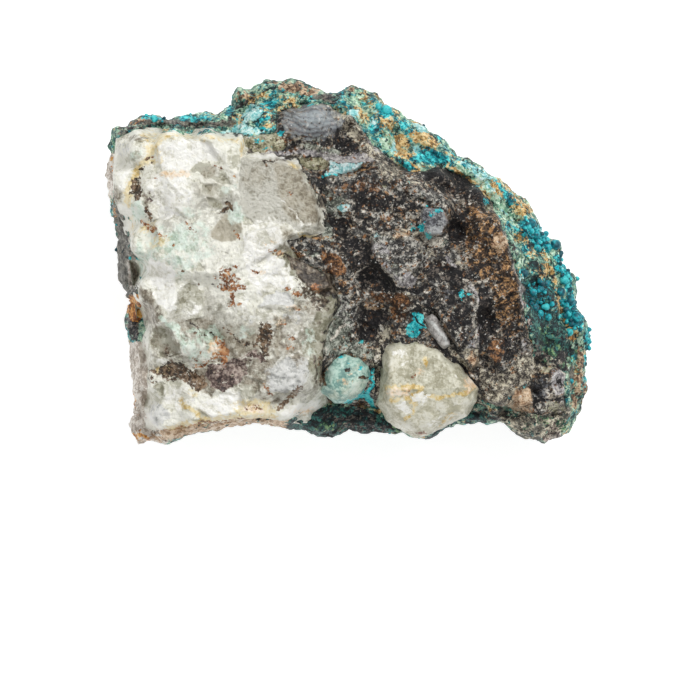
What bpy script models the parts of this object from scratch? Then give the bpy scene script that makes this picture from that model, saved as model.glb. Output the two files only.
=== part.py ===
"""A broken lump of chrysocolla quartz, lying with its fracture face up.

The stone is one intergrown piece: milky quartz on the left, dark matrix on the right, a knobbly
crust of chrysocolla around the outside and underneath, two nodules and a grey crystal in the face,
and clusters of small balls on the right flank. All lengths below are in millimetres; +X runs along
the length of the stone, +Y across it and +Z up, away from the surface that it rests on.
"""

from itertools import product

import bmesh
import bpy
import numpy as np

MM = 0.001

# Overall form
REST_DEPTH = 0.75        # how much of the underside's lumps the resting face cuts off
SHOULDER = 1.5           # how far in from the outline the upper edge is rounded
BELLY = 7.0              # how far in from the outline the underside is rounded
BOWL_RISE = 5.0          # how far the underside climbs towards the outline before it turns up
VOXEL = 0.42             # grain of the fused solid
KEPT_FACES = 0.066       # share of the fused solid's faces that is kept

# The widest line of the stone seen from above, anticlockwise from the lower left corner: x, y, z
OUTLINE = [
    (-28.4, -24.5, 6), (-26.4, -24.0, 7), (-24.8, -24.6, 8), (-21.8, -23.3, 9), (-16.5, -22.2, 10),
    (-12.5, -21.8, 10), (-8.6, -22.3, 9), (-4.2, -23.4, 9), (-2.3, -23.7, 9), (-0.5, -22.8, 9),
    (3.0, -22.8, 9), (7.0, -23.4, 10), (10.4, -24.1, 10), (12.2, -23.1, 10), (14.4, -21.8, 10),
    (18.6, -21.8, 10), (20.2, -21.4, 10), (23.6, -23.5, 9), (26.3, -24.3, 9), (29.4, -22.7, 9),
    (30.8, -20.6, 9), (32.3, -16.8, 9), (31.8, -14.0, 9), (32.5, -10.8, 9), (31.7, -7.8, 9),
    (30.2, -6.2, 9), (30.5, -2.6, 10), (28.8, -0.4, 10), (28.3, 2.6, 10), (27.0, 2.8, 10),
    (25.0, 5.6, 10), (24.5, 7.1, 10), (20.6, 10.7, 11), (17.4, 12.5, 11), (14.2, 14.5, 11),
    (10.0, 18.2, 11), (7.6, 19.0, 11), (5.8, 20.3, 12), (4.4, 20.8, 12), (3.4, 22.4, 12),
    (0.3, 23.4, 12), (-2.7, 22.3, 12), (-5.8, 23.7, 12), (-8.0, 24.4, 12), (-11.4, 24.2, 12),
    (-13.2, 23.0, 12), (-15.0, 23.2, 12), (-15.9, 20.7, 12), (-17.8, 19.5, 12), (-21.8, 19.6, 13),
    (-24.2, 18.7, 13), (-26.6, 19.7, 13), (-29.2, 18.4, 13), (-31.8, 17.6, 13), (-32.0, 14.4, 12),
    (-32.4, 11.3, 11), (-31.9, 6.5, 9), (-31.1, 4.0, 6), (-31.2, -2.5, 4), (-29.5, -5.2, 4),
    (-30.1, -8.3, 4), (-29.5, -13.4, 4), (-28.8, -18.6, 4), (-29.6, -22.2, 5),
]

# Heights of the face and of the flanks that slope away from it: x, y, z
SPOTS = [
    # milky quartz
    (-28.0, 14.8, 22.6), (-24.0, 15.4, 24.0), (-18.5, 15.6, 24.2), (-15.0, 12.5, 24.2),
    (-30.2, 10.6, 21.0), (-26.5, 8.0, 24.0), (-22.0, 8.5, 25.2), (-18.0, 8.5, 24.2),
    (-15.0, 5.0, 24.9), (-10.0, 9.5, 24.1), (-6.6, 8.5, 23.7), (-10.0, 1.5, 25.2),
    (-28.0, 2.5, 23.0), (-24.0, 1.0, 25.0), (-18.5, 0.5, 25.5), (-13.0, -2.5, 25.4),
    (-7.8, -3.0, 24.6), (-26.8, -4.0, 23.2), (-24.0, -7.0, 24.4), (-20.0, -6.0, 23.9),
    (-15.0, -7.0, 25.0), (-10.0, -7.0, 24.1), (-5.0, -7.0, 22.8), (-25.6, -12.0, 22.4),
    (-22.0, -11.0, 24.2), (-18.0, -12.5, 22.8), (-14.0, -11.0, 24.2), (-9.0, -11.0, 23.6),
    (-5.0, -12.0, 22.4), (-25.4, -16.5, 21.4), (-20.5, -15.8, 21.9), (-16.0, -16.5, 22.6),
    (-11.0, -16.0, 23.5), (-7.5, -15.5, 23.0), (-25.0, -21.0, 20.6), (-19.0, -20.0, 21.6),
    (-13.0, -19.8, 21.8), (-8.0, -19.6, 20.6),
    # left wall with its ledges
    (-31.2, 13.5, 17.5), (-30.6, 16.4, 18.0), (-30.6, 3.0, 14.0), (-29.9, -2.0, 13.0),
    (-29.3, -7.5, 13.0), (-28.4, -12.5, 16.5), (-28.1, -18.5, 16.5), (-27.8, -22.8, 13.5),
    (-29.0, -22.0, 11.0),
    # strip of crust beyond the quartz and the bumps on the far edge
    (-26.0, 18.4, 16.0), (-21.0, 18.4, 16.0), (-17.0, 18.2, 17.0), (-12.5, 15.2, 21.2),
    (-8.0, 15.6, 20.8), (-3.0, 14.5, 20.0), (1.0, 14.2, 21.0), (-12.0, 18.6, 19.3),
    (-14.2, 21.2, 15.6), (-10.5, 22.2, 15.8), (-7.0, 22.4, 15.6), (-2.0, 21.2, 17.0),
    (-5.0, 18.3, 20.2), (-0.2, 17.6, 19.2), (1.0, 22.0, 15.4),
    # crust of the upper right flank
    (2.8, 19.6, 16.8), (4.8, 16.6, 17.8), (7.0, 17.2, 15.6), (8.0, 13.6, 18.8), (11.0, 15.2, 16.0),
    (14.0, 12.6, 16.6), (16.6, 11.6, 15.6), (19.2, 8.8, 17.0), (22.0, 7.0, 15.4), (22.8, 3.0, 17.6),
    (26.0, 2.8, 14.2), (24.4, -2.0, 17.8), (28.0, -1.5, 13.6), (26.0, -6.0, 16.6),
    (29.4, -7.0, 12.8), (27.6, -10.8, 15.4), (31.0, -12.0, 11.8), (30.4, -17.0, 11.4),
    # dark matrix
    (-2.4, 10.0, 22.6), (3.0, 10.4, 23.1), (8.2, 9.6, 22.6), (12.2, 10.2, 20.2), (-2.0, 5.2, 21.8),
    (3.0, 5.6, 22.6), (8.0, 6.0, 23.2), (11.4, 5.6, 23.4), (14.4, 5.0, 20.0), (17.0, 8.2, 20.6),
    (18.6, 4.0, 22.2), (20.6, 1.8, 22.4), (-6.0, 1.8, 23.8), (0.0, 0.6, 22.4), (4.8, 0.2, 22.9),
    (3.6, -2.4, 20.8), (8.6, -0.6, 22.9), (13.0, 1.0, 22.4), (16.2, 0.0, 21.4), (21.4, -3.0, 21.6),
    (-1.0, -5.0, 21.8), (3.8, -7.2, 19.8), (8.0, -4.6, 22.2), (12.2, -5.0, 22.3),
    (16.6, -5.5, 22.0), (19.0, -8.0, 20.0), (22.6, -7.0, 20.8), (0.0, -10.0, 20.4),
    (3.0, -10.4, 19.0), (7.4, -9.6, 20.6), (11.2, -8.8, 21.4), (15.0, -10.5, 21.2),
    (20.0, -12.4, 20.4), (24.2, -11.4, 19.6), (17.6, -14.6, 19.4), (22.0, -15.6, 19.2),
    (20.0, -18.2, 18.4), (26.2, -15.0, 17.4), (25.0, -19.6, 16.0), (28.4, -17.0, 15.6),
    (27.4, -22.0, 13.2), (22.2, -21.0, 13.6),
    # recesses between and below the nodules
    (-6.0, -21.4, 14.0), (-1.0, -20.8, 12.6), (2.6, -20.6, 12.4), (5.0, -21.6, 12.0),
    (16.4, -20.4, 13.6), (-0.3, -16.0, 18.6), (10.5, -17.2, 18.0), (4.0, -16.5, 18.8),
    (4.2, -12.6, 19.6),
]

# Edge of the quartz slab, which stands proud of the crust beyond it and of the matrix beside it
SLAB = [
    (-31.2, 8.0), (-30.0, 6.5), (-30.1, 4.5), (-29.4, 3.0), (-28.5, 1.0), (-28.0, -4.5), (-27.2, -9.0),
    (-26.8, -15.0), (-27.1, -22.3), (-24.2, -23.0), (-20.0, -22.0), (-12.0, -21.2), (-8.0, -21.2),
    (-5.0, -20.4), (-3.4, -18.6), (-4.0, -14.0), (-3.2, -10.0), (-1.5, -6.0), (-3.0, -2.0), (-6.0, -0.4),
    (-8.4, 2.2), (-6.4, 3.6), (-4.2, 4.4), (-4.2, 7.0), (-5.2, 10.0), (-7.0, 13.0), (-10.0, 13.9),
    (-14.0, 14.0), (-14.4, 16.4), (-20.0, 16.7), (-24.5, 16.8), (-27.8, 17.5), (-31.0, 16.0),
    (-31.6, 12.0),
]
SLAB_STEP = 1.1
SLAB_RAMP = 0.7

# One large even face in the quartz: corners, then a point on it and its slopes along x and y
GREY_FACE = [
    (-14.6, 13.3), (-10.0, 13.6), (-7.0, 12.8), (-5.3, 9.5), (-4.3, 7.0), (-4.2, 4.3),
    (-6.5, 3.6), (-8.0, 4.5), (-13.0, 5.0), (-14.4, 9.0),
]
GREY_FACE_PLANE = (-9.5, 8.5, 24.3, -0.07, 0.02)

# Ridges that stand up from the matrix: height, half width, then points of the crest
RIDGES = [
    (1.1, 0.8, [(3.4, 0.4), (5.0, -1.5), (7.0, -3.7)]),
    (1.3, 0.9, [(8.4, 9.6), (12.4, 8.6), (13.4, 6.2), (12.8, 3.8)]),
    (1.0, 0.8, [(15.4, -3.4), (17.2, -6.0), (16.9, -8.0), (17.4, -12.0)]),
    (1.0, 1.0, [(19.8, 6.4), (21.4, 2.0), (22.8, -3.0), (23.3, -7.0), (24.4, -11.0)]),
    (0.9, 0.8, [(17.4, -19.2), (20.4, -18.8), (22.0, -19.4)]),
    (0.8, 0.7, [(-28.6, -5.8), (-28.2, -14.0), (-28.4, -21.0)]),
    (1.0, 0.9, [(-0.4, 20.4), (1.4, 17.8), (3.4, 14.8), (5.6, 13.3)]),
]

# Pits, and with a positive rise swells: x, y, radius, rise
PITS = [
    (3.6, -7.6, 1.9, -1.8), (2.4, -9.6, 1.3, -1.3), (13.8, 9.6, 1.5, -1.5), (14.0, 4.0, 1.2, -1.7),
    (-1.5, 4.6, 1.4, -1.1), (25.8, -12.6, 1.3, -1.5), (18.6, -8.4, 1.4, -1.3), (20.6, -19.8, 1.2, -0.9),
    (-0.5, 15.5, 1.6, -1.1), (-18.6, -9.8, 1.0, -0.8), (-16.4, 6.8, 1.3, -1.0), (-28.2, 9.2, 0.9, -0.8),
    (2.4, -2.2, 1.5, -1.1), (-20.2, -16.4, 1.3, -1.0), (3.9, -14.6, 0.7, -1.2), (-3.6, -15.4, 0.6, -1.0),
    (-5.0, 18.3, 2.5, 1.1), (28.2, -16.5, 1.3, 0.8), (-13.0, 19.6, 1.3, 0.8), (11.4, 5.4, 1.6, 0.7),
    (-8.3, -15.4, 2.4, 0.7), (-10.8, -10.4, 1.4, -0.7), (-5.0, -2.6, 1.5, -0.7), (23.4, -18.4, 1.3, 0.6),
]

# Nodules and the grey crystal: outline as x and y, height of the widest line, height of the top,
# height of the foot, and the slopes of the two faces of the top, which meet in a crest along the
# line through the centre at the given angle in degrees
NODULES = {
    "pale nodule": {
        "outline": [
            (8.6, -23.7), (10.6, -23.5), (13.6, -21.9), (15.6, -20.8), (17.0, -18.8), (17.4, -17.2),
            (15.2, -14.5), (12.6, -11.7), (10.0, -10.8), (6.6, -11.1), (4.7, -13.2), (4.4, -18.8),
            (5.7, -21.7),
        ],
        "centre": (10.4, -17.2), "waist": 15.0, "top": 22.6, "foot": 9.0,
        "slopes": (0.24, 0.36), "crest": 2.0, "shoulder": 2.6,
    },
    "teal nodule": {
        "outline": [
            (-2.0, -19.2), (-0.6, -19.2), (1.8, -17.9), (3.2, -15.8), (2.9, -14.4), (1.4, -13.0),
            (-0.8, -12.2), (-2.4, -12.6), (-3.5, -14.4), (-3.6, -17.3),
        ],
        "centre": (-0.3, -15.9), "waist": 16.2, "top": 20.8, "foot": 11.0,
        "slopes": (0.12, 0.2), "crest": 20.0, "shoulder": 2.0,
    },
    "grey crystal": {
        "outline": [
            (10.6, -9.8), (12.0, -11.6), (13.2, -12.3), (13.9, -11.7), (12.5, -9.2), (11.2, -7.7),
            (10.2, -8.1),
        ],
        "centre": (12.0, -10.0), "waist": 20.8, "top": 22.8, "foot": 18.0,
        "slopes": (0.5, 0.5), "crest": -55.0, "shoulder": 0.4,
    },
}

# Balls of chrysocolla on the crust: x, y, radius; each sits in the surface below it
BALLS = [
    (5.0, 20.1, 0.95), (3.9, 20.6, 0.6), (27.7, 2.1, 0.95), (28.2, 0.9, 0.5), (26.8, 1.8, 0.7),
    (24.6, -4.3, 0.7), (25.6, -3.8, 0.6), (26.4, -3.1, 0.6), (24.8, -6.3, 0.75), (26.4, -6.2, 0.6),
    (25.6, -7.1, 0.6), (26.7, -7.6, 0.6), (28.6, -1.0, 0.9), (28.9, -2.6, 0.8), (28.4, -4.2, 0.8),
    (29.7, -5.4, 0.8), (30.6, -7.6, 0.9), (29.6, -9.6, 0.7), (24.4, 5.0, 0.9), (25.0, 3.4, 0.8),
    (25.2, 1.6, 0.8), (23.4, -1.8, 0.7), (-21.6, 19.0, 0.7), (-19.2, 19.1, 0.6), (-26.2, 19.0, 0.7),
]
BALL_SINK = 0.25

CRUST_LUMP = 3.0         # spacing of the knobs of the crust
CRUST_RISE = 1.15        # how far they stand out
SCOOP_SIZE = 5.2         # spacing of the scooped fracture faces in the quartz
SCOOP_DEPTH = 3.0
CHUNK_SIZE = 3.2         # spacing of the broken chunks in the matrix
CHUNK_DEPTH = 1.3
NODULE_CHIPS = 1.2       # how deep the same fracture goes in the nodules
WALL_ROUGH = 0.8         # how rough the broken flanks are
LAYERING = 1.8           # how much thinner than wide the ledges of the flanks are


def scatter(ix, iy, iz, seed):
    """Number from 0 to 1 for each lattice point, from multiplying and folding its whole numbers."""
    n = (ix * 73856093) ^ (iy * 19349663) ^ (iz * 83492791) ^ (seed * 40503)
    n = ((n ^ (n >> 13)) * 1274126177) & 0xFFFFFFFF
    n = ((n ^ (n >> 16)) * 668265263) & 0xFFFFFFFF
    return (n >> 8) / float(1 << 24)


def noise(p, scale, seed):
    """Smooth noise of about -1 to 1: slopes drawn at the lattice points, blended across each cell."""
    q = p / scale
    cell = np.floor(q).astype(np.int64)
    f = q - cell
    w = f ** 3 * (f * (f * 6 - 15) + 10)
    total = np.zeros(len(p))
    for corner in product((0, 1), repeat=3):
        c = cell + corner
        weight = np.prod(np.where(np.array(corner) == 1, w, 1 - w), axis=1)
        for axis in range(3):
            slope = scatter(c[:, 0], c[:, 1], c[:, 2], seed + axis) * 2 - 1
            total += weight * slope * (f[:, axis] - corner[axis])
    return total * 1.7


def knobs(p, size, seed):
    """Rounded lumps, 0 to 1: one ball of varying radius in each lattice cell, the highest one counts."""
    q = p / size
    cell = np.floor(q).astype(np.int64)
    best = np.zeros(len(p))
    for step in product((-1, 0, 1), repeat=3):
        c = cell + step
        gap = np.zeros(len(p))
        for axis in range(3):
            site = c[:, axis] + 0.15 + 0.7 * scatter(c[:, 0], c[:, 1], c[:, 2], seed + axis)
            gap += (q[:, axis] - site) ** 2
        radius = 0.55 + 0.4 * scatter(c[:, 0], c[:, 1], c[:, 2], seed + 3)
        best = np.maximum(best, radius * np.sqrt(np.clip(1 - gap / radius ** 2, 0, None)))
    return best


def scoops(x, y, size, seed):
    """Shell-like fracture: the lowest of the bowls that hang from jittered sites, each one tilted."""
    q = np.stack([x, y], axis=1) / size
    cell = np.floor(q).astype(np.int64)
    low = np.full(len(x), 9.0)
    flat = np.zeros(len(x), dtype=np.int64)
    for step in product((-1, 0, 1), repeat=2):
        c = cell + step
        draw = [scatter(c[:, 0], c[:, 1], flat, seed + k) for k in range(5)]
        dx = q[:, 0] - c[:, 0] - 0.1 - 0.8 * draw[0]
        dy = q[:, 1] - c[:, 1] - 0.1 - 0.8 * draw[1]
        bowl = 0.35 * (dx * dx + dy * dy) + 0.9 * (draw[2] - 0.5) * dx + 0.9 * (draw[3] - 0.5) * dy
        low = np.minimum(low, bowl + 0.2 * draw[4])
    return low - 0.1


def edge_distance(x, y, corners):
    """Distance to a closed outline, positive inside: nearest of its sides, signed by winding parity."""
    near = np.full(len(x), 1e9)
    inside = np.zeros(len(x), dtype=bool)
    for (ax, ay), (bx, by) in zip(corners, corners[1:] + corners[:1]):
        near = np.minimum(near, line_distance(x, y, (ax, ay), (bx, by)))
        crosses = (ay > y) != (by > y)
        with np.errstate(divide="ignore", invalid="ignore"):
            inside ^= crosses & (x < (bx - ax) * (y - ay) / (by - ay) + ax)
    return np.where(inside, near, -near)


def line_distance(x, y, a, b):
    """Distance to a straight stretch from a to b: the foot of the perpendicular, kept between them."""
    ax, ay = a
    dx, dy = b[0] - ax, b[1] - ay
    t = np.clip(((x - ax) * dx + (y - ay) * dy) / (dx * dx + dy * dy), 0, 1)
    return np.hypot(x - ax - t * dx, y - ay - t * dy)


def ramp(value, width):
    """0 to 1 with soft ends while the value goes from minus half the width to plus half."""
    t = np.clip(value / width + 0.5, 0, 1)
    return t * t * (3 - 2 * t)


def spot_level(x, y):
    """Mean of the spot heights, each weighted by the inverse fifth power of its distance."""
    total = np.zeros(len(x))
    weights = np.zeros(len(x))
    for sx, sy, sz in SPOTS:
        w = ((x - sx) ** 2 + (y - sy) ** 2 + 0.8) ** -2.5
        total += w * sz
        weights += w
    return total / weights


def face_height(x, y):
    """Height of the upper side: spots, the slab's step, fracture scoops, the even face, ridges, pits."""
    slab = edge_distance(x, y, SLAB)
    z = spot_level(x, y)
    z += SLAB_STEP * (ramp(slab, SLAB_RAMP) - 0.5)
    fracture = scoops(x, y, SCOOP_SIZE, 11) + 0.3 * scoops(x, y, 0.45 * SCOOP_SIZE, 17)
    z += SCOOP_DEPTH * fracture * ramp(slab + 0.5, 1.5)
    grey = edge_distance(x, y, GREY_FACE)
    gx, gy, gz, slope_x, slope_y = GREY_FACE_PLANE
    plane = gz + slope_x * (x - gx) + slope_y * (y - gy)
    share = ramp(grey, 0.6)
    z = z * (1 - share) + plane * share
    for height, half, crest in RIDGES:
        away = np.min([line_distance(x, y, a, b) for a, b in zip(crest, crest[1:])], axis=0)
        z += height * np.exp(-(away / half) ** 2)
    for px, py, radius, rise in PITS:
        z += rise * np.exp(-((x - px) ** 2 + (y - py) ** 2) / radius ** 2)
    flat = np.stack([x, y, np.zeros(len(x))], axis=1)
    broken = ramp(-slab, 1.0)
    z += broken * CHUNK_DEPTH * scoops(x, y, CHUNK_SIZE, 29)
    return z + broken * (0.45 * noise(flat, 2.6, 31) + 0.35 * noise(flat, 1.3, 37))


def under_height(x, y):
    """Height of the underside: a shallow bowl that rises towards the outline, with broad swells."""
    flat = np.stack([x, y, np.zeros(len(x))], axis=1)
    bowl = BOWL_RISE * (1 - np.exp(-0.5 * np.hypot((x + 2) / 27, (y + 1) / 19) ** 3))
    return bowl + 0.7 * noise(flat, 9.0, 41) - REST_DEPTH


def around(outline, count):
    """Points at even steps along a closed outline, starting at its first point."""
    loop = np.array(list(outline) + [outline[0]], dtype=float)
    run = np.concatenate([[0], np.cumsum(np.hypot(*np.diff(loop[:, :2], axis=0).T))])
    at = np.linspace(0, run[-1], count, endpoint=False)
    return np.stack([np.interp(at, run, loop[:, k]) for k in range(loop.shape[1])], axis=1)


def square_ring(n):
    """A square grid of 2n + 1 points a side: how far out each point's ring lies, and how far round."""
    v, u = np.meshgrid(np.linspace(-1, 1, 2 * n + 1), np.linspace(-1, 1, 2 * n + 1), indexing="ij")
    out = np.maximum(np.abs(u), np.abs(v))
    safe = np.where(out == 0, 1, out)
    a, b = u / safe, v / safe
    turn = np.select(
        [(b <= -1) & (a < 1), (a >= 1) & (b < 1), (b >= 1) & (a > -1)],
        [(a + 1) / 2, 1 + (b + 1) / 2, 2 + (1 - a) / 2],
        3 + (1 - b) / 2,
    )
    return out, turn / 4


def grid_rim(n):
    """Indices of a square grid's outer points, in turn from its first corner."""
    index = np.arange((2 * n + 1) ** 2).reshape(2 * n + 1, 2 * n + 1)
    return np.concatenate([index[0, :-1], index[:-1, -1], index[-1, :0:-1], index[:0:-1, 0]])


def lump(outline, centre, top, under, shoulder, belly, n, rows):
    """A closed lump: each square ring of a grid is a shrunken copy of the outline around the centre.

    From the widest line the surface turns inward along a quarter ellipse, upward over the shoulder's
    width and downward over the belly's, and from there on its height is top(x, y) or under(x, y).
    Returns the points and the quads, all facing outward.
    """
    rim = around(outline, 8 * n)
    centre = np.array(centre, dtype=float)
    spokes = rim[:, :2] - centre
    reach = np.hypot(*spokes.T)
    out, turn = square_ring(n)
    sheets = []
    bands = []
    for height, width in ((top, shoulder), (under, belly)):
        inner = 1 - np.minimum(width / reach, 0.9)
        at = np.append(rim[:, 0], rim[0, 0]), np.append(rim[:, 1], rim[0, 1])
        steps = np.linspace(0, 1, 8 * n + 1)
        shrink = out * np.interp(turn, steps, np.append(inner, inner[0]))
        x = centre[0] + shrink * (np.interp(turn, steps, at[0]) - centre[0])
        y = centre[1] + shrink * (np.interp(turn, steps, at[1]) - centre[1])
        sheets.append(np.stack([x.ravel(), y.ravel(), height(x.ravel(), y.ravel())], axis=1))
        angle = np.linspace(0, np.pi / 2, rows + 1)[:-1, None]
        scale = 1 - (1 - inner[None]) * (1 - np.cos(angle))
        bx = centre[0] + scale * spokes[:, 0]
        by = centre[1] + scale * spokes[:, 1]
        bz = rim[:, 2] + (height(bx.ravel(), by.ravel()).reshape(bx.shape) - rim[:, 2]) * np.sin(angle)
        bands.append(np.stack([bx, by, bz], axis=2))
    side = 2 * n + 1
    index = np.arange(side * side).reshape(side, side)
    quads_up = np.stack([
        index[:-1, :-1], index[:-1, 1:], index[1:, 1:], index[1:, :-1],
    ], axis=2).reshape(-1, 4)
    points = np.concatenate([sheets[0], sheets[1], bands[0].reshape(-1, 3), bands[1][1:].reshape(-1, 3)])
    columns = 8 * n
    first = 2 * side * side
    upper = first + np.arange(rows * columns).reshape(rows, columns)
    lower = first + rows * columns + np.arange((rows - 1) * columns).reshape(rows - 1, columns)
    loops = np.concatenate([
        (grid_rim(n) + side * side)[None], lower[::-1], upper, grid_rim(n)[None],
    ])
    low, high = loops[:-1], loops[1:]
    quads_side = np.stack(
        [low, np.roll(low, -1, axis=1), np.roll(high, -1, axis=1), high], axis=2,
    ).reshape(-1, 4)
    quads = np.concatenate([quads_up, quads_up[:, ::-1] + side * side, quads_side])
    return points, quads


def outward(points, quads):
    """Unit normal at each point: the sum of the cross products of the diagonals of its quads."""
    a, b, c, d = (points[quads[:, k]] for k in range(4))
    face = np.cross(c - a, d - b)
    total = np.zeros_like(points)
    for k in range(4):
        np.add.at(total, quads[:, k], face)
    return total / np.maximum(np.linalg.norm(total, axis=1), 1e-12)[:, None]


def crust_share(points):
    """Where the knobbly crust covers the stone: everywhere but on the quartz, the matrix and the wall."""
    x, y, z = points.T
    face = ramp(edge_distance(x, y, BROKEN_FACE), 1.6)
    return 1 - face * ramp(z - 9.0, 4.0)


# Edge of the broken face, inside which the stone has no crust
BROKEN_FACE = [
    (-33.0, 17.0), (-27.8, 17.2), (-14.4, 16.2), (-10.0, 17.0), (-3.0, 20.6), (0.3, 19.3), (3.0, 15.8),
    (5.5, 13.5), (8.3, 12.0), (12.8, 12.2), (16.0, 10.9), (19.0, 8.0), (21.3, 2.0), (23.0, -4.0),
    (23.4, -7.0), (24.7, -13.0), (29.0, -15.0), (29.0, -21.0), (24.0, -20.5), (18.0, -19.0), (3.4, -19.6),
    (-2.3, -19.1), (-5.0, -20.6), (-8.0, -21.7), (-24.2, -23.2), (-33.0, -26.0),
]


def body_shape(n, rows):
    """The stone itself: the lump on its outline, with the crust's knobs pushed out along the normals."""
    points, quads = lump(OUTLINE, (0.0, 0.0), face_height, under_height, SHOULDER, BELLY, n, rows)
    normal = outward(points, quads)
    crust = crust_share(points)
    steep = 1 - np.clip(normal[:, 2], 0, 1) ** 2
    lumps = knobs(points, CRUST_LUMP, 51) + 0.4 * knobs(points, 0.5 * CRUST_LUMP, 61)
    rise = crust * CRUST_RISE * (lumps - 0.75)
    layers = points * np.array([1.0, 1.0, LAYERING])
    rise += (1 - crust) * steep * WALL_ROUGH * (noise(layers, 3.4, 67) + 0.5 * noise(layers, 1.7, 71))
    return points + normal * rise[:, None], quads


def nodule_shape(nodule, n, rows):
    """A nodule: a lump whose top is two faces that slope down from a crest through its centre."""
    cx, cy = nodule["centre"]
    turn = np.radians(nodule["crest"])

    def top(x, y):
        across = (y - cy) * np.cos(turn) - (x - cx) * np.sin(turn)
        fall = np.where(across > 0, across * nodule["slopes"][0], -across * nodule["slopes"][1])
        chips = NODULE_CHIPS * scoops(x, y, 0.8 * SCOOP_SIZE, 23)
        return nodule["top"] - fall - 0.012 * ((x - cx) ** 2 + (y - cy) ** 2) + chips

    def under(x, y):
        return np.full(len(x), nodule["foot"])

    outline = [(x, y, nodule["waist"]) for x, y in nodule["outline"]]
    width = nodule["shoulder"]
    return lump(outline, (cx, cy), top, under, width, width, n, rows)


def ball_shape(x, y, radius):
    """A ball that sits in the surface below it: a sphere of rings and columns with pinched poles."""
    z = surface_level(x, y) - BALL_SINK * radius
    up = np.linspace(-np.pi / 2, np.pi / 2, 9)[:, None]
    round_ = np.linspace(0, 2 * np.pi, 14, endpoint=False)[None]
    points = np.stack([
        x + radius * np.cos(up) * np.cos(round_),
        y + radius * np.cos(up) * np.sin(round_),
        z + radius * np.sin(up) * np.ones_like(round_),
    ], axis=2)
    index = np.arange(9 * 14).reshape(9, 14)
    quads = np.stack([
        index[:-1], np.roll(index[:-1], -1, axis=1), np.roll(index[1:], -1, axis=1), index[1:],
    ], axis=2)
    return points.reshape(-1, 3), quads.reshape(-1, 4)


def surface_level(x, y):
    """Height of the stone at one point, lower near the outline where the shoulder turns down."""
    rim = around(OUTLINE, 400)
    away = np.hypot(rim[:, 0] - x, rim[:, 1] - y)
    nearest = int(np.argmin(away))
    inward = min(away[nearest] / SHOULDER, 1.0)
    top = float(face_height(np.array([float(x)]), np.array([float(y)]))[0])
    return rim[nearest, 2] + (top - rim[nearest, 2]) * np.sqrt(1 - (1 - inward) ** 2)


def clear_scene():
    for item in list(bpy.data.objects):
        bpy.data.objects.remove(item, do_unlink=True)


def stone_material():
    material = bpy.data.materials.new("chrysocolla_quartz")
    material.use_nodes = True
    shader = material.node_tree.nodes["Principled BSDF"]
    shader.inputs["Base Color"].default_value = (0.46, 0.46, 0.41, 1.0)
    shader.inputs["Roughness"].default_value = 0.55
    shader.inputs["Metallic"].default_value = 0.0
    return material


def add_object(name, points, quads):
    mesh = bpy.data.meshes.new(name)
    mesh.from_pydata((points * MM).tolist(), [], quads.tolist())
    shape = bmesh.new()
    shape.from_mesh(mesh)
    bmesh.ops.remove_doubles(shape, verts=shape.verts, dist=0.00001)
    shape.to_mesh(mesh)
    shape.free()
    obj = bpy.data.objects.new(name, mesh)
    bpy.context.scene.collection.objects.link(obj)
    return obj


def build_stone():
    """All shapes in one mesh, fused by a voxel remesh, thinned, and cut flat where the stone rests."""
    shapes = [body_shape(72, 14)]
    shapes += [nodule_shape(nodule, 20, 8) for nodule in NODULES.values()]
    shapes += [ball_shape(*ball) for ball in BALLS]
    offset = 0
    points = []
    quads = []
    for shape_points, shape_quads in shapes:
        points.append(shape_points)
        quads.append(shape_quads + offset)
        offset += len(shape_points)
    stone = add_object("chrysocolla_quartz", np.concatenate(points), np.concatenate(quads))
    stone.data.materials.append(stone_material())
    fuse = stone.modifiers.new("fuse", "REMESH")
    fuse.mode = "VOXEL"
    fuse.voxel_size = VOXEL * MM
    thin = stone.modifiers.new("thin", "DECIMATE")
    thin.ratio = KEPT_FACES
    cut = stone.modifiers.new("resting face", "BOOLEAN")
    cut.operation = "DIFFERENCE"
    cut.object = resting_cutter()


def resting_cutter():
    """A block below the resting face, which takes off what hangs lower."""
    wide, deep = 45.0, 10.0
    corners = np.array([(x, y, z) for z in (-deep, 0) for y in (-wide, wide) for x in (-wide, wide)])
    sides = np.array([
        (0, 2, 3, 1), (4, 5, 7, 6), (0, 1, 5, 4), (2, 6, 7, 3), (0, 4, 6, 2), (1, 3, 7, 5),
    ])
    cutter = add_object("resting_cutter", corners.astype(float), sides)
    cutter.hide_render = True
    cutter.display_type = "WIRE"
    return cutter


def main():
    clear_scene()
    build_stone()


main()
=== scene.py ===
"""Looks of a broken lump of chrysocolla quartz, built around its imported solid.

The stone lies with its fracture face up. Three closed skins overlap in it as the minerals do: the
crusted body, the milky quartz on the left and the dark matrix on the right. Two nodules, a grey
crystal, balls of chrysocolla and small quartz points grow out of them. Places and lengths are in
millimetres until a mesh is made, and angles are in degrees.
"""

from itertools import product

import bpy
import numpy as np
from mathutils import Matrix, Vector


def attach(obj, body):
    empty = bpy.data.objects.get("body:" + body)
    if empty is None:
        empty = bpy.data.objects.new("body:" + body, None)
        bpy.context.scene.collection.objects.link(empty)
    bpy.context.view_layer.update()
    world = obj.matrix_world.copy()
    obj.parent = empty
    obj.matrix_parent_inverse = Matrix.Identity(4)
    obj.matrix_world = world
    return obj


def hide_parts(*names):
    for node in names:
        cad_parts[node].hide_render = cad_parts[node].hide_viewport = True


bl_info = {
    "name": "Chrysocolla Quartz",
    "version": (1, 0, 0),
    "blender": (4, 5, 0),
    "location": "3D View > Sidebar > Stone",
    "description": "Builds a broken lump of milky quartz and dark matrix with a chrysocolla crust",
    "category": "Object",
}

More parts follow.
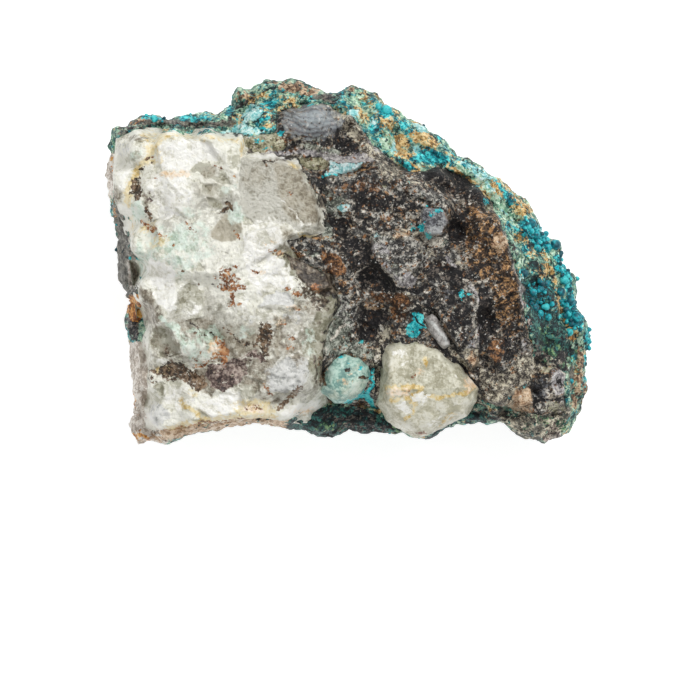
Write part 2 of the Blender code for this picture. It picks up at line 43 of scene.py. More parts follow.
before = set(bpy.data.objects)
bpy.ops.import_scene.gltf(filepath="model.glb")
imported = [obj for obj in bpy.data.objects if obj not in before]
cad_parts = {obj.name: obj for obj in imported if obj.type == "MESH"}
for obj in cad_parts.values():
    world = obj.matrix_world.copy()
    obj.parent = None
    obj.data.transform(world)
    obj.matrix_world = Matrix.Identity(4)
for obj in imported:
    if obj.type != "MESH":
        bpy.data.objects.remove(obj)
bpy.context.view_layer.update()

NODE = "chrysocolla_quartz"
BODY = "root"
MM = 0.001

# Overall form, the same as the solid's
REST_DEPTH = 0.75
SHOULDER = 1.5
BELLY = 7.0
BOWL_RISE = 5.0
SLAB_STEP = 1.1
CRUST_LUMP = 3.0
CRUST_RISE = 1.15
SCOOP_SIZE = 5.2
SCOOP_DEPTH = 3.0
CHUNK_SIZE = 3.2
CHUNK_DEPTH = 1.3
NODULE_CHIPS = 1.2
WALL_ROUGH = 0.8
LAYERING = 1.8
SINK = 1.6
BIG_BALL = 0.8
RIM_MARGIN = 0.8
FLOOR_GAP = 0.05

# The widest line of the stone seen from above, anticlockwise from the lower left corner: x, y, z
OUTLINE = [
    (-28.4, -24.5, 6), (-26.4, -24.0, 7), (-24.8, -24.6, 8), (-21.8, -23.3, 9), (-16.5, -22.2, 10),
    (-12.5, -21.8, 10), (-8.6, -22.3, 9), (-4.2, -23.4, 9), (-2.3, -23.7, 9), (-0.5, -22.8, 9),
    (3.0, -22.8, 9), (7.0, -23.4, 10), (10.4, -24.1, 10), (12.2, -23.1, 10), (14.4, -21.8, 10),
    (18.6, -21.8, 10), (20.2, -21.4, 10), (23.6, -23.5, 9), (26.3, -24.3, 9), (29.4, -22.7, 9),
    (30.8, -20.6, 9), (32.3, -16.8, 9), (31.8, -14.0, 9), (32.5, -10.8, 9), (31.7, -7.8, 9),
    (30.2, -6.2, 9), (30.5, -2.6, 10), (28.8, -0.4, 10), (28.3, 2.6, 10), (27.0, 2.8, 10),
    (25.0, 5.6, 10), (24.5, 7.1, 10), (20.6, 10.7, 11), (17.4, 12.5, 11), (14.2, 14.5, 11),
    (10.0, 18.2, 11), (7.6, 19.0, 11), (5.8, 20.3, 12), (4.4, 20.8, 12), (3.4, 22.4, 12),
    (0.3, 23.4, 12), (-2.7, 22.3, 12), (-5.8, 23.7, 12), (-8.0, 24.4, 12), (-11.4, 24.2, 12),
    (-13.2, 23.0, 12), (-15.0, 23.2, 12), (-15.9, 20.7, 12), (-17.8, 19.5, 12), (-21.8, 19.6, 13),
    (-24.2, 18.7, 13), (-26.6, 19.7, 13), (-29.2, 18.4, 13), (-31.8, 17.6, 13), (-32.0, 14.4, 12),
    (-32.4, 11.3, 11), (-31.9, 6.5, 9), (-31.1, 4.0, 6), (-31.2, -2.5, 4), (-29.5, -5.2, 4),
    (-30.1, -8.3, 4), (-29.5, -13.4, 4), (-28.8, -18.6, 4), (-29.6, -22.2, 5),
]

# Heights of the face and of the flanks that slope away from it: x, y, z
SPOTS = [
    # milky quartz
    (-28.0, 14.8, 22.6), (-24.0, 15.4, 24.0), (-18.5, 15.6, 24.2), (-15.0, 12.5, 24.2),
    (-30.2, 10.6, 21.0), (-26.5, 8.0, 24.0), (-22.0, 8.5, 25.2), (-18.0, 8.5, 24.2),
    (-15.0, 5.0, 24.9), (-10.0, 9.5, 24.1), (-6.6, 8.5, 23.7), (-10.0, 1.5, 25.2),
    (-28.0, 2.5, 23.0), (-24.0, 1.0, 25.0), (-18.5, 0.5, 25.5), (-13.0, -2.5, 25.4),
    (-7.8, -3.0, 24.6), (-26.8, -4.0, 23.2), (-24.0, -7.0, 24.4), (-20.0, -6.0, 23.9),
    (-15.0, -7.0, 25.0), (-10.0, -7.0, 24.1), (-5.0, -7.0, 22.8), (-25.6, -12.0, 22.4),
    (-22.0, -11.0, 24.2), (-18.0, -12.5, 22.8), (-14.0, -11.0, 24.2), (-9.0, -11.0, 23.6),
    (-5.0, -12.0, 22.4), (-25.4, -16.5, 21.4), (-20.5, -15.8, 21.9), (-16.0, -16.5, 22.6),
    (-11.0, -16.0, 23.5), (-7.5, -15.5, 23.0), (-25.0, -21.0, 20.6), (-19.0, -20.0, 21.6),
    (-13.0, -19.8, 21.8), (-8.0, -19.6, 20.6),
    # left wall with its ledges
    (-31.2, 13.5, 17.5), (-30.6, 16.4, 18.0), (-30.6, 3.0, 14.0), (-29.9, -2.0, 13.0),
    (-29.3, -7.5, 13.0), (-28.4, -12.5, 16.5), (-28.1, -18.5, 16.5), (-27.8, -22.8, 13.5),
    (-29.0, -22.0, 11.0),
    # strip of crust beyond the quartz and the bumps on the far edge
    (-26.0, 18.4, 16.0), (-21.0, 18.4, 16.0), (-17.0, 18.2, 17.0), (-12.5, 15.2, 21.2),
    (-8.0, 15.6, 20.8), (-3.0, 14.5, 20.0), (1.0, 14.2, 21.0), (-12.0, 18.6, 19.3),
    (-14.2, 21.2, 15.6), (-10.5, 22.2, 15.8), (-7.0, 22.4, 15.6), (-2.0, 21.2, 17.0),
    (-5.0, 18.3, 20.2), (-0.2, 17.6, 19.2), (1.0, 22.0, 15.4),
    # crust of the upper right flank
    (2.8, 19.6, 16.8), (4.8, 16.6, 17.8), (7.0, 17.2, 15.6), (8.0, 13.6, 18.8), (11.0, 15.2, 16.0),
    (14.0, 12.6, 16.6), (16.6, 11.6, 15.6), (19.2, 8.8, 17.0), (22.0, 7.0, 15.4), (22.8, 3.0, 17.6),
    (26.0, 2.8, 14.2), (24.4, -2.0, 17.8), (28.0, -1.5, 13.6), (26.0, -6.0, 16.6),
    (29.4, -7.0, 12.8), (27.6, -10.8, 15.4), (31.0, -12.0, 11.8), (30.4, -17.0, 11.4),
    # dark matrix
    (-2.4, 10.0, 22.6), (3.0, 10.4, 23.1), (8.2, 9.6, 22.6), (12.2, 10.2, 20.2), (-2.0, 5.2, 21.8),
    (3.0, 5.6, 22.6), (8.0, 6.0, 23.2), (11.4, 5.6, 23.4), (14.4, 5.0, 20.0), (17.0, 8.2, 20.6),
    (18.6, 4.0, 22.2), (20.6, 1.8, 22.4), (-6.0, 1.8, 23.8), (0.0, 0.6, 22.4), (4.8, 0.2, 22.9),
    (3.6, -2.4, 20.8), (8.6, -0.6, 22.9), (13.0, 1.0, 22.4), (16.2, 0.0, 21.4), (21.4, -3.0, 21.6),
    (-1.0, -5.0, 21.8), (3.8, -7.2, 19.8), (8.0, -4.6, 22.2), (12.2, -5.0, 22.3),
    (16.6, -5.5, 22.0), (19.0, -8.0, 20.0), (22.6, -7.0, 20.8), (0.0, -10.0, 20.4),
    (3.0, -10.4, 19.0), (7.4, -9.6, 20.6), (11.2, -8.8, 21.4), (15.0, -10.5, 21.2),
    (20.0, -12.4, 20.4), (24.2, -11.4, 19.6), (17.6, -14.6, 19.4), (22.0, -15.6, 19.2),
    (20.0, -18.2, 18.4), (26.2, -15.0, 17.4), (25.0, -19.6, 16.0), (28.4, -17.0, 15.6),
    (27.4, -22.0, 13.2), (22.2, -21.0, 13.6),
    # recesses between and below the nodules
    (-6.0, -21.4, 14.0), (-1.0, -20.8, 12.6), (2.6, -20.6, 12.4), (5.0, -21.6, 12.0),
    (16.4, -20.4, 13.6), (-0.3, -16.0, 18.6), (10.5, -17.2, 18.0), (4.0, -16.5, 18.8),
    (4.2, -12.6, 19.6),
]

# Edge of the quartz slab, which stands proud of the crust beyond it and of the matrix beside it
SLAB = [
    (-31.2, 8.0), (-30.0, 6.5), (-30.1, 4.5), (-29.4, 3.0), (-28.5, 1.0), (-28.0, -4.5), (-27.2, -9.0),
    (-26.8, -15.0), (-27.1, -22.3), (-24.2, -22.5), (-20.0, -21.5), (-12.0, -20.9), (-8.4, -21.2),
    (-5.4, -21.1), (-5.0, -20.3), (-2.7, -19.1), (-3.1, -17.0), (-3.8, -15.0), (-3.2, -10.0), (-1.5, -6.0), (-2.4, -2.0), (-6.0, -0.2),
    (-8.6, 2.4), (-6.6, 3.4), (-4.6, 3.1), (-3.5, 4.1), (-3.8, 5.8), (-4.6, 8.2), (-5.6, 10.6),
    (-7.0, 13.0), (-10.0, 13.9),
    (-14.0, 14.0), (-14.4, 16.4), (-20.0, 16.7), (-24.5, 16.8), (-27.8, 17.5), (-31.0, 16.0),
    (-31.6, 12.0),
]

# Edge of the broken face right of the quartz; its left side runs on underneath the quartz
MATRIX = [
    (-15.0, 16.4), (-15.0, 10.0), (-14.0, 0.0), (-10.0, -10.0), (-8.0, -19.4), (-5.0, -19.8),
    (-2.3, -19.1), (3.4, -19.6), (18.0, -19.0), (24.0, -20.5), (29.0, -21.0), (29.0, -15.0),
    (24.7, -13.0), (23.4, -7.0), (23.0, -4.0), (21.3, 2.0), (19.0, 8.0), (16.0, 10.9), (12.8, 12.2),
    (8.3, 12.0), (5.5, 13.5), (3.0, 15.8), (0.3, 19.3), (-3.0, 20.8), (-6.0, 21.2), (-9.5, 20.0),
    (-10.0, 17.0),
]

# Edge of the whole broken face and the left wall, inside which the stone has no crust
BROKEN_FACE = [
    (-33.0, 17.0), (-27.8, 17.2), (-14.4, 16.2), (-10.0, 17.0), (-3.0, 20.6), (0.3, 19.3), (3.0, 15.8),
    (5.5, 13.5), (8.3, 12.0), (12.8, 12.2), (16.0, 10.9), (19.0, 8.0), (21.3, 2.0), (23.0, -4.0),
    (23.4, -7.0), (24.7, -13.0), (29.0, -15.0), (29.0, -21.0), (24.0, -20.5), (18.0, -19.0), (3.4, -19.6),
    (-2.3, -19.1), (-5.0, -20.6), (-8.0, -21.7), (-24.2, -23.2), (-33.0, -26.0),
]

# One large even face in the quartz: corners, then a point on it and its slopes along x and y
GREY_FACE = [
    (-14.6, 13.3), (-10.0, 13.6), (-7.0, 12.8), (-5.3, 9.5), (-4.3, 7.0), (-4.2, 4.3),
    (-6.5, 3.6), (-8.0, 4.5), (-13.0, 5.0), (-14.4, 9.0),
]
GREY_FACE_PLANE = (-9.5, 8.5, 24.3, -0.07, 0.02)

# Ridges that stand up from the matrix: height, half width, then points of the crest
RIDGES = [
    (1.1, 0.8, [(3.4, 0.4), (5.0, -1.5), (7.0, -3.7)]),
    (1.3, 0.9, [(8.4, 9.6), (12.4, 8.6), (13.4, 6.2), (12.8, 3.8)]),
    (1.0, 0.8, [(15.4, -3.4), (17.2, -6.0), (16.9, -8.0), (17.4, -12.0)]),
    (1.0, 1.0, [(19.8, 6.4), (21.4, 2.0), (22.8, -3.0), (23.3, -7.0), (24.4, -11.0)]),
    (0.9, 0.8, [(17.4, -19.2), (20.4, -18.8), (22.0, -19.4)]),
    (0.8, 0.7, [(-28.6, -5.8), (-28.2, -14.0), (-28.4, -21.0)]),
    (1.0, 0.9, [(-0.4, 20.4), (1.4, 17.8), (3.4, 14.8), (5.6, 13.3)]),
]

# Pits, and with a positive rise swells: x, y, radius, rise
PITS = [
    (3.6, -7.6, 1.9, -1.8), (2.4, -9.6, 1.3, -1.3), (13.8, 9.6, 1.5, -1.5), (14.0, 4.0, 1.2, -1.7),
    (-1.5, 4.6, 1.4, -1.1), (25.8, -12.6, 1.3, -1.5), (18.6, -8.4, 1.4, -1.3), (20.6, -19.8, 1.2, -0.9),
    (-0.5, 15.5, 1.6, -1.1), (-18.6, -9.8, 1.0, -0.8), (-16.4, 6.8, 1.3, -1.0), (-28.2, 9.2, 0.9, -0.8),
    (2.4, -2.2, 1.5, -1.1), (-20.2, -16.4, 1.3, -1.0), (3.9, -14.6, 0.7, -1.2), (-3.6, -15.4, 0.6, -1.0),
    (-5.0, 18.3, 2.5, 1.1), (28.2, -16.5, 1.3, 0.8), (-13.0, 19.6, 1.3, 0.8), (11.4, 5.4, 1.6, 0.7),
    (-8.3, -15.4, 2.4, 0.7), (-10.8, -10.4, 1.4, -0.7), (-5.0, -2.6, 1.5, -0.7), (23.4, -18.4, 1.3, 0.6),
]

# Nodules and the grey crystal: outline, centre, heights of the widest line, the top and the foot,
# slopes of the two faces that meet in a crest at the given angle, and width of the shoulder
NODULES = {
    "pale_nodule": {
        "outline": [
            (8.6, -23.8), (10.4, -23.6), (13.6, -21.9), (15.8, -20.8), (17.1, -18.8), (17.4, -17.2),
            (15.2, -14.1), (12.2, -10.8), (9.6, -9.6), (5.4, -10.3), (4.0, -11.4), (4.0, -15.4), (3.7, -19.2),
            (5.2, -21.6),
        ],
        "centre": (10.4, -17.2), "waist": 15.0, "top": 22.6, "foot": 9.0,
        "slopes": (0.24, 0.36), "crest": 2.0, "shoulder": 2.0, "rings": 84,
    },
    "teal_nodule": {
        "outline": [
            (-2.0, -19.2), (-0.6, -19.2), (1.8, -17.9), (3.2, -15.8), (2.9, -14.1), (1.4, -12.5),
            (-0.8, -11.7), (-2.7, -12.0), (-3.9, -14.2), (-3.9, -17.5),
        ],
        "centre": (-0.3, -15.9), "waist": 16.2, "top": 20.8, "foot": 11.0,
        "slopes": (0.12, 0.2), "crest": 20.0, "shoulder": 2.0, "rings": 52,
    },
    "grey_crystal": {
        "outline": [
            (10.0, -7.9), (11.0, -7.2), (11.9, -8.2), (13.2, -10.4), (13.5, -11.4), (12.7, -11.9),
            (11.8, -11.2), (10.5, -9.2),
        ],
        "centre": (11.8, -9.5), "waist": 20.6, "top": 22.1, "foot": 18.0,
        "slopes": (0.5, 0.5), "crest": -55.0, "shoulder": 0.4, "rings": 30,
    },
}

# Balls of chrysocolla on the crust: x, y, radius
BALLS = [
    (5.0, 20.1, 0.95), (3.9, 20.6, 0.6), (27.7, 2.1, 0.95), (28.2, 0.9, 0.5), (26.8, 1.8, 0.7),
    (24.6, -4.3, 0.7), (25.6, -3.8, 0.6), (26.4, -3.1, 0.6), (24.8, -6.3, 0.75), (26.4, -6.2, 0.6),
    (25.6, -7.1, 0.6), (26.7, -7.6, 0.6), (28.6, -1.0, 0.9), (28.9, -2.6, 0.8), (28.4, -4.2, 0.8),
    (29.7, -5.4, 0.8), (30.6, -7.6, 0.9), (29.6, -9.6, 0.7), (24.4, 5.0, 0.9), (25.0, 3.4, 0.8),
    (25.2, 1.6, 0.8), (23.4, -1.8, 0.7), (-21.6, 19.0, 0.7), (-19.2, 19.1, 0.6), (-26.2, 19.0, 0.7),
]

# Small plane facets of the face: drop below the general level, slopes along x and y, corners
FACETS = [
    (-0.2, 0.10, 0.14, [(-21.1, 11.6), (-20.2, 12.9), (-18.6, 12.8), (-17.9, 11.2), (-20.0, 11.3)]),
    (-0.5, -0.16, 0.10, [(-18.4, 11.1), (-16.5, 11.3), (-15.5, 9.9), (-17.4, 10.1)]),
    (-0.3, 0.14, -0.10, [(-19.3, 9.9), (-17.6, 10.1), (-15.6, 9.9), (-15.3, 8.8), (-17.0, 8.3), (-19.2, 8.5)]),
    (-0.7, 0.25, 0.10, [(-18.9, 8.3), (-17.2, 7.9), (-16.9, 6.8), (-18.2, 6.8)]),
    (0.2, -0.08, 0.12, [(-25.6, 15.4), (-22.0, 16.2), (-18.6, 15.6), (-17.2, 13.2), (-21.0, 12.4), (-25.0, 12.0)]),
    (-0.2, 0.10, -0.16, [(-26.0, 5.0), (-22.8, 6.4), (-19.0, 3.8), (-21.4, 1.2), (-25.0, 1.6)]),
    (0.3, 0.06, 0.16, [(-13.6, 3.6), (-9.6, 4.4), (-8.8, 1.8), (-10.6, 0.8), (-12.8, -1.2), (-14.4, 0.8)]),
    (0.2, -0.10, -0.14, [(-12.2, -6.2), (-11.2, -4.9), (-9.6, -4.2), (-8.2, -4.4), (-7.0, -6.3), (-9.4, -6.6)]),
    (0.3, -0.10, 0.16, [(-11.3, -14.6), (-8.8, -13.2), (-6.7, -12.5), (-5.3, -13.7), (-7.0, -17.6), (-10.4, -17.6)]),
    (-0.2, 0.05, -0.12, [(-22.6, -4.0), (-21.0, -3.0), (-19.2, -4.2), (-19.2, -7.6), (-22.0, -8.2), (-22.8, -6.0)]),
    (-0.5, 0.16, 0.10, [(-26.4, -9.0), (-23.8, -9.2), (-22.4, -12.4), (-25.0, -13.2), (-26.3, -11.4)]),
    (0.2, 0.10, -0.20, [(-14.9, -16.8), (-13.4, -15.7), (-11.5, -16.2), (-12.6, -18.2), (-13.8, -19.2)]),
    (0.3, 0.00, -0.12, [(-20.6, -19.6), (-17.0, -17.7), (-14.8, -18.2), (-14.6, -20.4), (-18.2, -21.0)]),
    (-0.6, 0.10, 0.10, [(-8.3, 0.6), (-3.4, -1.0), (-2.3, -3.8), (-4.8, -4.2), (-7.4, -1.6)]),
    (0.5, 0.16, 0.18, [(9.8, 7.0), (12.4, 6.6), (13.1, 5.0), (12.2, 3.3), (10.2, 3.3), (9.6, 5.0)]),
    (0.6, 0.05, 0.30, [(8.2, 9.8), (12.4, 8.8), (13.4, 6.8), (10.4, 7.9), (8.0, 8.6)]),
    (0.3, 0.16, 0.20, [(3.0, 2.8), (5.8, 4.0), (9.4, 2.6), (9.8, 0.0), (7.2, -3.4), (5.0, -1.3), (3.3, 0.6)]),
    (0.2, -0.12, 0.06, [(12.2, -4.6), (15.4, -3.5), (16.8, -6.0), (16.5, -9.4), (14.6, -11.8), (11.2, -6.2)]),
    (0.2, 0.12, -0.12, [(14.4, -12.4), (17.2, -11.8), (17.3, -13.4), (16.2, -14.8)]),
    (-0.3, -0.20, -0.10, [(18.6, -10.8), (20.6, -10.4), (21.0, -12.4), (19.6, -13.8), (18.3, -12.4)]),
    (0.3, 0.10, -0.15, [(22.2, -17.3), (24.4, -17.1), (24.6, -19.0), (22.8, -19.7)]),
    (0.2, 0.30, 0.20, [(-2.9, 13.2), (2.4, 13.1), (0.8, 11.9), (-2.4, 11.3), (-3.2, 11.6)]),
]

# Colour marks, by skin and mineral. A row of six is a spot: x, y, half length, half width, turn,
# strength. A row of three is a line: half width, strength, points. A row of two is a field:
# strength, corners.
QUARTZ_MARKS = {
    "plain": [(0.5, [
        (-13.6, 5.6), (-10.4, 5.4), (-9.6, 2.0), (-9.8, -1.4), (-13.4, -1.6), (-13.8, 2.0),
    ]), (0.58, [
        (-21.0, -5.0), (-16.5, -4.6), (-12.5, -6.5), (-10.0, -4.6), (-5.0, -5.5), (-3.0, -10.0), (-3.2, -15.0),
        (-4.6, -19.0), (-9.0, -20.0), (-13.0, -18.0), (-17.5, -16.0), (-20.5, -17.0), (-26.8, -13.0),
        (-26.8, -8.0), (-22.0, -7.6),
    ]), (0.45, [
        (-24.6, 9.6), (-21.0, 11.0), (-15.0, 9.0), (-15.0, 3.0), (-21.0, 1.0), (-25.4, 3.4),
    ]), (0.6, [
        (-20.8, 10.2), (-14.8, 9.6), (-14.6, 5.4), (-18.0, 4.8), (-20.6, 7.2),
    ]), (0.3, [
        (-21.4, 3.2), (-14.2, 2.6), (-13.6, -1.6), (-16.0, -4.6), (-21.4, -4.6),
    ]), (0.75, [
        (-24.6, -4.6), (-19.0, -3.6), (-16.6, -6.0), (-15.8, -10.0), (-20.0, -11.6), (-24.0, -9.0),
    ]), (0.8, [
        (-10.4, -11.4), (-6.6, -11.2), (-6.4, -14.6), (-10.4, -15.0),
    ]), (1.0, [
        (-14.4, 13.2), (-12.0, 13.5), (-10.0, 13.7), (-7.2, 13.0), (-6.4, 12.0), (-5.0, 8.8), (-4.2, 6.6),
        (-3.4, 4.0), (-4.6, 3.2), (-6.8, 3.8), (-8.0, 4.8), (-12.8, 4.8), (-14.1, 6.0), (-14.8, 10.0),
    ])],
    "window": [
        (1.0, [(-21.1, 11.6), (-20.2, 12.9), (-18.6, 12.8), (-17.9, 11.2), (-18.6, 10.8), (-20.0, 11.4)]),
        (1.0, [(-18.4, 11.0), (-16.5, 11.3), (-15.5, 9.9), (-17.4, 10.1)]),
        (0.7, [(-19.3, 9.9), (-17.6, 10.1), (-15.6, 9.9), (-15.3, 8.8), (-17.0, 8.3), (-19.2, 8.5)]),
        (1.0, [(-18.9, 8.3), (-17.2, 7.9), (-16.9, 6.8), (-18.2, 6.8)]),
        (0.9, [(-26.4, -9.0), (-25.0, -8.7), (-22.6, -11.2), (-22.4, -12.6), (-25.2, -13.0), (-26.2, -11.4)]),
        (-22.6, -7.0, 0.8, 2.2, 10, 0.4),
        (0.7, [(-26.2, -16.2), (-25.2, -16.0), (-24.3, -17.0), (-24.2, -18.7), (-25.2, -17.8), (-26.3, -17.2)]),
        (0.8, [(-14.9, -16.8), (-13.4, -15.7), (-11.5, -16.2), (-12.6, -18.2), (-13.8, -19.2)]),
        (0.9, [(-4.2, -8.2), (-2.8, -7.0), (-1.5, -5.8), (-0.6, -8.0), (-1.2, -12.0), (-3.4, -12.6), (-3.8, -10.4)]),
        (0.8, [(-22.6, -4.0), (-21.0, -2.9), (-19.3, -4.0), (-19.3, -7.8), (-20.6, -8.6), (-22.8, -6.0)]),
        (0.8, [(-30.4, 13.6), (-29.4, 14.6), (-28.2, 14.6), (-27.6, 13.8), (-29.2, 12.8)]),
        (0.25, 0.8, [(-9.6, -7.6), (-9.4, -9.6), (-9.9, -12.4)]), (-26.9, 16.2, 1.8, 0.6, 10, 0.8),
        (-3.6, 7.6, 0.5, 1.0, 20, 0.6), (-15.0, 4.4, 1.0, 1.2, 0, 0.4), (-11.2, -7.4, 1.6, 0.6, 20, 0.5),
    ],
    "haze": [
        (0.8, [(-10.2, 12.8), (-6.8, 12.6), (-5.2, 8.8), (-4.0, 5.4), (-5.4, 4.4), (-8.0, 5.4), (-9.4, 8.6)]),
        (0.35, 1.0, [(-7.2, 12.4), (-7.6, 10.6), (-8.0, 8.8)]), (-12.4, 11.0, 1.8, 1.4, 0, 0.5),
        (1.0, [(-18.6, 3.0), (-17.8, 4.6), (-16.6, 6.0), (-15.0, 6.2), (-14.0, 4.2), (-15.2, 2.8), (-17.0, 2.2)]),
        (-9.0, 3.6, 1.6, 0.8, 0, 0.6), (-24.6, 14.8, 1.4, 0.8, 0, 0.4), (-18.6, 9.6, 1.6, 2.0, 0, 0.4),
        (0.7, [(-18.4, -9.0), (-12.4, -8.4), (-11.6, -12.0), (-16.0, -12.6)]), (-25.8, 9.2, 1.0, 2.2, 0, 0.4),
    ],
    "smoke": [
        (0.55, [(-24.2, -8.0), (-20.8, -7.8), (-18.0, -8.4), (-18.2, -11.0), (-20.4, -11.2), (-23.4, -11.8)]), (-8.6, -1.6, 1.6, 1.4, 0, 0.5),
        (-5.2, 7.4, 1.2, 2.4, 18, 0.95), (-8.6, 3.0, 1.6, 1.0, 0, 0.6), (-8.8, -10.2, 1.0, 1.8, 0, 0.6),
        (-19.0, -15.8, 1.2, 1.2, 0, 0.8), (-6.6, 11.4, 0.8, 1.2, 20, 0.5),
        (-31.0, 8.6, 0.8, 1.6, 0, 0.7), (-18.6, 11.6, 1.2, 0.9, 0, 0.5), (-5.4, -6.4, 1.4, 1.2, 0, 0.6),
        (0.7, [(-20.8, -7.6), (-17.4, -7.8), (-16.8, -11.0), (-18.6, -12.0), (-20.6, -10.4)]),
        (0.9, [(-20.6, -14.6), (-17.4, -14.0), (-17.0, -16.6), (-18.4, -18.2), (-20.4, -17.2)]),
        (0.6, [(-10.2, -7.6), (-6.8, -7.4), (-5.4, -9.4), (-6.2, -14.6), (-9.0, -12.6), (-10.6, -14.8)]),
        (0.8, [(-27.8, -3.8), (-25.8, -4.4), (-24.8, -7.6), (-25.6, -9.0), (-27.4, -8.4)]),
        (-28.4, 16.4, 2.2, 0.6, 0, 0.6), (-24.0, -12.6, 1.4, 1.2, 0, 0.7),
        (0.9, [(-8.6, 0.8), (-6.0, -0.1), (-3.2, -0.8), (-2.2, -2.2), (-2.0, -4.2), (-3.2, -5.2), (-5.0, -4.2),
               (-6.4, -3.0), (-7.6, -1.2)]),
        (0.5, [(-27.6, -3.6), (-25.8, -8.6), (-24.4, -12.4), (-25.0, -16.0), (-26.4, -15.6), (-26.6, -9.0)]),
        (0.62, [(-17.4, -9.4), (-14.6, -10.4), (-10.2, -8.6), (-9.8, -14.0), (-11.4, -18.4), (-14.0, -16.6),
                (-16.0, -17.0), (-18.6, -13.0)]),
        (0.5, [(-4.8, -5.4), (-1.4, -5.6), (-0.6, -12.0), (-3.4, -13.0), (-5.0, -9.0)]),
        (-26.9, 8.0, 0.8, 1.1, 20, 0.6), (-17.6, -11.6, 1.4, 1.6, 0, 0.7), (-24.0, -15.4, 1.8, 0.8, -15, 0.7),
        (-12.4, -12.2, 1.2, 1.2, 0, 0.7),
        (0.3, 0.8, [(-28.0, -3.4), (-27.2, -5.8), (-26.4, -7.8), (-25.6, -9.0)]), (-13.0, -15.0, 1.6, 0.5, 20, 0.7),
        (-8.6, 1.4, 1.4, 0.6, -10, 0.7), (-10.2, -19.2, 1.4, 0.5, 30, 0.5), (-11.0, -18.4, 0.8, 1.2, 0, 0.5),
        (0.5, 0.6, [(-4.2, -12.6), (-4.6, -15.0), (-4.4, -17.2)]), (-23.4, -12.8, 1.2, 0.8, 0, 0.6),
    ],
    "dusk": [
        (0.7, [(-7.4, -2.4), (-4.4, -4.4), (-2.6, -5.4), (-3.0, -7.2), (-4.6, -6.4), (-6.6, -4.6)]),
        (0.95, [(-8.6, 0.9), (-6.0, 0.0), (-3.2, -0.6), (-1.4, -2.2), (-1.2, -4.4), (-3.4, -5.0), (-5.4, -3.8),
                (-6.8, -2.4), (-7.8, -0.8)]),
        (0.25, 0.8, [(-4.6, -13.0), (-4.2, -16.6)]),
    ],
    "pearl": [
        (1.0, [(-12.2, -6.2), (-11.2, -4.9), (-9.6, -4.2), (-8.2, -4.4), (-7.2, -5.4), (-7.0, -6.5), (-9.6, -5.8)]),
        (1.0, [(-11.3, -14.6), (-8.8, -13.2), (-6.7, -12.5), (-5.3, -13.7), (-5.6, -15.8), (-7.0, -17.6),
               (-10.4, -17.6)]),
        (0.8, [(-26.6, -19.0), (-24.8, -19.2), (-23.8, -21.0), (-25.4, -22.4), (-27.2, -21.6)]),
        (-7.4, -7.8, 1.8, 1.2, 0, 0.5), (-13.4, -8.4, 1.6, 1.2, 0, 0.5), (-30.2, 15.0, 0.9, 1.2, 0, 0.5),
    ],
    "mint": [
        (0.5, [(-28.4, 3.0), (-25.0, 4.6), (-19.0, 5.0), (-17.6, 1.0), (-22.0, -2.6), (-27.6, -2.0)]),
        (0.72, [(-24.4, -8.4), (-23.0, -8.6), (-21.2, -10.2), (-20.2, -11.4), (-20.0, -13.8), (-21.2, -13.2),
               (-22.6, -10.8)]),
        (0.7, [(-5.8, -9.6), (-4.4, -9.2), (-3.9, -10.8), (-4.4, -12.6), (-5.8, -12.8), (-6.2, -11.0)]),
        (0.7, [(-21.4, -9.2), (-17.6, -8.6), (-16.8, -10.4), (-18.4, -12.8), (-20.0, -13.8), (-20.6, -11.0)]),
        (-22.4, 2.2, 2.2, 1.2, -30, 0.8), (-20.0, 3.6, 1.6, 0.8, 10, 0.6), (-28.2, 6.4, 1.0, 1.4, 0, 0.8),
        (-27.8, 0.4, 0.6, 2.8, 0, 0.8), (-15.0, 6.0, 1.0, 1.2, 0, 0.9), (-21.4, 6.6, 1.6, 1.2, 0, 0.4),
        (-14.0, -9.6, 1.4, 0.8, 0, 0.5), (0.3, 0.9, [(-25.0, -7.6), (-22.8, -9.8), (-20.6, -11.6)]),
        (-28.4, 14.0, 0.8, 0.8, 0, 0.4), (-12.8, 15.8, 1.0, 0.6, 0, 0.8), (-16.2, 9.2, 1.2, 0.8, 0, 0.4),
    ],
    "frost": [
        (-10.6, 5.0, 2.2, 0.7, 0, 0.55), (-6.4, 4.6, 1.4, 0.5, 10, 0.5),
        (0.7, [(-27.0, 10.6), (-25.0, 11.6), (-21.0, 11.2), (-20.8, 8.0), (-22.4, 5.6), (-26.0, 5.8)]),
        (0.9, [(-25.4, 15.4), (-23.0, 16.0), (-19.0, 15.8), (-17.0, 14.6), (-17.6, 13.0), (-20.6, 12.9),
               (-21.2, 11.8), (-24.8, 11.9), (-25.8, 13.6)]),
        (0.8, [(-13.8, 4.6), (-9.4, 4.6), (-8.6, 2.2), (-10.0, 1.0), (-8.2, -0.4), (-7.2, -2.6), (-7.6, -4.0),
               (-9.8, -3.8), (-12.0, -5.2), (-13.4, -2.0), (-14.2, 1.0)]),
        (0.9, [(-26.6, 0.2), (-23.4, -0.8), (-22.9, -3.4), (-23.0, -6.6), (-24.4, -6.8), (-26.2, -4.8), (-27.2, -2.0)]),
        (0.9, [(-20.6, -19.4), (-17.0, -17.7), (-15.2, -16.9), (-14.6, -18.0), (-14.0, -19.6), (-15.6, -20.6),
               (-18.0, -21.0)]),
        (0.8, [(-24.4, -16.8), (-22.0, -16.9), (-20.7, -17.8), (-20.8, -19.0), (-22.6, -19.8), (-24.6, -19.0)]),
        (0.8, [(-5.6, -19.0), (-3.4, -18.0), (-3.6, -19.6), (-5.0, -20.4), (-7.6, -21.0), (-9.4, -20.6),
               (-8.4, -19.4)]),
        (0.6, [(-31.0, 11.6), (-29.0, 12.4), (-28.8, 10.6), (-29.6, 8.6), (-31.0, 9.0)]),
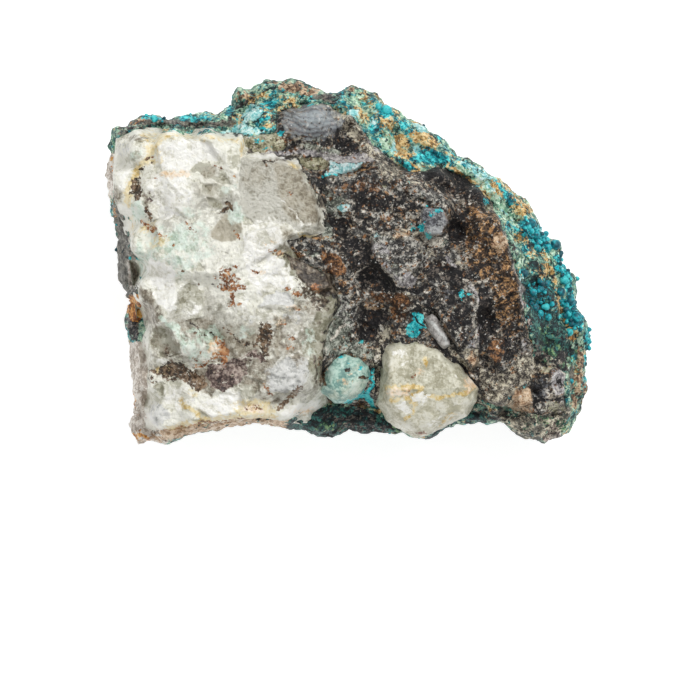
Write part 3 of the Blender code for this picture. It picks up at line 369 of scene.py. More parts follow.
        (-20.8, -6.6, 1.4, 1.0, 0, 0.6), (-24.6, 9.4, 1.6, 1.2, 0, 0.4), (-24.9, -13.6, 0.7, 0.6, 0, 0.9),
        (-7.4, -9.6, 1.4, 1.8, 0, 0.5), (-14.4, -5.4, 1.2, 2.4, 0, 0.4), (-8.6, -13.0, 1.8, 0.3, 30, 0.6),
        (0.1, 0.6, [(-9.4, 8.2), (-8.4, 7.4), (-7.6, 6.4)]), (0.08, 0.6, [(-7.2, 6.4), (-6.9, 5.6), (-6.2, 4.8)]),
        (0.25, 0.9, [(-14.4, 13.6), (-10.0, 13.9), (-7.0, 13.2)]), (0.2, 0.6, [(-27.2, 17.0), (-22.0, 16.7)]),
    ],
    "yellow": [
        (0.5, [(-27.4, 16.6), (-24.4, 16.6), (-24.6, 13.2), (-27.0, 12.4)]),
        (0.5, 0.9, [(-24.8, 16.6), (-26.0, 14.9), (-27.2, 13.2), (-28.6, 11.2), (-29.6, 9.2), (-29.4, 7.6)]),
        (0.4, 0.6, [(-27.6, 16.8), (-20.0, 16.4), (-14.4, 15.8), (-14.2, 13.8)]),
        (0.35, 0.8, [(-22.6, -18.8), (-21.2, -19.8), (-20.0, -20.8)]), (-12.8, -19.8, 2.4, 1.1, 0, 1.0),
        (0.45, 0.8, [(-24.0, -22.6), (-18.0, -21.2), (-10.0, -20.9)]), (-25.4, 2.4, 1.6, 0.9, 20, 0.5),
        (-26.6, 4.6, 1.4, 0.6, 30, 0.5), (-20.6, -17.8, 0.8, 0.6, 0, 0.5), (-7.6, 12.8, 1.0, 0.4, -20, 0.7),
        (0.3, 0.8, [(-10.0, 0.7), (-8.4, 0.6), (-6.6, 1.0)]), (0.2, 0.9, [(-6.6, 3.2), (-4.6, 3.0), (-3.4, 3.4)]),
        (-24.6, -14.8, 1.4, 0.8, 0, 0.5), (-29.0, 4.6, 0.6, 1.4, 0, 0.4),
    ],
    "peach": [
        (-23.0, 11.4, 1.9, 0.45, 4, 1.0), (-12.6, -19.8, 1.4, 0.6, 0, 0.9), (-7.4, -6.4, 1.4, 0.5, 0, 0.5),
        (-16.8, -15.2, 2.4, 1.0, 0, 0.3), (-9.4, -8.4, 1.2, 1.0, 0, 0.4), (-6.0, -20.2, 1.8, 0.5, 0, 0.5),
        (-12.0, -1.8, 0.9, 0.4, 0, 0.5), (-18.0, -12.0, 0.8, 1.0, 0, 0.8), (-10.4, 2.2, 1.2, 0.8, 0, 0.3),
    ],
    "rust": [
        (0.25, 0.75, [(-27.5, 5.0), (-26.8, 4.3), (-26.0, 4.0)]), (-26.3, 4.0, 0.6, 0.35, -20, 1.0),
        (0.18, 0.6, [(-25.5, 3.4), (-24.3, 3.1)]), (-23.2, 1.9, 0.3, 0.25, 0, 0.8),
        (0.2, 0.55, [(-21.8, 5.0), (-21.0, 3.9), (-20.3, 3.7)]), (-15.3, 11.0, 0.25, 0.3, 0, 0.8),
        (0.15, 0.5, [(-17.8, 12.4), (-16.9, 12.2)]), (-25.6, 10.7, 0.2, 0.2, 0, 0.7), (-20.0, -12.4, 0.5, 0.4, 0, 0.5),
        (-16.4, -1.8, 0.9, 0.7, 0, 0.72), (-15.9, -2.8, 1.3, 0.9, 0, 0.66), (-16.5, -3.7, 0.7, 0.5, 0, 0.9),
        (-14.8, -3.8, 0.9, 0.4, 0, 0.9), (-15.6, -4.8, 0.4, 0.6, 0, 0.9), (-15.8, -6.0, 0.5, 0.4, 0, 0.8),
        (-14.5, -6.0, 0.3, 0.3, 0, 0.7), (-15.0, -1.1, 0.4, 0.3, 0, 0.7), (-18.0, -2.4, 0.3, 0.2, 0, 0.7),
        (-16.7, -12.4, 0.55, 1.4, 15, 1.0), (-17.2, -10.9, 0.8, 0.5, -20, 0.8), (-17.9, -13.0, 0.6, 0.5, 0, 0.6),
        (-12.4, -1.6, 0.5, 0.25, 0, 0.7), (-7.0, -4.4, 0.8, 0.5, 0, 0.8), (-8.3, -3.8, 0.5, 0.3, 0, 0.8),
        (-7.2, -6.6, 0.8, 0.3, 0, 0.5), (-4.4, -3.7, 0.6, 0.7, 0, 0.8), (-8.4, -8.6, 0.6, 0.3, 0, 0.6),
        (-7.6, -10.4, 0.9, 0.3, -20, 0.6), (-8.0, -11.6, 0.6, 0.3, 0, 0.5), (0.2, 0.6, [(-15.4, 3.8), (-14.6, 2.8)]),
        (0.25, 0.7, [(-11.2, -16.6), (-10.4, -18.0)]), (-12.6, -19.7, 1.2, 0.5, 0, 0.5), (-8.0, 8.8, 0.4, 0.4, 0, 0.4),
        (0.25, 0.6, [(-20.6, -14.2), (-18.6, -13.8)]), (-9.6, 1.0, 0.9, 0.35, -15, 0.7), (-26.4, 13.6, 0.3, 0.2, 0, 0.7),
        (0.2, 0.7, [(-24.6, -22.9), (-20.0, -21.8), (-14.0, -21.3)]), (-20.4, -13.2, 0.5, 0.3, 0, 0.5),
    ],
    "brown": [
        (0.9, [(-28.9, 10.8), (-28.0, 10.9), (-27.6, 9.4), (-27.7, 8.0), (-28.5, 7.7), (-29.1, 9.2)]),
        (-26.8, 6.2, 0.4, 0.9, 20, 0.8), (-27.0, 13.6, 0.45, 0.22, 20, 1.0), (-26.3, 12.8, 0.3, 0.2, 0, 0.9),
        (-27.6, 12.0, 0.55, 0.25, 30, 0.9), (-29.2, 9.0, 0.25, 0.8, 0, 0.5), (0.3, 0.9, [(-16.9, 6.4), (-16.2, 6.7)]),
        (0.25, 0.95, [(-16.4, 7.9), (-16.0, 7.2), (-15.6, 6.8)]), (-22.1, -1.4, 0.22, 0.18, 0, 0.9),
        (-20.1, -3.1, 0.22, 0.18, 0, 0.9), (-18.4, -3.3, 0.25, 0.15, 0, 0.8),
        (0.95, [(-24.8, -13.6), (-22.4, -13.8), (-20.4, -14.8), (-19.1, -15.6), (-19.3, -16.8), (-19.9, -17.6),
                (-20.8, -17.2), (-21.6, -16.2), (-23.6, -15.6), (-25.6, -15.0)]),
        (0.35, 0.7, [(-26.6, -14.8), (-25.0, -15.2), (-23.4, -16.0)]), (0.3, 0.6, [(-24.2, -12.2), (-23.4, -13.8)]),
        (0.3, 0.6, [(-26.8, -15.6), (-25.8, -16.6)]), (-18.3, -10.0, 0.4, 0.3, 0, 1.0), (-20.5, -9.7, 0.3, 0.25, 0, 1.0),
        (-19.3, -10.2, 0.25, 0.2, 0, 0.9), (0.12, 0.5, [(-21.6, -8.2), (-20.0, -9.0), (-19.8, -10.4)]),
        (0.85, [(-11.9, -8.4), (-10.5, -8.6), (-10.0, -9.6), (-10.6, -11.0), (-10.9, -13.4), (-11.7, -13.0),
                (-11.5, -11.6), (-12.3, -11.0), (-12.1, -9.8)]),
        (0.3, 0.9, [(-6.6, -17.2), (-8.2, -18.6), (-9.6, -19.7)]), (0.12, 0.9, [(-11.5, 13.2), (-10.9, 12.5)]),
        (0.12, 0.9, [(-11.5, 13.2), (-10.2, 13.3), (-8.8, 13.2)]), (0.2, 0.5, [(-17.0, -9.0), (-15.2, -10.0)]),
        (0.3, 0.6, [(-15.0, -10.6), (-13.0, -11.4), (-12.0, -11.0)]), (-9.0, 0.6, 0.8, 0.3, -10, 0.7),
        (0.2, 0.6, [(-4.6, 9.4), (-5.4, 11.0), (-6.2, 12.2)]), (0.3, 0.7, [(-3.8, -13.0), (-3.6, -16.6)]),
        (0.35, 0.9, [(-26.8, -23.4), (-25.6, -23.1)]), (-9.6, 12.0, 0.2, 0.2, 0, 0.4),
    ],
    "mauve": [
        (1.0, [(-18.8, -14.2), (-16.6, -13.6), (-15.0, -13.0), (-13.6, -13.8), (-13.6, -15.2), (-14.6, -16.2),
               (-16.0, -17.0), (-17.2, -17.6), (-18.4, -16.8), (-19.2, -15.6)]),
        (0.4, 0.8, [(-14.0, -13.4), (-12.6, -12.4), (-11.6, -13.2)]), (-26.6, 8.2, 0.7, 0.9, 0, 0.5),
    ],
}

MATRIX_MARKS = {
    "steel": [
        (1.0, [(9.6, 6.9), (12.4, 6.5), (12.9, 5.0), (12.2, 3.4), (10.6, 3.2), (10.4, 4.4), (9.6, 5.2)]),
        (16.2, -10.6, 0.6, 1.8, 0, 0.5), (13.0, -4.6, 0.8, 1.0, 0, 0.5),
        (0.5, [(25.0, -16.0), (27.0, -15.6), (26.8, -18.8), (25.0, -19.2)]),
    ],
    "glass": [
        (1.6, 17.4, 1.2, 1.6, -40, 0.7), (-4.6, 13.0, 2.2, 0.6, 0, 0.6), (0.8, 0.8, 1.2, 0.5, -40, 0.6),
        (-2.6, 8.4, 0.8, 1.0, 0, 0.6), (-5.0, 0.8, 1.4, 0.4, -10, 0.6), (5.0, 12.0, 1.4, 0.5, -20, 0.7),
        (-1.8, 7.4, 1.6, 1.8, 0, 0.8), (0.8, [(-6.6, 15.6), (-3.6, 15.4), (-1.0, 14.6), (-2.0, 13.6), (-6.4, 14.2)]),
        (-5.0, 16.2, 1.6, 0.4, 0, 0.7), (5.6, 10.8, 1.6, 0.9, -10, 0.7), (-4.8, -1.2, 1.6, 0.4, -20, 0.5),
        (0.9, [(-0.6, -10.9), (2.6, -10.9), (4.0, -12.4), (2.6, -13.4), (-0.4, -12.2)]),
        (0.9, [(-3.6, -4.2), (-0.4, -4.8), (0.6, -7.0), (0.2, -11.0), (-1.0, -12.6), (-4.2, -13.0)]),
        (0.8, [(-3.4, 5.2), (-2.0, 4.6), (-2.2, 2.4), (-3.6, 2.8)]), (12.6, 2.2, 1.0, 0.6, 0, 0.6),
        (4.6, 2.6, 1.4, 0.9, -20, 0.8), (6.2, -1.4, 1.0, 0.8, -40, 0.7), (9.6, 8.6, 1.4, 0.4, -15, 0.7),
        (2.6, -12.0, 1.0, 0.8, 0, 0.6), (14.4, -8.0, 0.8, 2.0, 10, 0.5),
    ],
    "grey": [
        (0.7, [(3.0, 2.8), (5.6, 4.0), (8.4, 3.4), (9.6, 1.6), (12.4, 1.4), (12.4, 0.2), (10.0, -0.6),
               (8.8, -2.0), (7.0, -3.7), (5.0, -1.5), (3.3, 0.5)]),
        (0.8, [(8.2, 9.8), (12.4, 8.8), (13.5, 6.6), (12.4, 6.6), (10.4, 7.8), (8.2, 8.4)]),
        (0.5, [(12.4, -4.4), (15.4, -3.4), (17.0, -6.0), (16.6, -9.4), (17.0, -12.0), (15.6, -13.4),
               (12.6, -9.0), (11.0, -5.4)]),
        (0.6, [(-1.4, -4.6), (0.6, -4.8), (1.6, -6.4), (0.8, -8.6), (-0.8, -9.6), (-1.6, -7.0)]),
        (0.7, [(2.6, -10.8), (4.0, -10.4), (4.6, -12.0), (4.0, -13.2), (2.8, -12.6)]), (-2.6, 5.8, 1.0, 1.4, 0, 0.5),
        (0.55, [(-8.0, 2.8), (-3.4, 3.0), (-1.2, 1.6), (-3.0, 0.8), (-7.4, 1.0)]), (-4.6, -0.4, 1.6, 0.5, -10, 0.5),
        (0.6, [(24.6, -18.8), (29.0, -18.4), (29.6, -20.8), (25.0, -21.4)]), (3.6, 6.4, 2.2, 0.5, -15, 0.6),
        (0.45, [(-3.0, 10.6), (0.8, 11.6), (5.4, 11.6), (7.6, 10.4), (6.8, 7.0), (3.0, 6.6), (-2.0, 8.0)]),
        (5.0, 5.2, 1.8, 0.4, -20, 0.6), (13.8, 0.6, 1.6, 0.8, -40, 0.8), (12.4, -2.8, 1.8, 0.5, 0, 0.7),
        (19.4, 0.0, 0.8, 0.8, 0, 0.3), (0.4, 0.8, [(16.0, -3.4), (17.1, -5.6)]), (8.6, -4.4, 1.4, 0.5, 0, 0.6),
        (0.3, 0.9, [(17.0, -6.0), (16.7, -8.0), (17.0, -11.8)]), (0.4, 0.7, [(21.2, 2.4), (22.8, -3.0), (23.4, -7.0)]),
        (-11.6, 15.6, 1.4, 0.6, 0, 0.3), (9.0, -5.4, 1.0, 0.6, 0, 0.4), (0.6, -2.8, 0.8, 1.6, 20, 0.4),
    ],
    "beige": [
        (5.2, 11.4, 1.6, 0.7, -15, 0.9), (24.2, -14.4, 1.2, 1.6, 0, 0.8), (23.4, -18.4, 1.2, 0.8, 0, 0.7),
        (0.65, 1.0, [(3.9, -10.8), (4.0, -15.0), (3.9, -19.8)]), (0.6, 0.9, [(4.8, -20.4), (6.6, -22.4)]),
        (0.8, [(12.6, -11.6), (14.0, -11.6), (16.2, -14.0), (15.6, -14.6), (13.8, -13.4)]),
        (8.8, -4.9, 1.6, 0.5, -10, 0.8), (1.8, 1.0, 1.6, 0.4, -40, 0.6), (5.4, 3.2, 1.8, 0.5, -10, 0.6),
        (5.8, 12.2, 1.8, 0.6, -10, 0.8), (9.4, 10.4, 1.6, 0.5, -20, 0.7), (7.6, -9.4, 0.8, 0.6, 0, 0.8),
        (0.8, [(17.4, -14.4), (20.0, -15.4), (22.4, -13.0), (24.6, -12.4), (25.0, -14.0), (24.6, -16.0),
               (22.4, -17.2), (22.6, -19.2), (20.0, -19.0), (17.6, -18.8), (17.2, -17.0)]),
        (0.8, [(14.4, -12.2), (17.2, -11.8), (17.4, -13.4), (16.2, -14.9)]), (7.4, 3.4, 1.8, 0.7, 5, 0.8),
        (0.9, [(22.2, -17.3), (24.4, -17.1), (24.6, -19.0), (22.8, -19.7)]), (23.4, -13.4, 1.0, 0.7, 0, 0.8),
        (5.0, -9.7, 0.8, 0.9, 0, 0.9), (10.9, 0.9, 1.6, 0.5, -10, 0.6), (-0.6, -14.6, 0.5, 0.5, 0, 0.4),
        (0.35, 1.0, [(17.4, -19.3), (20.4, -18.9), (22.0, -19.6)]), (4.0, -16.4, 0.5, 3.4, 0, 0.9),
        (1.0, [(-2.4, 20.9), (-0.4, 20.1), (1.4, 17.7), (3.2, 15.1), (5.2, 13.3), (2.6, 13.1), (1.4, 15.0),
               (-0.4, 17.0), (-2.2, 18.6)]),
        (-8.6, 17.4, 0.5, 1.4, -30, 0.6), (-5.2, 20.9, 2.6, 0.5, 0, 0.6), (14.6, -0.6, 0.7, 0.4, -40, 0.7),
    ],
    "black": [
        # The first row, and the field that starts at (8.0, 12.2), are painted shadow in the recess under the crust's
        # teal ledge.
        (0.7, 1.0, [(9.6, 11.7), (12.4, 11.3), (14.8, 10.2)]), (13.6, 9.9, 1.6, 0.9, -30, 0.8),
        (0.55, [(12.6, -3.4), (15.4, -3.2), (16.4, -5.4), (15.6, -9.6), (14.8, -11.8), (12.6, -8.6), (11.6, -5.6)]),
        (0.85, [(10.4, -1.2), (13.0, -0.6), (17.4, -1.0), (17.6, -3.0), (15.6, -3.0), (13.0, -3.2), (10.4, -2.4)]),
        (0.8, [(0.4, 9.0), (3.0, 9.4), (6.6, 8.4), (6.8, 6.4), (4.0, 6.4), (0.6, 7.0)]), (15.0, -9.6, 1.4, 1.6, 0, 0.5),
        (0.85, [(13.8, -6.6), (16.4, -6.2), (16.6, -8.2), (15.0, -9.4), (13.6, -8.0)]),
        (0.9, [(-0.4, 3.4), (1.2, 2.6), (2.8, 0.6), (4.3, -1.0), (5.8, -2.8), (6.4, -4.3), (4.6, -4.4),
               (1.6, -3.6), (0.6, -1.6), (0.4, 0.2), (-0.8, 1.8)]),
        (0.9, [(-2.6, 5.4), (-0.6, 5.7), (0.6, 4.0), (-0.8, 2.8), (-2.2, 3.6)]),
        (1.0, [(1.4, -6.8), (5.2, -6.5), (5.5, -8.0), (3.0, -8.7), (1.2, -8.4)]),
        (1.0, [(1.2, -9.0), (3.6, -9.0), (3.8, -10.6), (1.8, -11.2), (0.9, -10.0)]),
        # Painted shadow in the recess under the crust's teal ledge.
        (0.9, [(8.0, 12.2), (12.8, 12.2), (15.0, 11.4), (17.4, 9.8), (19.0, 7.6), (18.2, 6.6), (16.4, 8.0),
               (14.6, 8.4), (12.6, 9.8), (9.4, 10.8)]),
        (1.0, [(13.5, 6.4), (14.6, 7.4), (15.6, 5.6), (15.4, 2.6), (14.0, 1.8), (13.0, 2.8), (13.4, 4.4)]),
        (1.0, [(17.2, -4.0), (18.6, -3.4), (19.4, -6.0), (19.8, -9.0), (18.2, -10.8), (17.2, -11.8), (17.2, -8.0)]),
        (0.9, [(-1.8, 16.7), (0.0, 16.5), (1.4, 14.4), (2.2, 13.4), (-1.0, 14.2), (-2.2, 15.2)]),
        (0.6, [(-8.6, 16.6), (-5.0, 16.2), (-2.6, 16.6), (-3.2, 15.8), (-7.0, 15.6)]),
        (0.6, [(15.4, -3.0), (12.6, -3.6), (10.2, -4.6), (9.8, -7.2), (11.2, -7.6), (12.0, -5.0)]),
        (0.8, [(25.0, -16.4), (26.9, -16.0), (26.8, -18.4), (25.0, -18.7)]), (25.9, -12.8, 1.2, 1.2, 0, 1.0),
        (0.25, 1.0, [(12.4, -11.8), (14.0, -13.7), (16.4, -16.4), (17.6, -17.6)]), (8.8, 7.4, 0.8, 1.4, 0, 0.6),
        (0.25, 1.0, [(6.8, -3.9), (9.4, -4.0), (10.6, -3.4)]), (0.12, 0.7, [(4.6, -11.4), (4.4, -15.0), (4.2, -19.6)]),
        (21.2, -11.4, 0.9, 2.4, 5, 0.8), (-4.0, 12.3, 0.6, 0.4, -30, 0.9), (21.4, 4.0, 0.6, 1.0, 30, 0.9),
        (0.3, 1.0, [(-3.4, -12.8), (-3.5, -15.4)]), (14.4, -1.9, 1.2, 0.4, 0, 0.8), (7.2, 6.8, 0.8, 1.2, 0, 0.7),
        (19.0, -1.0, 1.2, 1.2, 0, 0.5), (16.4, 4.0, 1.0, 2.0, 0, 0.5), (9.4, 5.2, 0.7, 0.8, 0, 0.4),
        (0.8, [(-9.6, 18.8), (-8.6, 17.6), (-9.6, 16.9), (-10.4, 17.8)]), (26.2, -9.0, 1.0, 0.9, 0, 1.0),
    ],
    "brown": [
        (0.85, [(0.0, 10.4), (2.8, 10.6), (4.2, 9.4), (4.4, 7.0), (2.6, 6.4), (0.8, 8.0)]),
        (1.0, [(-3.8, 1.3), (-2.0, 0.9), (-0.8, -0.2), (-0.2, -1.7), (-1.6, -2.4), (-2.6, -1.2), (-3.8, 0.2)]),
        (0.8, [(0.2, 10.4), (3.6, 10.6), (4.6, 8.8), (3.0, 7.6), (1.0, 8.0)]), (12.8, -1.0, 1.5, 0.7, 0, 0.9),
        (1.0, [(6.2, -4.3), (7.8, -4.8), (8.1, -7.0), (7.0, -8.3), (5.8, -8.0), (5.6, -6.0)]),
        (0.8, [(2.6, -4.4), (6.0, -4.3), (6.2, -5.7), (3.4, -5.7)]), (5.4, 5.6, 0.9, 0.5, 0, 0.7),
        (0.9, [(18.5, -10.8), (20.6, -10.4), (21.0, -12.4), (19.6, -13.8), (18.3, -12.4)]),
        (4.8, -7.6, 1.4, 0.5, 0, 0.8), (24.2, -8.2, 0.6, 1.0, 0, 0.9), (-1.0, 9.4, 1.2, 0.6, 0, 0.5),
        (6.0, 10.6, 1.6, 0.8, 0, 0.5), (10.2, -0.2, 1.4, 0.8, 0, 0.6), (-6.4, 0.6, 1.6, 0.4, -15, 0.7),
        (23.0, -18.6, 0.4, 0.5, 0, 0.9), (22.6, -17.9, 0.4, 0.4, 0, 0.7),
    ],
    "tan": [
        (19.8, -0.2, 1.4, 0.9, 0, 0.7), (5.2, 10.6, 1.4, 0.5, -10, 0.7), (2.2, 0.6, 1.2, 0.5, -40, 0.7),
        (-4.6, 1.9, 1.4, 0.4, -5, 0.7),
        (0.75, [(15.8, 7.6), (18.4, 6.6), (19.6, 6.0), (21.0, 2.4), (22.4, -2.4), (23.0, -6.6), (21.4, -9.4),
                (19.6, -7.4), (18.6, -3.0), (16.4, -2.0), (15.4, 0.0), (15.6, 4.0)]),
        (1.0, [(18.8, 3.4), (20.4, 3.2), (21.1, 1.6), (20.0, 1.1), (18.8, 1.8)]), (21.3, -9.7, 0.9, 0.6, 0, 1.0),
        (0.5, 0.9, [(20.4, 2.4), (21.2, -0.6), (21.8, -4.0), (22.2, -6.6)]), (14.4, 9.9, 0.9, 0.6, 0, 0.6),
        (-7.0, 1.6, 1.0, 0.5, 0, 0.5), (1.6, 12.0, 1.8, 0.5, 0, 0.6), (5.2, 8.8, 0.5, 0.4, 0, 0.7),
        (-2.8, 15.0, 0.6, 0.5, 0, 0.6), (24.6, -15.2, 1.8, 1.0, 0, 0.4), (6.2, 11.8, 1.2, 0.5, -20, 0.5),
        (3.6, -6.3, 1.0, 0.3, 0, 0.8), (-4.6, 3.0, 1.6, 0.2, 0, 0.9), (-8.6, 0.6, 1.0, 0.25, -10, 0.8),
    ],
    "olive": [
        (1.0, [(-14.4, 16.6), (-10.2, 17.1), (-8.8, 16.6), (-8.4, 15.3), (-9.4, 14.5), (-12.0, 14.1),
               (-15.0, 13.8)]),
        (1.0, [(-7.2, 13.7), (-4.0, 13.8), (-2.9, 13.2), (-3.0, 12.3), (-4.4, 11.9), (-6.0, 12.4)]),
        (27.9, -13.6, 0.7, 0.6, 0, 0.8), (26.4, -14.6, 1.0, 0.5, 0, 0.6), (27.4, -19.8, 1.6, 0.9, 0, 0.6),
        (18.6, 7.4, 0.5, 0.6, 0, 0.7), (4.4, 9.9, 0.8, 0.5, 0, 0.3), (12.4, 11.4, 1.0, 0.3, 0, 0.5),
    ],
    "lilac": [
        (0.35, 1.0, [(-15.0, 13.7), (-10.0, 14.1), (-7.0, 14.5), (-4.4, 14.3), (-2.0, 13.9)]),
        (1.0, [(-4.4, 14.6), (-2.4, 14.2), (0.0, 13.9), (3.6, 13.3), (2.4, 13.0), (-1.4, 13.0), (-3.4, 13.4)]),
        (1.0, [(9.8, 7.0), (12.4, 6.6), (13.1, 5.0), (12.2, 3.3), (10.2, 3.3), (9.6, 5.0)]),
        (0.9, [(7.0, -2.0), (8.2, -1.5), (9.1, -2.6), (8.4, -3.7), (7.2, -3.4)]), (4.2, 1.4, 1.4, 0.7, -20, 0.7),
        (0.3, 0.9, [(4.6, -0.6), (6.2, -2.4), (7.0, -3.5)]), (13.6, -0.2, 0.9, 0.3, -45, 0.9),
        (0.9, [(27.4, -14.7), (28.7, -14.6), (29.5, -16.0), (29.2, -17.7), (28.0, -18.1), (26.9, -17.0)]),
        (0.3, 0.8, [(17.2, -8.8), (17.0, -10.4), (16.6, -11.6)]), (3.4, 15.2, 0.4, 1.6, 40, 0.6),
        (0.25, 0.7, [(16.2, -3.3), (17.2, -5.4)]), (23.3, -5.8, 0.4, 2.4, 5, 0.6), (23.4, -11.4, 0.5, 1.0, 0, 0.6),
        (1.6, 13.6, 1.2, 0.7, -15, 0.8),
    ],
    "white": [
        (-3.6, -12.6, 0.5, 0.7, 0, 0.7), (0.2, 7.6, 0.9, 0.3, -20, 0.5),
        (8.2, -6.4, 1.2, 0.25, 20, 0.6), (10.9, -8.0, 0.7, 0.3, 0, 0.7), (0.4, -2.0, 0.8, 0.3, 30, 0.5),
        (-1.8, -6.0, 1.4, 0.3, 50, 0.6), (-1.4, -9.4, 1.6, 0.3, 50, 0.7), (1.8, -11.4, 1.0, 0.3, 20, 0.6),
        (4.0, 3.9, 1.6, 0.25, -10, 0.6), (1.0, 5.2, 1.2, 0.3, -30, 0.7), (3.8, -13.2, 0.3, 0.8, 0, 0.6),
        (1.0, [(9.4, 2.3), (10.4, 2.6), (11.8, 3.0), (12.9, 3.0), (12.0, 2.0), (11.0, 1.7), (9.8, 1.9)]),
        (7.6, 1.4, 0.4, 0.3, 0, 0.6), (15.6, -2.8, 0.5, 0.3, 0, 0.7), (17.8, -2.6, 0.8, 0.3, 20, 0.6),
        (0.25, 0.8, [(9.6, 2.0), (11.6, 2.5), (13.0, 3.0)]), (0.2, 0.7, [(17.0, -6.0), (16.7, -8.0), (17.0, -11.8)]),
        (0.15, 0.6, [(4.0, -0.6), (5.6, -2.2), (6.8, -3.6)]), (12.0, -13.0, 0.4, 0.2, -40, 0.6),
        (28.7, -14.8, 0.9, 0.2, -30, 0.8), (29.4, -16.4, 0.2, 1.0, 0, 0.8), (27.2, -17.8, 0.8, 0.2, 30, 0.7),
        (5.4, 7.4, 0.8, 0.3, -10, 0.4), (2.2, 5.0, 0.9, 0.3, -20, 0.5), (14.8, 8.6, 0.5, 0.2, 0, 0.4),
    ],
    "sheet": [
        (0.95, [(-2.9, 13.1), (-1.4, 12.9), (2.3, 13.0), (1.4, 12.4), (0.7, 12.0), (-0.6, 11.5), (-2.2, 11.3),
                (-3.2, 11.5), (-2.5, 12.1)]),
        (0.95, [(-1.7, 7.1), (-0.9, 7.5), (0.1, 7.1), (-0.2, 6.5), (-1.2, 6.5)]), (23.2, -2.5, 0.5, 0.4, 0, 0.8),
        (3.6, 3.4, 0.5, 0.4, 0, 0.6),
    ],
    "block": [
        (1.0, [(22.2, -17.3), (24.4, -17.0), (24.6, -19.0), (22.8, -19.8), (21.8, -18.6)]), (3.6, -11.9, 0.6, 0.6, 0, 0.5),
        (20.0, 2.3, 1.2, 1.0, 0, 0.9), (22.8, -19.6, 1.6, 0.9, 0, 0.8), (16.4, -13.2, 0.7, 0.8, 0, 0.8), (7.2, 3.4, 1.4, 0.6, 5, 0.6),
        (3.2, -6.4, 0.9, 0.25, 0, 0.8),
    ],
    "crack": [
        # The first, wide row is painted shadow in the recess under the crust's teal ledge.
        (0.6, 0.95, [(9.8, 12.0), (12.6, 11.9), (15.2, 10.9), (17.2, 9.2)]),
        (0.12, 1.0, [(8.7, -7.7), (9.4, -8.5), (10.1, -8.9)]), (0.1, 0.9, [(8.4, -9.6), (8.7, -9.9)]),
        (0.1, 0.9, [(4.4, -11.4), (4.2, -15.0), (4.1, -19.6)]), (0.2, 1.0, [(12.6, -11.6), (15.0, -14.2), (17.2, -17.0)]),
        (0.08, 0.9, [(3.3, -12.4), (3.5, -15.4), (3.4, -18.8)]),
        (0.15, 0.9, [(10.2, -8.0), (11.4, -10.4), (12.8, -12.4)]), (0.2, 0.9, [(0.0, 2.4), (2.6, 0.4), (4.8, -2.0), (6.6, -3.9)]),
        (0.2, 0.9, [(6.8, -3.9), (9.4, -4.2), (11.0, -3.2)]), (0.2, 0.8, [(25.0, -16.4), (24.8, -19.6), (26.0, -21.0)]),
        (0.15, 0.8, [(25.0, -18.8), (29.6, -18.6)]), (0.15, 0.8, [(17.3, -4.0), (17.4, -8.6), (17.5, -12.0)]),
        (0.2, 0.8, [(13.4, 7.2), (14.8, 5.2), (14.2, 2.4)]), (28.2, -16.2, 0.5, 0.8, 0, 0.8), (0.2, 0.8, [(-3.7, 10.8), (-3.4, 4.6)]),
    ],
    "teal": [
        (1.0, [(8.4, -7.0), (9.9, -7.2), (10.0, -8.4), (10.4, -9.2), (9.3, -9.2), (9.4, -10.0), (8.5, -10.5),
               (7.5, -9.9), (7.8, -8.9), (8.4, -8.2)]),
        (15.0, -4.6, 0.45, 0.6, 0, 1.0), (16.0, -4.6, 0.3, 0.15, 0, 0.8), (9.7, 4.2, 0.4, 0.45, 0, 1.0),
        (10.5, 3.3, 0.4, 0.45, 0, 1.0), (11.8, 6.5, 0.6, 0.25, 10, 0.9), (10.9, 6.1, 0.35, 0.25, 0, 0.9),
        (10.2, 7.2, 0.3, 0.2, 0, 0.6), (10.1, 5.0, 0.2, 0.2, 0, 0.7), (8.6, 4.4, 0.4, 0.5, 0, 0.5),
        (1.6, -10.9, 0.35, 0.3, 0, 0.7), (-8.3, 1.6, 0.5, 0.4, 0, 0.6), (8.0, 10.3, 0.12, 0.4, 30, 0.8),
        (0.2, 0.8, [(3.2, -14.6), (3.1, -16.6)]), (0.3, 1.0, [(3.0, -16.8), (2.4, -17.8), (1.2, -18.4), (-0.2, -19.0)]),
        (1.0, [(2.0, -18.3), (2.9, -17.3), (2.9, -18.4), (3.6, -19.6), (3.5, -20.3), (2.8, -19.4)]),
        (0.15, 0.8, [(-3.6, 11.0), (-2.8, 11.5), (-1.6, 11.3)]), (-13.0, 16.6, 1.0, 0.3, 0, 0.4),
        (-12.0, 15.9, 0.8, 0.3, 0, 0.5), (-11.0, 14.9, 0.9, 0.2, 0, 0.4), (-8.9, 17.0, 0.6, 0.3, 0, 0.6),
        (17.2, 9.9, 0.7, 0.4, -40, 0.7), (18.4, 8.0, 0.4, 0.6, 0, 0.6), (21.4, -18.3, 0.4, 0.2, 0, 0.5),
        (23.4, -16.9, 0.3, 0.2, 0, 0.5), (-8.8, 12.0, 0.2, 0.2, 0, 0.3), (-0.4, -11.0, 0.4, 0.6, 0, 0.3),
    ],
}

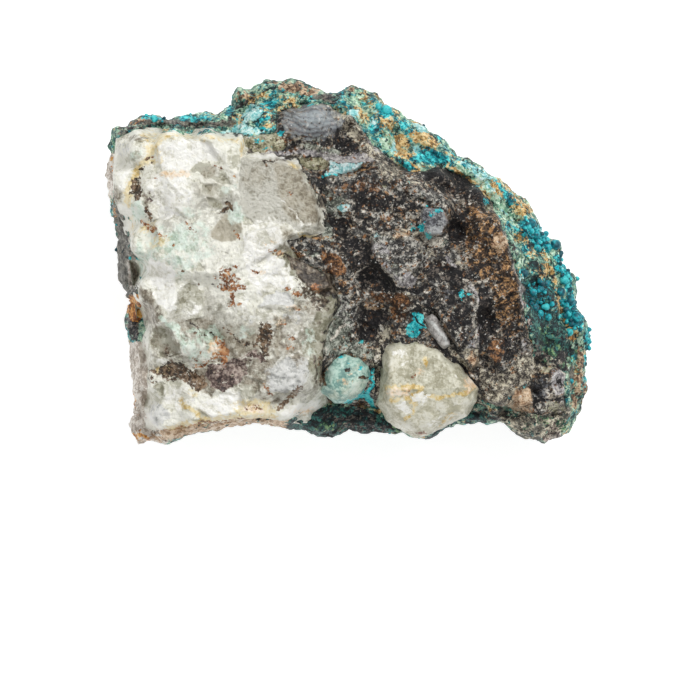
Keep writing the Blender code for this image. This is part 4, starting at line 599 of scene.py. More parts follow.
CRUST_MARKS = {
    "loam": [
        (0.58, [(18.6, -20.2), (24.6, -19.4), (28.8, -18.8), (29.8, -21.0), (27.2, -24.0), (22.6, -23.6)]),
        (0.3, 0.6, [(15.6, -20.0), (18.6, -20.2), (21.4, -22.0)]), (26.6, -13.6, 1.6, 0.7, 0, 0.5),
    ],
    "shade": [
        (0.62, [(23.0, 0.6), (25.6, -0.2), (27.8, -2.6), (28.2, -6.0), (29.4, -10.4), (27.8, -12.6), (24.6, -11.8),
                (23.6, -7.0), (22.8, -2.4)]),
        (12.4, 11.4, 2.0, 0.9, -10, 0.8), (26.0, -9.6, 1.6, 1.4, 0, 0.6), (-8.4, 18.8, 0.8, 1.2, 0, 0.5),
    ],
    "strata": [
        (0.8, 1.0, [(-25.6, -23.5), (-20.0, -22.4), (-14.0, -21.7), (-9.0, -21.7)]),
        (-28.0, -24.2, 1.4, 0.4, 0, 0.5),
    ],
    # Painted light on the left wall: pale wall colour laid over the narrow slot there, which lies in shade.
    "ledge": [(-29.0, -1.2, 0.8, 2.4, 0, 0.9), (-29.2, 3.4, 0.5, 1.2, 0, 0.5)],
    "ochre": [
        (0.75, [(17.4, 10.6), (20.6, 10.4), (20.8, 8.6), (19.2, 8.0), (17.8, 8.8)]), (23.3, 3.2, 1.3, 0.8, 0, 0.7),
        (0.9, [(6.0, 17.0), (7.6, 17.2), (8.0, 15.4), (7.0, 13.6), (5.8, 13.7), (6.2, 15.0)]),
        (1.0, [(8.0, 17.2), (10.4, 17.4), (12.2, 15.6), (11.6, 14.7), (9.8, 15.6), (8.4, 15.9)]),
        (0.8, [(2.0, 22.6), (3.2, 21.4), (2.8, 20.4), (0.8, 22.0)]), (4.8, 18.6, 0.9, 1.2, 30, 0.9),
        (1.0, [(21.4, 7.4), (23.2, 7.4), (24.6, 6.7), (23.4, 5.8), (22.0, 6.2)]), (7.4, 14.2, 1.2, 0.6, -20, 0.8),
        (1.0, [(25.4, -0.2), (26.6, -0.4), (27.6, -1.4), (26.8, -2.3), (25.6, -1.9)]), (-11.0, 20.5, 0.9, 0.6, 0, 0.6),
        (1.0, [(26.2, 1.4), (26.8, 0.8), (26.6, -0.2), (25.9, 0.2)]), (14.2, 13.6, 1.6, 0.4, -38, 0.7),
        (0.35, 0.8, [(13.4, 12.6), (16.0, 11.0), (18.4, 9.2)]), (24.4, 1.0, 0.7, 0.9, 0, 0.6),
        (0.4, 0.7, [(20.0, 10.8), (22.6, 8.4), (24.4, 7.0)]), (1.6, 19.4, 0.6, 1.2, 30, 0.7),
        (0.3, 0.8, [(27.6, -2.6), (28.0, -4.6), (28.4, -6.4), (29.4, -8.6)]), (20.8, 4.8, 0.3, 0.7, 20, 0.5),
        (30.0, -9.4, 0.8, 1.2, 0, 0.7), (-13.0, 21.6, 1.6, 0.6, 20, 0.5), (9.8, 18.4, 0.5, 0.3, 0, 0.5),
    ],
    "teal": [
        (1.0, [(7.8, 13.4), (9.2, 14.0), (9.6, 15.0), (11.6, 14.6), (13.2, 14.2), (13.4, 13.0), (11.4, 12.9),
               (9.4, 13.0)]),
        (1.0, [(6.5, 13.2), (8.0, 12.9), (9.2, 12.3), (8.2, 11.8), (7.0, 12.3)]), (3.4, 17.8, 0.8, 1.4, 10, 0.9),
        (1.0, [(4.2, 20.8), (5.6, 20.4), (5.8, 19.3), (4.6, 18.9), (3.8, 19.8)]), (7.6, 18.3, 1.1, 0.5, -30, 0.9),
        (0.9, [(22.6, 4.6), (23.8, 5.8), (25.4, 5.0), (26.8, 3.6), (27.4, 1.8), (26.8, 1.0), (25.6, 1.6),
               (24.4, 2.4), (23.4, 3.4)]),
        (0.6, [(22.8, -2.6), (24.4, -2.4), (25.6, -2.4), (27.0, -3.0), (27.6, -5.0), (26.8, -7.8), (25.2, -7.8),
               (24.2, -6.4), (23.2, -4.2)]),
        (1.0, [(27.4, 0.8), (28.6, 1.2), (29.4, 0.4), (29.8, -2.4), (30.4, -5.2), (29.2, -4.6), (28.6, -2.0)]),
        (0.9, [(28.4, -5.0), (30.4, -5.4), (31.4, -7.8), (31.2, -9.6), (29.8, -9.0), (28.8, -7.4)]),
        (1.0, [(-23.0, 18.8), (-22.0, 19.6), (-20.8, 19.4), (-18.2, 19.4), (-18.6, 18.8), (-20.6, 18.6)]),
        (0.35, 0.9, [(-27.6, 19.2), (-26.4, 19.5), (-25.0, 18.9)]), (-16.2, 20.2, 0.7, 0.7, 0, 0.9),
        (0.3, 0.8, [(-21.6, 16.9), (-19.8, 17.2), (-18.4, 17.6)]), (-10.6, 21.0, 1.6, 0.5, 25, 0.8),
        (0.3, 0.8, [(-12.4, 17.9), (-11.2, 17.3), (-10.2, 17.4)]), (-11.2, 18.9, 1.0, 0.4, 15, 0.9),
        (0.3, 0.8, [(16.6, 12.4), (18.8, 11.2), (20.4, 9.6)]), (21.4, 8.6, 1.2, 0.6, -45, 0.9),
        (0.3, 0.7, [(13.8, 13.9), (16.0, 12.9)]), (19.4, 10.6, 1.4, 0.4, -42, 0.7), (23.3, -1.5, 0.5, 0.6, 0, 1.0),
        (0.4, 0.9, [(32.2, -9.4), (32.3, -11.6), (32.0, -13.6)]), (32.2, -15.6, 0.4, 0.8, 0, 0.9),
        (22.0, 4.4, 1.4, 0.4, -40, 0.7), (-0.9, 21.2, 0.4, 1.2, 0, 0.7), (3.0, 21.4, 0.7, 0.6, 0, 0.6),
        (-9.8, 22.6, 1.4, 0.3, 20, 0.5), (-13.2, 18.9, 0.3, 0.3, 0, 0.5), (13.6, 13.0, 0.6, 0.4, 0, 0.7),
        (-12.8, 20.6, 0.7, 0.4, 0, 0.6), (26.0, -4.0, 1.6, 1.4, 0, 0.6), (30.3, -13.0, 0.5, 0.6, 0, 0.6),
    ],
    "cyan": [
        (-21.9, 19.2, 0.8, 0.3, 0, 1.0), (-19.2, 19.2, 0.6, 0.25, 0, 0.9), (9.4, 14.2, 0.8, 0.35, -20, 0.9),
        (11.6, 13.6, 0.9, 0.3, -10, 0.8), (7.2, 18.2, 0.5, 0.4, 0, 0.9), (26.2, 2.6, 0.35, 1.4, 25, 0.9),
        (24.2, 5.2, 0.5, 0.4, 0, 0.7), (23.2, -1.6, 0.4, 0.5, 0, 1.0), (29.0, -2.3, 0.4, 0.6, 0, 1.0),
        (28.4, -4.0, 0.35, 0.35, 0, 1.0), (30.8, -7.6, 0.5, 0.5, 0, 0.9), (28.6, -7.2, 0.4, 0.4, 0, 0.8),
        (-11.6, 17.6, 0.5, 0.2, 0, 0.8), (-10.9, 18.9, 0.4, 0.2, 0, 0.8), (24.8, -6.2, 0.4, 0.4, 0, 0.6),
        (24.6, -4.2, 0.3, 0.3, 0, 0.7), (-20.6, 17.0, 0.5, 0.15, 0, 0.7), (28.0, -1.2, 0.4, 0.5, 0, 0.8),
    ],
    "deep": [
        (0.5, [(24.4, -0.4), (27.0, 0.2), (27.4, -2.4), (24.6, -2.4)]), (0.5, [(23.0, -8.8), (26.0, -9.0), (26.0, -12.0), (23.4, -11.6)]),
        (0.95, [(22.9, -2.8), (25.0, -2.6), (27.0, -3.2), (27.4, -5.0), (26.8, -8.4), (25.0, -9.0), (24.0, -6.6),
                (23.1, -4.4)]),
        (0.7, [(28.0, -8.4), (30.4, -8.6), (31.0, -11.0), (30.0, -13.0), (28.4, -11.6)]),
        # Rows below the nodules, between y -19 and -24, are dark teal crust with painted shade of the recess under the
        # overhanging nodules.
        (1.0, [(-8.6, -21.6), (-5.0, -20.8), (-4.6, -20.0), (-2.6, -19.4), (0.0, -19.6), (3.6, -20.4),
               (5.6, -22.0), (7.0, -23.4), (3.0, -23.4), (-2.0, -24.4), (-8.6, -22.8)]),
        (0.9, [(24.2, -8.6), (26.6, -9.6), (29.6, -10.2), (30.2, -12.4), (28.6, -13.4), (26.4, -11.8),
               (24.8, -10.8)]),
        (1.0, [(15.4, -20.9), (16.6, -19.9), (18.0, -20.3), (18.6, -21.8), (15.6, -22.0)]), (11.6, -23.6, 1.8, 0.8, 20, 0.9),
        (0.3, 0.5, [(-27.4, 18.2), (-23.6, 17.9), (-19.6, 17.6), (-17.0, 17.8)]), (7.8, 12.5, 1.2, 0.35, -15, 0.9),
        (25.2, 2.0, 0.8, 1.6, 20, 0.8), (0.4, 0.8, [(-9.8, 19.9), (-9.4, 18.6), (-9.9, 17.4)]), (12.6, -22.6, 1.0, 0.5, 30, 0.8),
        (23.8, -4.6, 0.6, 2.0, 0, 0.7), (29.4, -12.8, 1.2, 0.8, 0, 0.8), (24.6, -2.8, 1.4, 0.5, 0, 0.9),
        (-15.6, 19.4, 1.0, 0.5, 20, 0.7), (12.4, 12.7, 1.4, 0.3, 0, 0.6), (21.0, 8.2, 0.6, 0.3, -40, 0.6),
        (0.2, 0.8, [(6.2, -21.6), (7.6, -23.0), (9.2, -23.9)]), (31.4, -20.2, 0.6, 0.8, 0, 0.6),
    ],
    "mint": [
        (19.0, 11.2, 1.8, 0.7, -42, 0.7), (16.0, 12.8, 1.2, 0.5, -35, 0.6),
        (0.9, [(4.0, 16.4), (6.0, 16.6), (6.2, 15.0), (5.6, 14.0), (4.4, 14.9)]), (1.0, 21.8, 0.9, 1.0, 0, 0.9),
        (0.5, 1.0, [(14.6, 12.9), (17.0, 11.4), (18.8, 9.6), (20.2, 7.4), (21.6, 5.8)]), (26.8, 0.9, 0.3, 1.6, 30, 0.8),
        (0.4, 0.9, [(20.2, 6.4), (21.4, 5.2), (22.6, 4.6)]), (23.0, -0.2, 0.7, 0.9, 0, 0.7), (5.0, 17.4, 1.0, 0.5, 0, 0.5),
        (0.35, 0.9, [(25.4, 3.8), (27.0, 1.8), (28.4, -0.4)]), (28.8, -1.2, 0.7, 0.8, 0, 0.6), (1.4, 18.6, 0.6, 0.8, 0, 0.5),
        (0.3, 0.7, [(-14.4, 17.6), (-16.8, 17.0)]), (3.4, 20.4, 1.0, 0.8, 0, 0.7), (-9.0, 20.6, 1.4, 0.5, 20, 0.4),
        (0.3, 0.7, [(31.6, -9.6), (31.8, -12.6)]), (29.4, -13.6, 0.5, 0.8, 0, 0.4), (30.2, -11.0, 0.5, 0.8, 0, 0.5),
    ],
    "pale": [
        (0.2, 0.8, [(14.8, 13.4), (17.4, 11.8), (19.4, 10.6)]), (18.2, 11.9, 1.0, 0.5, -40, 0.7),
        (1.0, [(-14.4, 19.4), (-13.4, 20.9), (-12.2, 20.9), (-11.6, 19.6), (-12.4, 18.5), (-13.8, 18.5)]),
        (0.9, [(-14.2, 18.6), (-13.4, 18.0), (-10.4, 17.1), (-14.0, 16.5), (-17.6, 16.9), (-15.8, 17.7)]),
        (1.0, [(8.2, 15.2), (9.2, 15.5), (9.8, 14.6), (8.8, 14.2)]), (0.6, 19.7, 0.7, 0.6, 0, 1.0),
        (9.4, 18.0, 1.1, 0.4, -35, 1.0), (3.2, 18.4, 0.5, 0.6, 0, 0.8), (3.6, 20.4, 0.6, 0.5, 0, 0.7),
        (0.15, 0.8, [(15.6, 12.5), (18.0, 10.8), (19.8, 8.8)]), (0.15, 0.8, [(25.6, 4.4), (27.2, 2.2)]),
        (6.0, 15.2, 0.4, 0.8, 20, 0.7), (23.0, -2.3, 0.5, 0.4, 0, 0.9), (28.7, -0.9, 0.3, 0.3, 0, 0.6),
        (0.12, 0.7, [(20.4, 6.8), (21.8, 5.4)]),
    ],
    "tan": [
        (0.7, 1.0, [(-24.0, -22.9), (-18.0, -21.9), (-12.0, -21.4), (-8.4, -21.5)]),
        (0.9, [(-9.6, 23.0), (-9.0, 24.2), (-6.6, 24.0), (-3.6, 22.9), (-4.6, 22.1), (-7.4, 22.4)]),
        (0.8, [(-15.6, 21.2), (-15.0, 23.0), (-13.4, 22.8), (-12.8, 21.6)]), (0.0, 23.0, 1.2, 0.5, 0, 0.6),
        (0.5, 0.9, [(29.6, -10.6), (31.2, -12.4), (31.0, -15.4), (30.4, -19.6)]), (31.9, -17.0, 0.6, 1.2, 0, 0.9),
        (0.6, 1.0, [(-24.6, -23.4), (-20.0, -22.2), (-14.0, -21.5), (-9.0, -21.7)]), (-2.6, -23.0, 1.2, 0.8, 0, 0.6),
        (0.3, 0.7, [(27.4, -2.4), (28.0, -5.0), (29.2, -8.0)]), (29.9, -10.4, 0.7, 0.5, 0, 0.9), (1.0, -19.4, 2.2, 0.6, 0, 0.6),
        (0.3, 0.7, [(-28.6, 18.5), (-26.6, 19.7), (-24.8, 18.9)]), (29.9, -1.0, 0.3, 1.0, 0, 0.8), (9.0, -23.4, 0.8, 0.4, 0, 0.6),
        (-10.2, 24.0, 1.2, 0.4, 0, 0.5), (19.2, -20.9, 1.0, 0.6, 0, 0.5), (24.4, -8.2, 0.5, 1.0, 0, 0.7),
    ],
    "dark": [
        (0.35, [(23.6, -1.6), (27.6, -1.0), (28.2, -5.0), (27.4, -11.0), (24.4, -11.0)]),
        (1.0, [(24.6, -11.2), (27.4, -10.8), (29.6, -13.0), (29.4, -14.8), (26.4, -14.6), (24.6, -14.0)]),
        # This row and the one at (-3.0, -19.5) paint shade into the recess under the teal nodule; the row at (18.4,
        # -20.2) paints shade into the cavity under the matrix's arch.
        (0.6, [(-4.0, -20.4), (3.0, -20.6), (7.4, -23.4), (2.0, -23.2), (-3.6, -23.4)]),
        (0.9, [(-15.4, 21.3), (-13.0, 21.9), (-12.4, 21.0), (-15.4, 20.2)]), (0.3, 0.8, [(-29.6, 17.8), (-26.0, 17.6)]),
        (0.3, 0.5, [(-26.8, 18.6), (-22.0, 18.2), (-18.0, 18.2), (-16.0, 19.0)]), (27.6, -13.0, 1.8, 1.0, 0, 0.9),
        (0.5, [(-3.0, -19.5), (0.0, -19.2), (3.2, -19.9), (3.0, -20.6), (-1.0, -20.3)]), (-2.4, 21.8, 1.6, 0.7, 0, 0.8),
        (1.0, [(-30.3, -7.6), (-29.0, -7.0), (-28.2, -8.0), (-28.2, -10.8), (-29.2, -10.4), (-30.2, -8.8)]),
        (0.8, [(18.4, -20.2), (20.2, -19.6), (21.8, -20.4), (20.6, -21.2), (18.8, -21.8)]), (24.4, 1.6, 0.4, 0.9, 20, 0.5),
        (0.3, 0.9, [(26.4, -8.4), (27.6, -9.8), (28.6, -10.4)]), (24.9, -0.4, 0.5, 0.4, 0, 0.8), (22.0, 1.6, 0.4, 1.2, 20, 0.6),
        (0.25, 0.7, [(27.0, -4.8), (27.2, -7.0), (28.0, -9.2)]), (24.2, -1.0, 0.4, 0.4, 0, 0.6), (5.6, 18.7, 0.3, 0.3, 0, 0.7),
        (-9.8, 18.6, 0.7, 1.0, 0, 0.7), (28.8, -14.4, 1.0, 0.7, 0, 0.7), (-30.4, 17.2, 0.8, 0.4, 0, 0.5),
    ],
    "grey": [
        (0.5, 0.8, [(-30.6, 18.2), (-27.0, 18.8), (-22.6, 18.6), (-18.4, 18.2), (-15.6, 18.4)]),
        (1.0, [(-31.9, 7.6), (-30.2, 7.2), (-30.3, 4.4), (-29.5, 3.0), (-28.6, 1.0), (-28.1, -3.0), (-28.4, -5.2),
               (-29.8, -5.4), (-31.6, -2.4), (-31.6, 3.8)]),
        (0.8, [(21.0, -21.2), (24.2, -20.2), (26.0, -21.2), (26.6, -24.4), (23.0, -24.0)]), (-3.4, 21.8, 2.0, 0.6, 0, 0.7),
        (0.8, [(25.0, -18.9), (29.0, -18.4), (30.0, -20.6), (27.4, -21.2), (25.0, -20.6)]), (29.8, -15.6, 0.6, 1.8, 0, 0.8),
        (0.3, 0.5, [(-24.0, 17.4), (-20.4, 17.8)]), (28.8, -20.8, 1.2, 1.4, 0, 0.7), (-30.4, 16.9, 1.0, 0.4, 0, 0.6),
    ],
    "wall": [
        (1.0, [(-31.0, -10.8), (-27.4, -11.0), (-26.4, -15.0), (-26.6, -22.0), (-24.0, -23.2), (-24.6, -25.4),
               (-28.4, -25.4), (-31.0, -22.0)]),
        (0.9, [(-33.0, 14.4), (-31.5, 14.4), (-31.2, 12.2), (-31.8, 8.2), (-33.0, 8.0)]), (-27.3, -6.6, 0.7, 2.6, 12, 0.8),
        (0.8, [(25.6, -24.6), (26.8, -21.6), (28.2, -21.4), (28.6, -23.4), (27.0, -24.8)]),
    ],
    "orange": [
        (1.0, [(-29.9, -4.6), (-27.4, -4.6), (-27.4, -7.4), (-29.2, -8.4), (-30.4, -6.6)]), (-28.9, -23.8, 0.6, 0.5, 0, 0.8),
        (0.3, 0.6, [(-32.1, 14.4), (-31.6, 12.2)]), (0.2, 0.6, [(-29.2, -18.0), (-28.4, -20.4)]),
        (0.3, 0.8, [(-28.6, -22.8), (-27.0, -24.2)]), (30.0, -10.6, 0.6, 0.3, 0, 0.7), (29.9, -0.6, 0.3, 0.9, 0, 0.5),
        (-31.4, 6.4, 0.5, 0.5, 0, 0.5), (-28.6, 18.4, 0.8, 0.3, 0, 0.5), (-26.0, -23.6, 1.2, 0.3, 10, 0.6),
    ],
    "mauve": [
        (0.9, [(25.8, -24.4), (26.6, -21.8), (27.8, -21.8), (28.4, -23.2), (27.2, -24.6)]), (24.2, -8.2, 0.5, 1.1, 0, 0.8),
    ],
    "green": [
        (0.8, [(25.0, -8.6), (26.8, -9.0), (28.6, -11.8), (27.4, -13.0), (25.4, -11.6)]),
        (26.1, -21.3, 1.8, 0.7, -20, 1.0), (24.0, -22.4, 1.0, 0.5, 30, 0.7), (28.6, -22.2, 0.9, 0.8, 0, 0.8), (30.3, -12.8, 0.7, 0.9, 0, 0.7),
        (23.2, -0.2, 0.9, 1.2, 0, 0.5), (6.4, -22.6, 0.9, 0.5, -40, 0.8), (-3.0, -22.4, 2.4, 0.6, 0, 0.5),
        (27.2, -9.6, 0.8, 0.6, 0, 0.6), (26.8, -13.4, 1.0, 0.4, 0, 0.6), (29.0, -14.0, 1.0, 0.5, 0, 0.5),
    ],
}


# Each mineral as three colours, 0 to 255: its dark, its middle and its light grains
MINERALS = {
    "quartz": ((188, 186, 168), (217, 215, 199), (238, 237, 226)),
    "frost": ((212, 210, 196), (234, 232, 222), (247, 246, 240)),
    "plain": ((148, 145, 130), (172, 169, 156), (198, 196, 185)),
    "window": ((128, 125, 104), (158, 155, 135), (188, 186, 170)),
    "smoke": ((100, 90, 74), (140, 131, 115), (176, 168, 151)),
    "pearl": ((152, 153, 150), (184, 185, 181), (220, 220, 216)),
    "quartz_mint": ((172, 190, 172), (198, 213, 197), (222, 233, 222)),
    "yellow": ((188, 156, 84), (218, 194, 132), (234, 220, 180)),
    "peach": ((222, 192, 152), (236, 214, 184), (244, 230, 212)),
    "rust": ((96, 56, 30), (168, 108, 62), (210, 166, 120)),
    "brown": ((36, 27, 19), (84, 64, 45), (156, 132, 106)),
    "mauve": ((46, 34, 32), (112, 92, 84), (200, 184, 172)),
    "matrix": ((20, 19, 20), (59, 56, 52), (154, 144, 128)),
    "coal": ((12, 11, 13), (34, 31, 32), (120, 110, 100)),
    "ash": ((44, 44, 44), (108, 106, 101), (204, 201, 192)),
    "lilac": ((116, 112, 114), (162, 157, 157), (214, 210, 208)),
    "umber": ((36, 23, 15), (90, 60, 36), (168, 120, 78)),
    "sand": ((26, 21, 18), (88, 66, 46), (204, 158, 106)),
    "beige": ((58, 53, 48), (140, 132, 116), (222, 214, 192)),
    "snow": ((116, 110, 102), (200, 192, 178), (240, 234, 222)),
    "olive": ((104, 101, 76), (160, 156, 126), (204, 200, 174)),
    "crust": ((48, 94, 90), (112, 152, 132), (186, 210, 182)),
    "teal": ((0, 82, 94), (6, 144, 156), (76, 208, 208)),
    "cyan": ((0, 140, 152), (0, 190, 202), (104, 230, 230)),
    "deep": ((8, 16, 18), (16, 48, 52), (54, 116, 106)),
    "ochre": ((126, 94, 50), (204, 164, 100), (236, 210, 156)),
    "mint": ((108, 156, 128), (172, 208, 178), (216, 236, 214)),
    "pale": ((112, 186, 188), (166, 220, 217), (220, 242, 238)),
    "tan": ((80, 58, 43), (154, 124, 95), (208, 182, 150)),
    "grey": ((56, 54, 50), (104, 101, 94), (154, 149, 139)),
    # The wall colours are lightened to offset the shade that falls on the side walls: painted light.
    "wall": ((174, 161, 147), (214, 204, 192), (238, 232, 222)),
    "orange": ((128, 72, 24), (200, 130, 50), (228, 178, 98)),
    "green": ((24, 50, 40), (62, 104, 74), (134, 168, 118)),
    "sheet": ((110, 176, 178), (172, 212, 212), (222, 238, 236)),
    "flesh": ((126, 92, 66), (192, 158, 124), (228, 204, 174)),
    "dusk": ((44, 36, 30), (94, 82, 68), (152, 140, 122)),
    "glass": ((80, 84, 76), (130, 135, 122), (188, 192, 180)),
    "slate": ((78, 76, 70), (102, 100, 90), (134, 130, 119)),
    "ball": ((0, 66, 78), (0, 124, 138), (28, 176, 188)),
    "crystal": ((120, 116, 112), (160, 156, 152), (200, 197, 192)),
    "steel": ((72, 72, 76), (122, 124, 128), (176, 178, 178)),
    "haze": ((124, 114, 95), (149, 141, 122), (178, 171, 153)),
    "strata": ((160, 130, 100), (207, 178, 146), (228, 208, 184)),
    "nodule": ((158, 154, 130), (186, 182, 160), (212, 210, 192)),
    "cream": ((184, 180, 156), (208, 204, 184), (228, 226, 212)),
    "lagoon": ((112, 152, 144), (158, 193, 180), (198, 223, 211)),
}
STEPS = ("dark", "middle", "light")


def linear(red, green, blue):
    """A colour as it looks on screen, 0 to 255, in the linear scale that shaders use."""
    share = np.array([red, green, blue]) / 255
    return tuple(np.where(share <= 0.04045, share / 12.92, ((share + 0.055) / 1.055) ** 2.4).tolist())


def scatter(ix, iy, iz, seed):
    """Number from 0 to 1 for each lattice point, from multiplying and folding its whole numbers."""
    n = (ix * 73856093) ^ (iy * 19349663) ^ (iz * 83492791) ^ (seed * 40503)
    n = ((n ^ (n >> 13)) * 1274126177) & 0xFFFFFFFF
    n = ((n ^ (n >> 16)) * 668265263) & 0xFFFFFFFF
    return (n >> 8) / float(1 << 24)


def noise(p, scale, seed):
    """Smooth noise of about -1 to 1: slopes drawn at the lattice points, blended across each cell."""
    q = p / scale
    cell = np.floor(q).astype(np.int64)
    f = q - cell
    w = f ** 3 * (f * (f * 6 - 15) + 10)
    total = np.zeros(len(p))
    for corner in product((0, 1), repeat=3):
        c = cell + corner
        weight = np.prod(np.where(np.array(corner) == 1, w, 1 - w), axis=1)
        for axis in range(3):
            slope = scatter(c[:, 0], c[:, 1], c[:, 2], seed + axis) * 2 - 1
            total += weight * slope * (f[:, axis] - corner[axis])
    return total * 1.7


def knobs(p, size, seed):
    """Rounded lumps, 0 to 1: one ball of varying radius in each lattice cell, the highest one counts."""
    q = p / size
    cell = np.floor(q).astype(np.int64)
    best = np.zeros(len(p))
    for step in product((-1, 0, 1), repeat=3):
        c = cell + step
        gap = np.zeros(len(p))
        for axis in range(3):
            site = c[:, axis] + 0.15 + 0.7 * scatter(c[:, 0], c[:, 1], c[:, 2], seed + axis)
            gap += (q[:, axis] - site) ** 2
        radius = 0.55 + 0.4 * scatter(c[:, 0], c[:, 1], c[:, 2], seed + 3)
        best = np.maximum(best, radius * np.sqrt(np.clip(1 - gap / radius ** 2, 0, None)))
    return best


def scoop_faces(x, y, size, seed):
    """Shell-like fracture: the lowest of the bowls that hang from jittered sites, each one tilted.

    Returns its depth, how much lower it is than the next bowl, which is 0 on a crest, and a number
    from 0 to 1 drawn for the bowl.
    """
    q = np.stack([x, y], axis=1) / size
    cell = np.floor(q).astype(np.int64)
    low = np.full(len(x), 9.0)
    second = np.full(len(x), 9.0)
    tone = np.zeros(len(x))
    flat = np.zeros(len(x), dtype=np.int64)
    for step in product((-1, 0, 1), repeat=2):
        c = cell + step
        draw = [scatter(c[:, 0], c[:, 1], flat, seed + k) for k in range(5)]
        dx = q[:, 0] - c[:, 0] - 0.1 - 0.8 * draw[0]
        dy = q[:, 1] - c[:, 1] - 0.1 - 0.8 * draw[1]
        bowl = 0.35 * (dx * dx + dy * dy) + 0.9 * (draw[2] - 0.5) * dx + 0.9 * (draw[3] - 0.5) * dy
        bowl = bowl + 0.2 * draw[4]
        tone = np.where(bowl < low, (draw[2] + draw[4]) % 1.0, tone)
        second = np.minimum(second, np.maximum(bowl, low))
        low = np.minimum(low, bowl)
    return low - 0.1, second - low, tone


def line_distance(x, y, a, b):
    """Distance to a straight stretch from a to b: the foot of the perpendicular, kept between them."""
    ax, ay = a
    dx, dy = b[0] - ax, b[1] - ay
    t = np.clip(((x - ax) * dx + (y - ay) * dy) / (dx * dx + dy * dy), 0, 1)
    return np.hypot(x - ax - t * dx, y - ay - t * dy)


def edge_distance(x, y, corners):
    """Distance to a closed outline, positive inside: nearest of its sides, signed by winding parity."""
    near = np.full(len(x), 1e9)
    inside = np.zeros(len(x), dtype=bool)
    for (ax, ay), (bx, by) in zip(corners, corners[1:] + corners[:1]):
        near = np.minimum(near, line_distance(x, y, (ax, ay), (bx, by)))
        crosses = (ay > y) != (by > y)
        with np.errstate(divide="ignore", invalid="ignore"):
            inside ^= crosses & (x < (bx - ax) * (y - ay) / (by - ay) + ax)
    return np.where(inside, near, -near)


def ramp(value, width):
    """0 to 1 with soft ends while the value goes from minus half the width to plus half."""
    t = np.clip(value / width + 0.5, 0, 1)
    return t * t * (3 - 2 * t)


def flat_points(x, y, z=0.0):
    """The places as points at one height, which noise takes."""
    return np.stack([x, y, np.full(len(x), z)], axis=1)


def warped(x, y, reach, size, seed):
    """The places pushed sideways by noise of that reach and size, so that straight edges wander."""
    p = flat_points(x, y)
    return x + reach * noise(p, size, seed), y + reach * noise(p, size, seed + 7)


def spot_level(x, y):
    """Mean of the spot heights, each weighted by the inverse fifth power of its distance."""
    total = np.zeros(len(x))
    weights = np.zeros(len(x))
    for sx, sy, sz in SPOTS:
        square = (x - sx) ** 2 + (y - sy) ** 2 + 0.8
        w = 1 / (square * square * np.sqrt(square))
        total += w * sz
        weights += w
    return total / weights


def seat(distance):
    """Lift of a skin inside its own edge, and its dive under the next one outside."""
    return 0.5 * SLAB_STEP * np.clip(distance / 0.35, -1, 1) - SINK * ramp(-distance - 1.1, 1.8)


def dented(x, y, z):
    """The height with the ridges and pits added: a bell-shaped rise around each crest or centre."""
    for height, half, crest in RIDGES:
        away = np.min([line_distance(x, y, a, b) for a, b in zip(crest, crest[1:])], axis=0)
        z = z + height * np.exp(-(away / half) ** 2)
    for px, py, radius, rise in PITS:
        z = z + rise * np.exp(-((x - px) ** 2 + (y - py) ** 2) / radius ** 2)
    return z


def faceted(x, y, z):
    """The height with small plane faces cut in: each plane passes near the general level at its middle."""
    for drop, slope_x, slope_y, corners in FACETS:
        cx, cy = np.mean(corners, axis=0)
        level = spot_level(np.array([cx]), np.array([cy]))[0]
        plane = level + drop + slope_x * (x - cx) + slope_y * (y - cy)
        share = 0.85 * ramp(edge_distance(x, y, corners), 0.4)
        z = z * (1 - share) + plane * share
    return z


def quartz_faces(x, y):
    """Fracture of the quartz at two sizes: depth, openness between crests, and tone of the face."""
    wx, wy = warped(x, y, 0.35, 2.2, 101)
    large, open_large, tone_large = scoop_faces(wx, wy, SCOOP_SIZE, 11)
    small, open_small, tone_small = scoop_faces(wx, wy, 0.45 * SCOOP_SIZE, 17)
    chips, open_chips, tone_chips = scoop_faces(wx, wy, 0.17 * SCOOP_SIZE, 83)
    depth = SCOOP_DEPTH * (large + 0.3 * small) + 0.32 * chips
    crest = np.minimum(open_large / 0.10, np.minimum(open_small / 0.16, open_chips / 0.3))
    return depth, np.clip(crest, 0, 1), (tone_large + tone_small + 0.6 * tone_chips) / 2.6


def away_from_border(x, y):
    """Share that is nought on the steep rim of the stone and one well inside it."""
    return ramp(edge_distance(x, y, [corner[:2] for corner in OUTLINE]) - 2.5, 2.5)


def quartz_height(x, y):
    """Height of the milky quartz: spots, fracture, the even face with its ripples, dents and grain;
    its east edge runs down to the matrix."""
    calm = away_from_border(x, y)
    bent_x, bent_y = warped(x, y, 0.3, 1.2, 131)
    slab = edge_distance(x + (bent_x - x) * calm, y + (bent_y - y) * calm, SLAB)
    depth, _, _ = quartz_faces(x, y)
    z = spot_level(x, y) + depth
    gx, gy, gz, slope_x, slope_y = GREY_FACE_PLANE
    around_chip = np.hypot(x - gx - 3.0, y - gy + 1.0)
    ripple = 0.05 * np.sin(around_chip * 4.5) * np.exp(-around_chip / 5)
    plane = gz - 0.5 * SLAB_STEP + slope_x * (x - gx) + slope_y * (y - gy) + ripple
    share = ramp(edge_distance(x, y, GREY_FACE), 0.6)
    z = faceted(x, y, dented(x, y, z * (1 - share) + plane * share))
    p = flat_points(x, y)
    grain = 0.10 * noise(p, 0.9, 137) + 0.05 * noise(p, 0.45, 139) + 0.025 * noise(p, 0.24, 149)
    east = ramp(x + 11.0, 3.0) * ramp(1.5 - y, 3.0) * ramp(y + 19.0, 4.0)
    return z + grain * (1 - 0.7 * share) + seat(slab) - SLAB_STEP * east * ramp(1.2 - slab, 4.0)


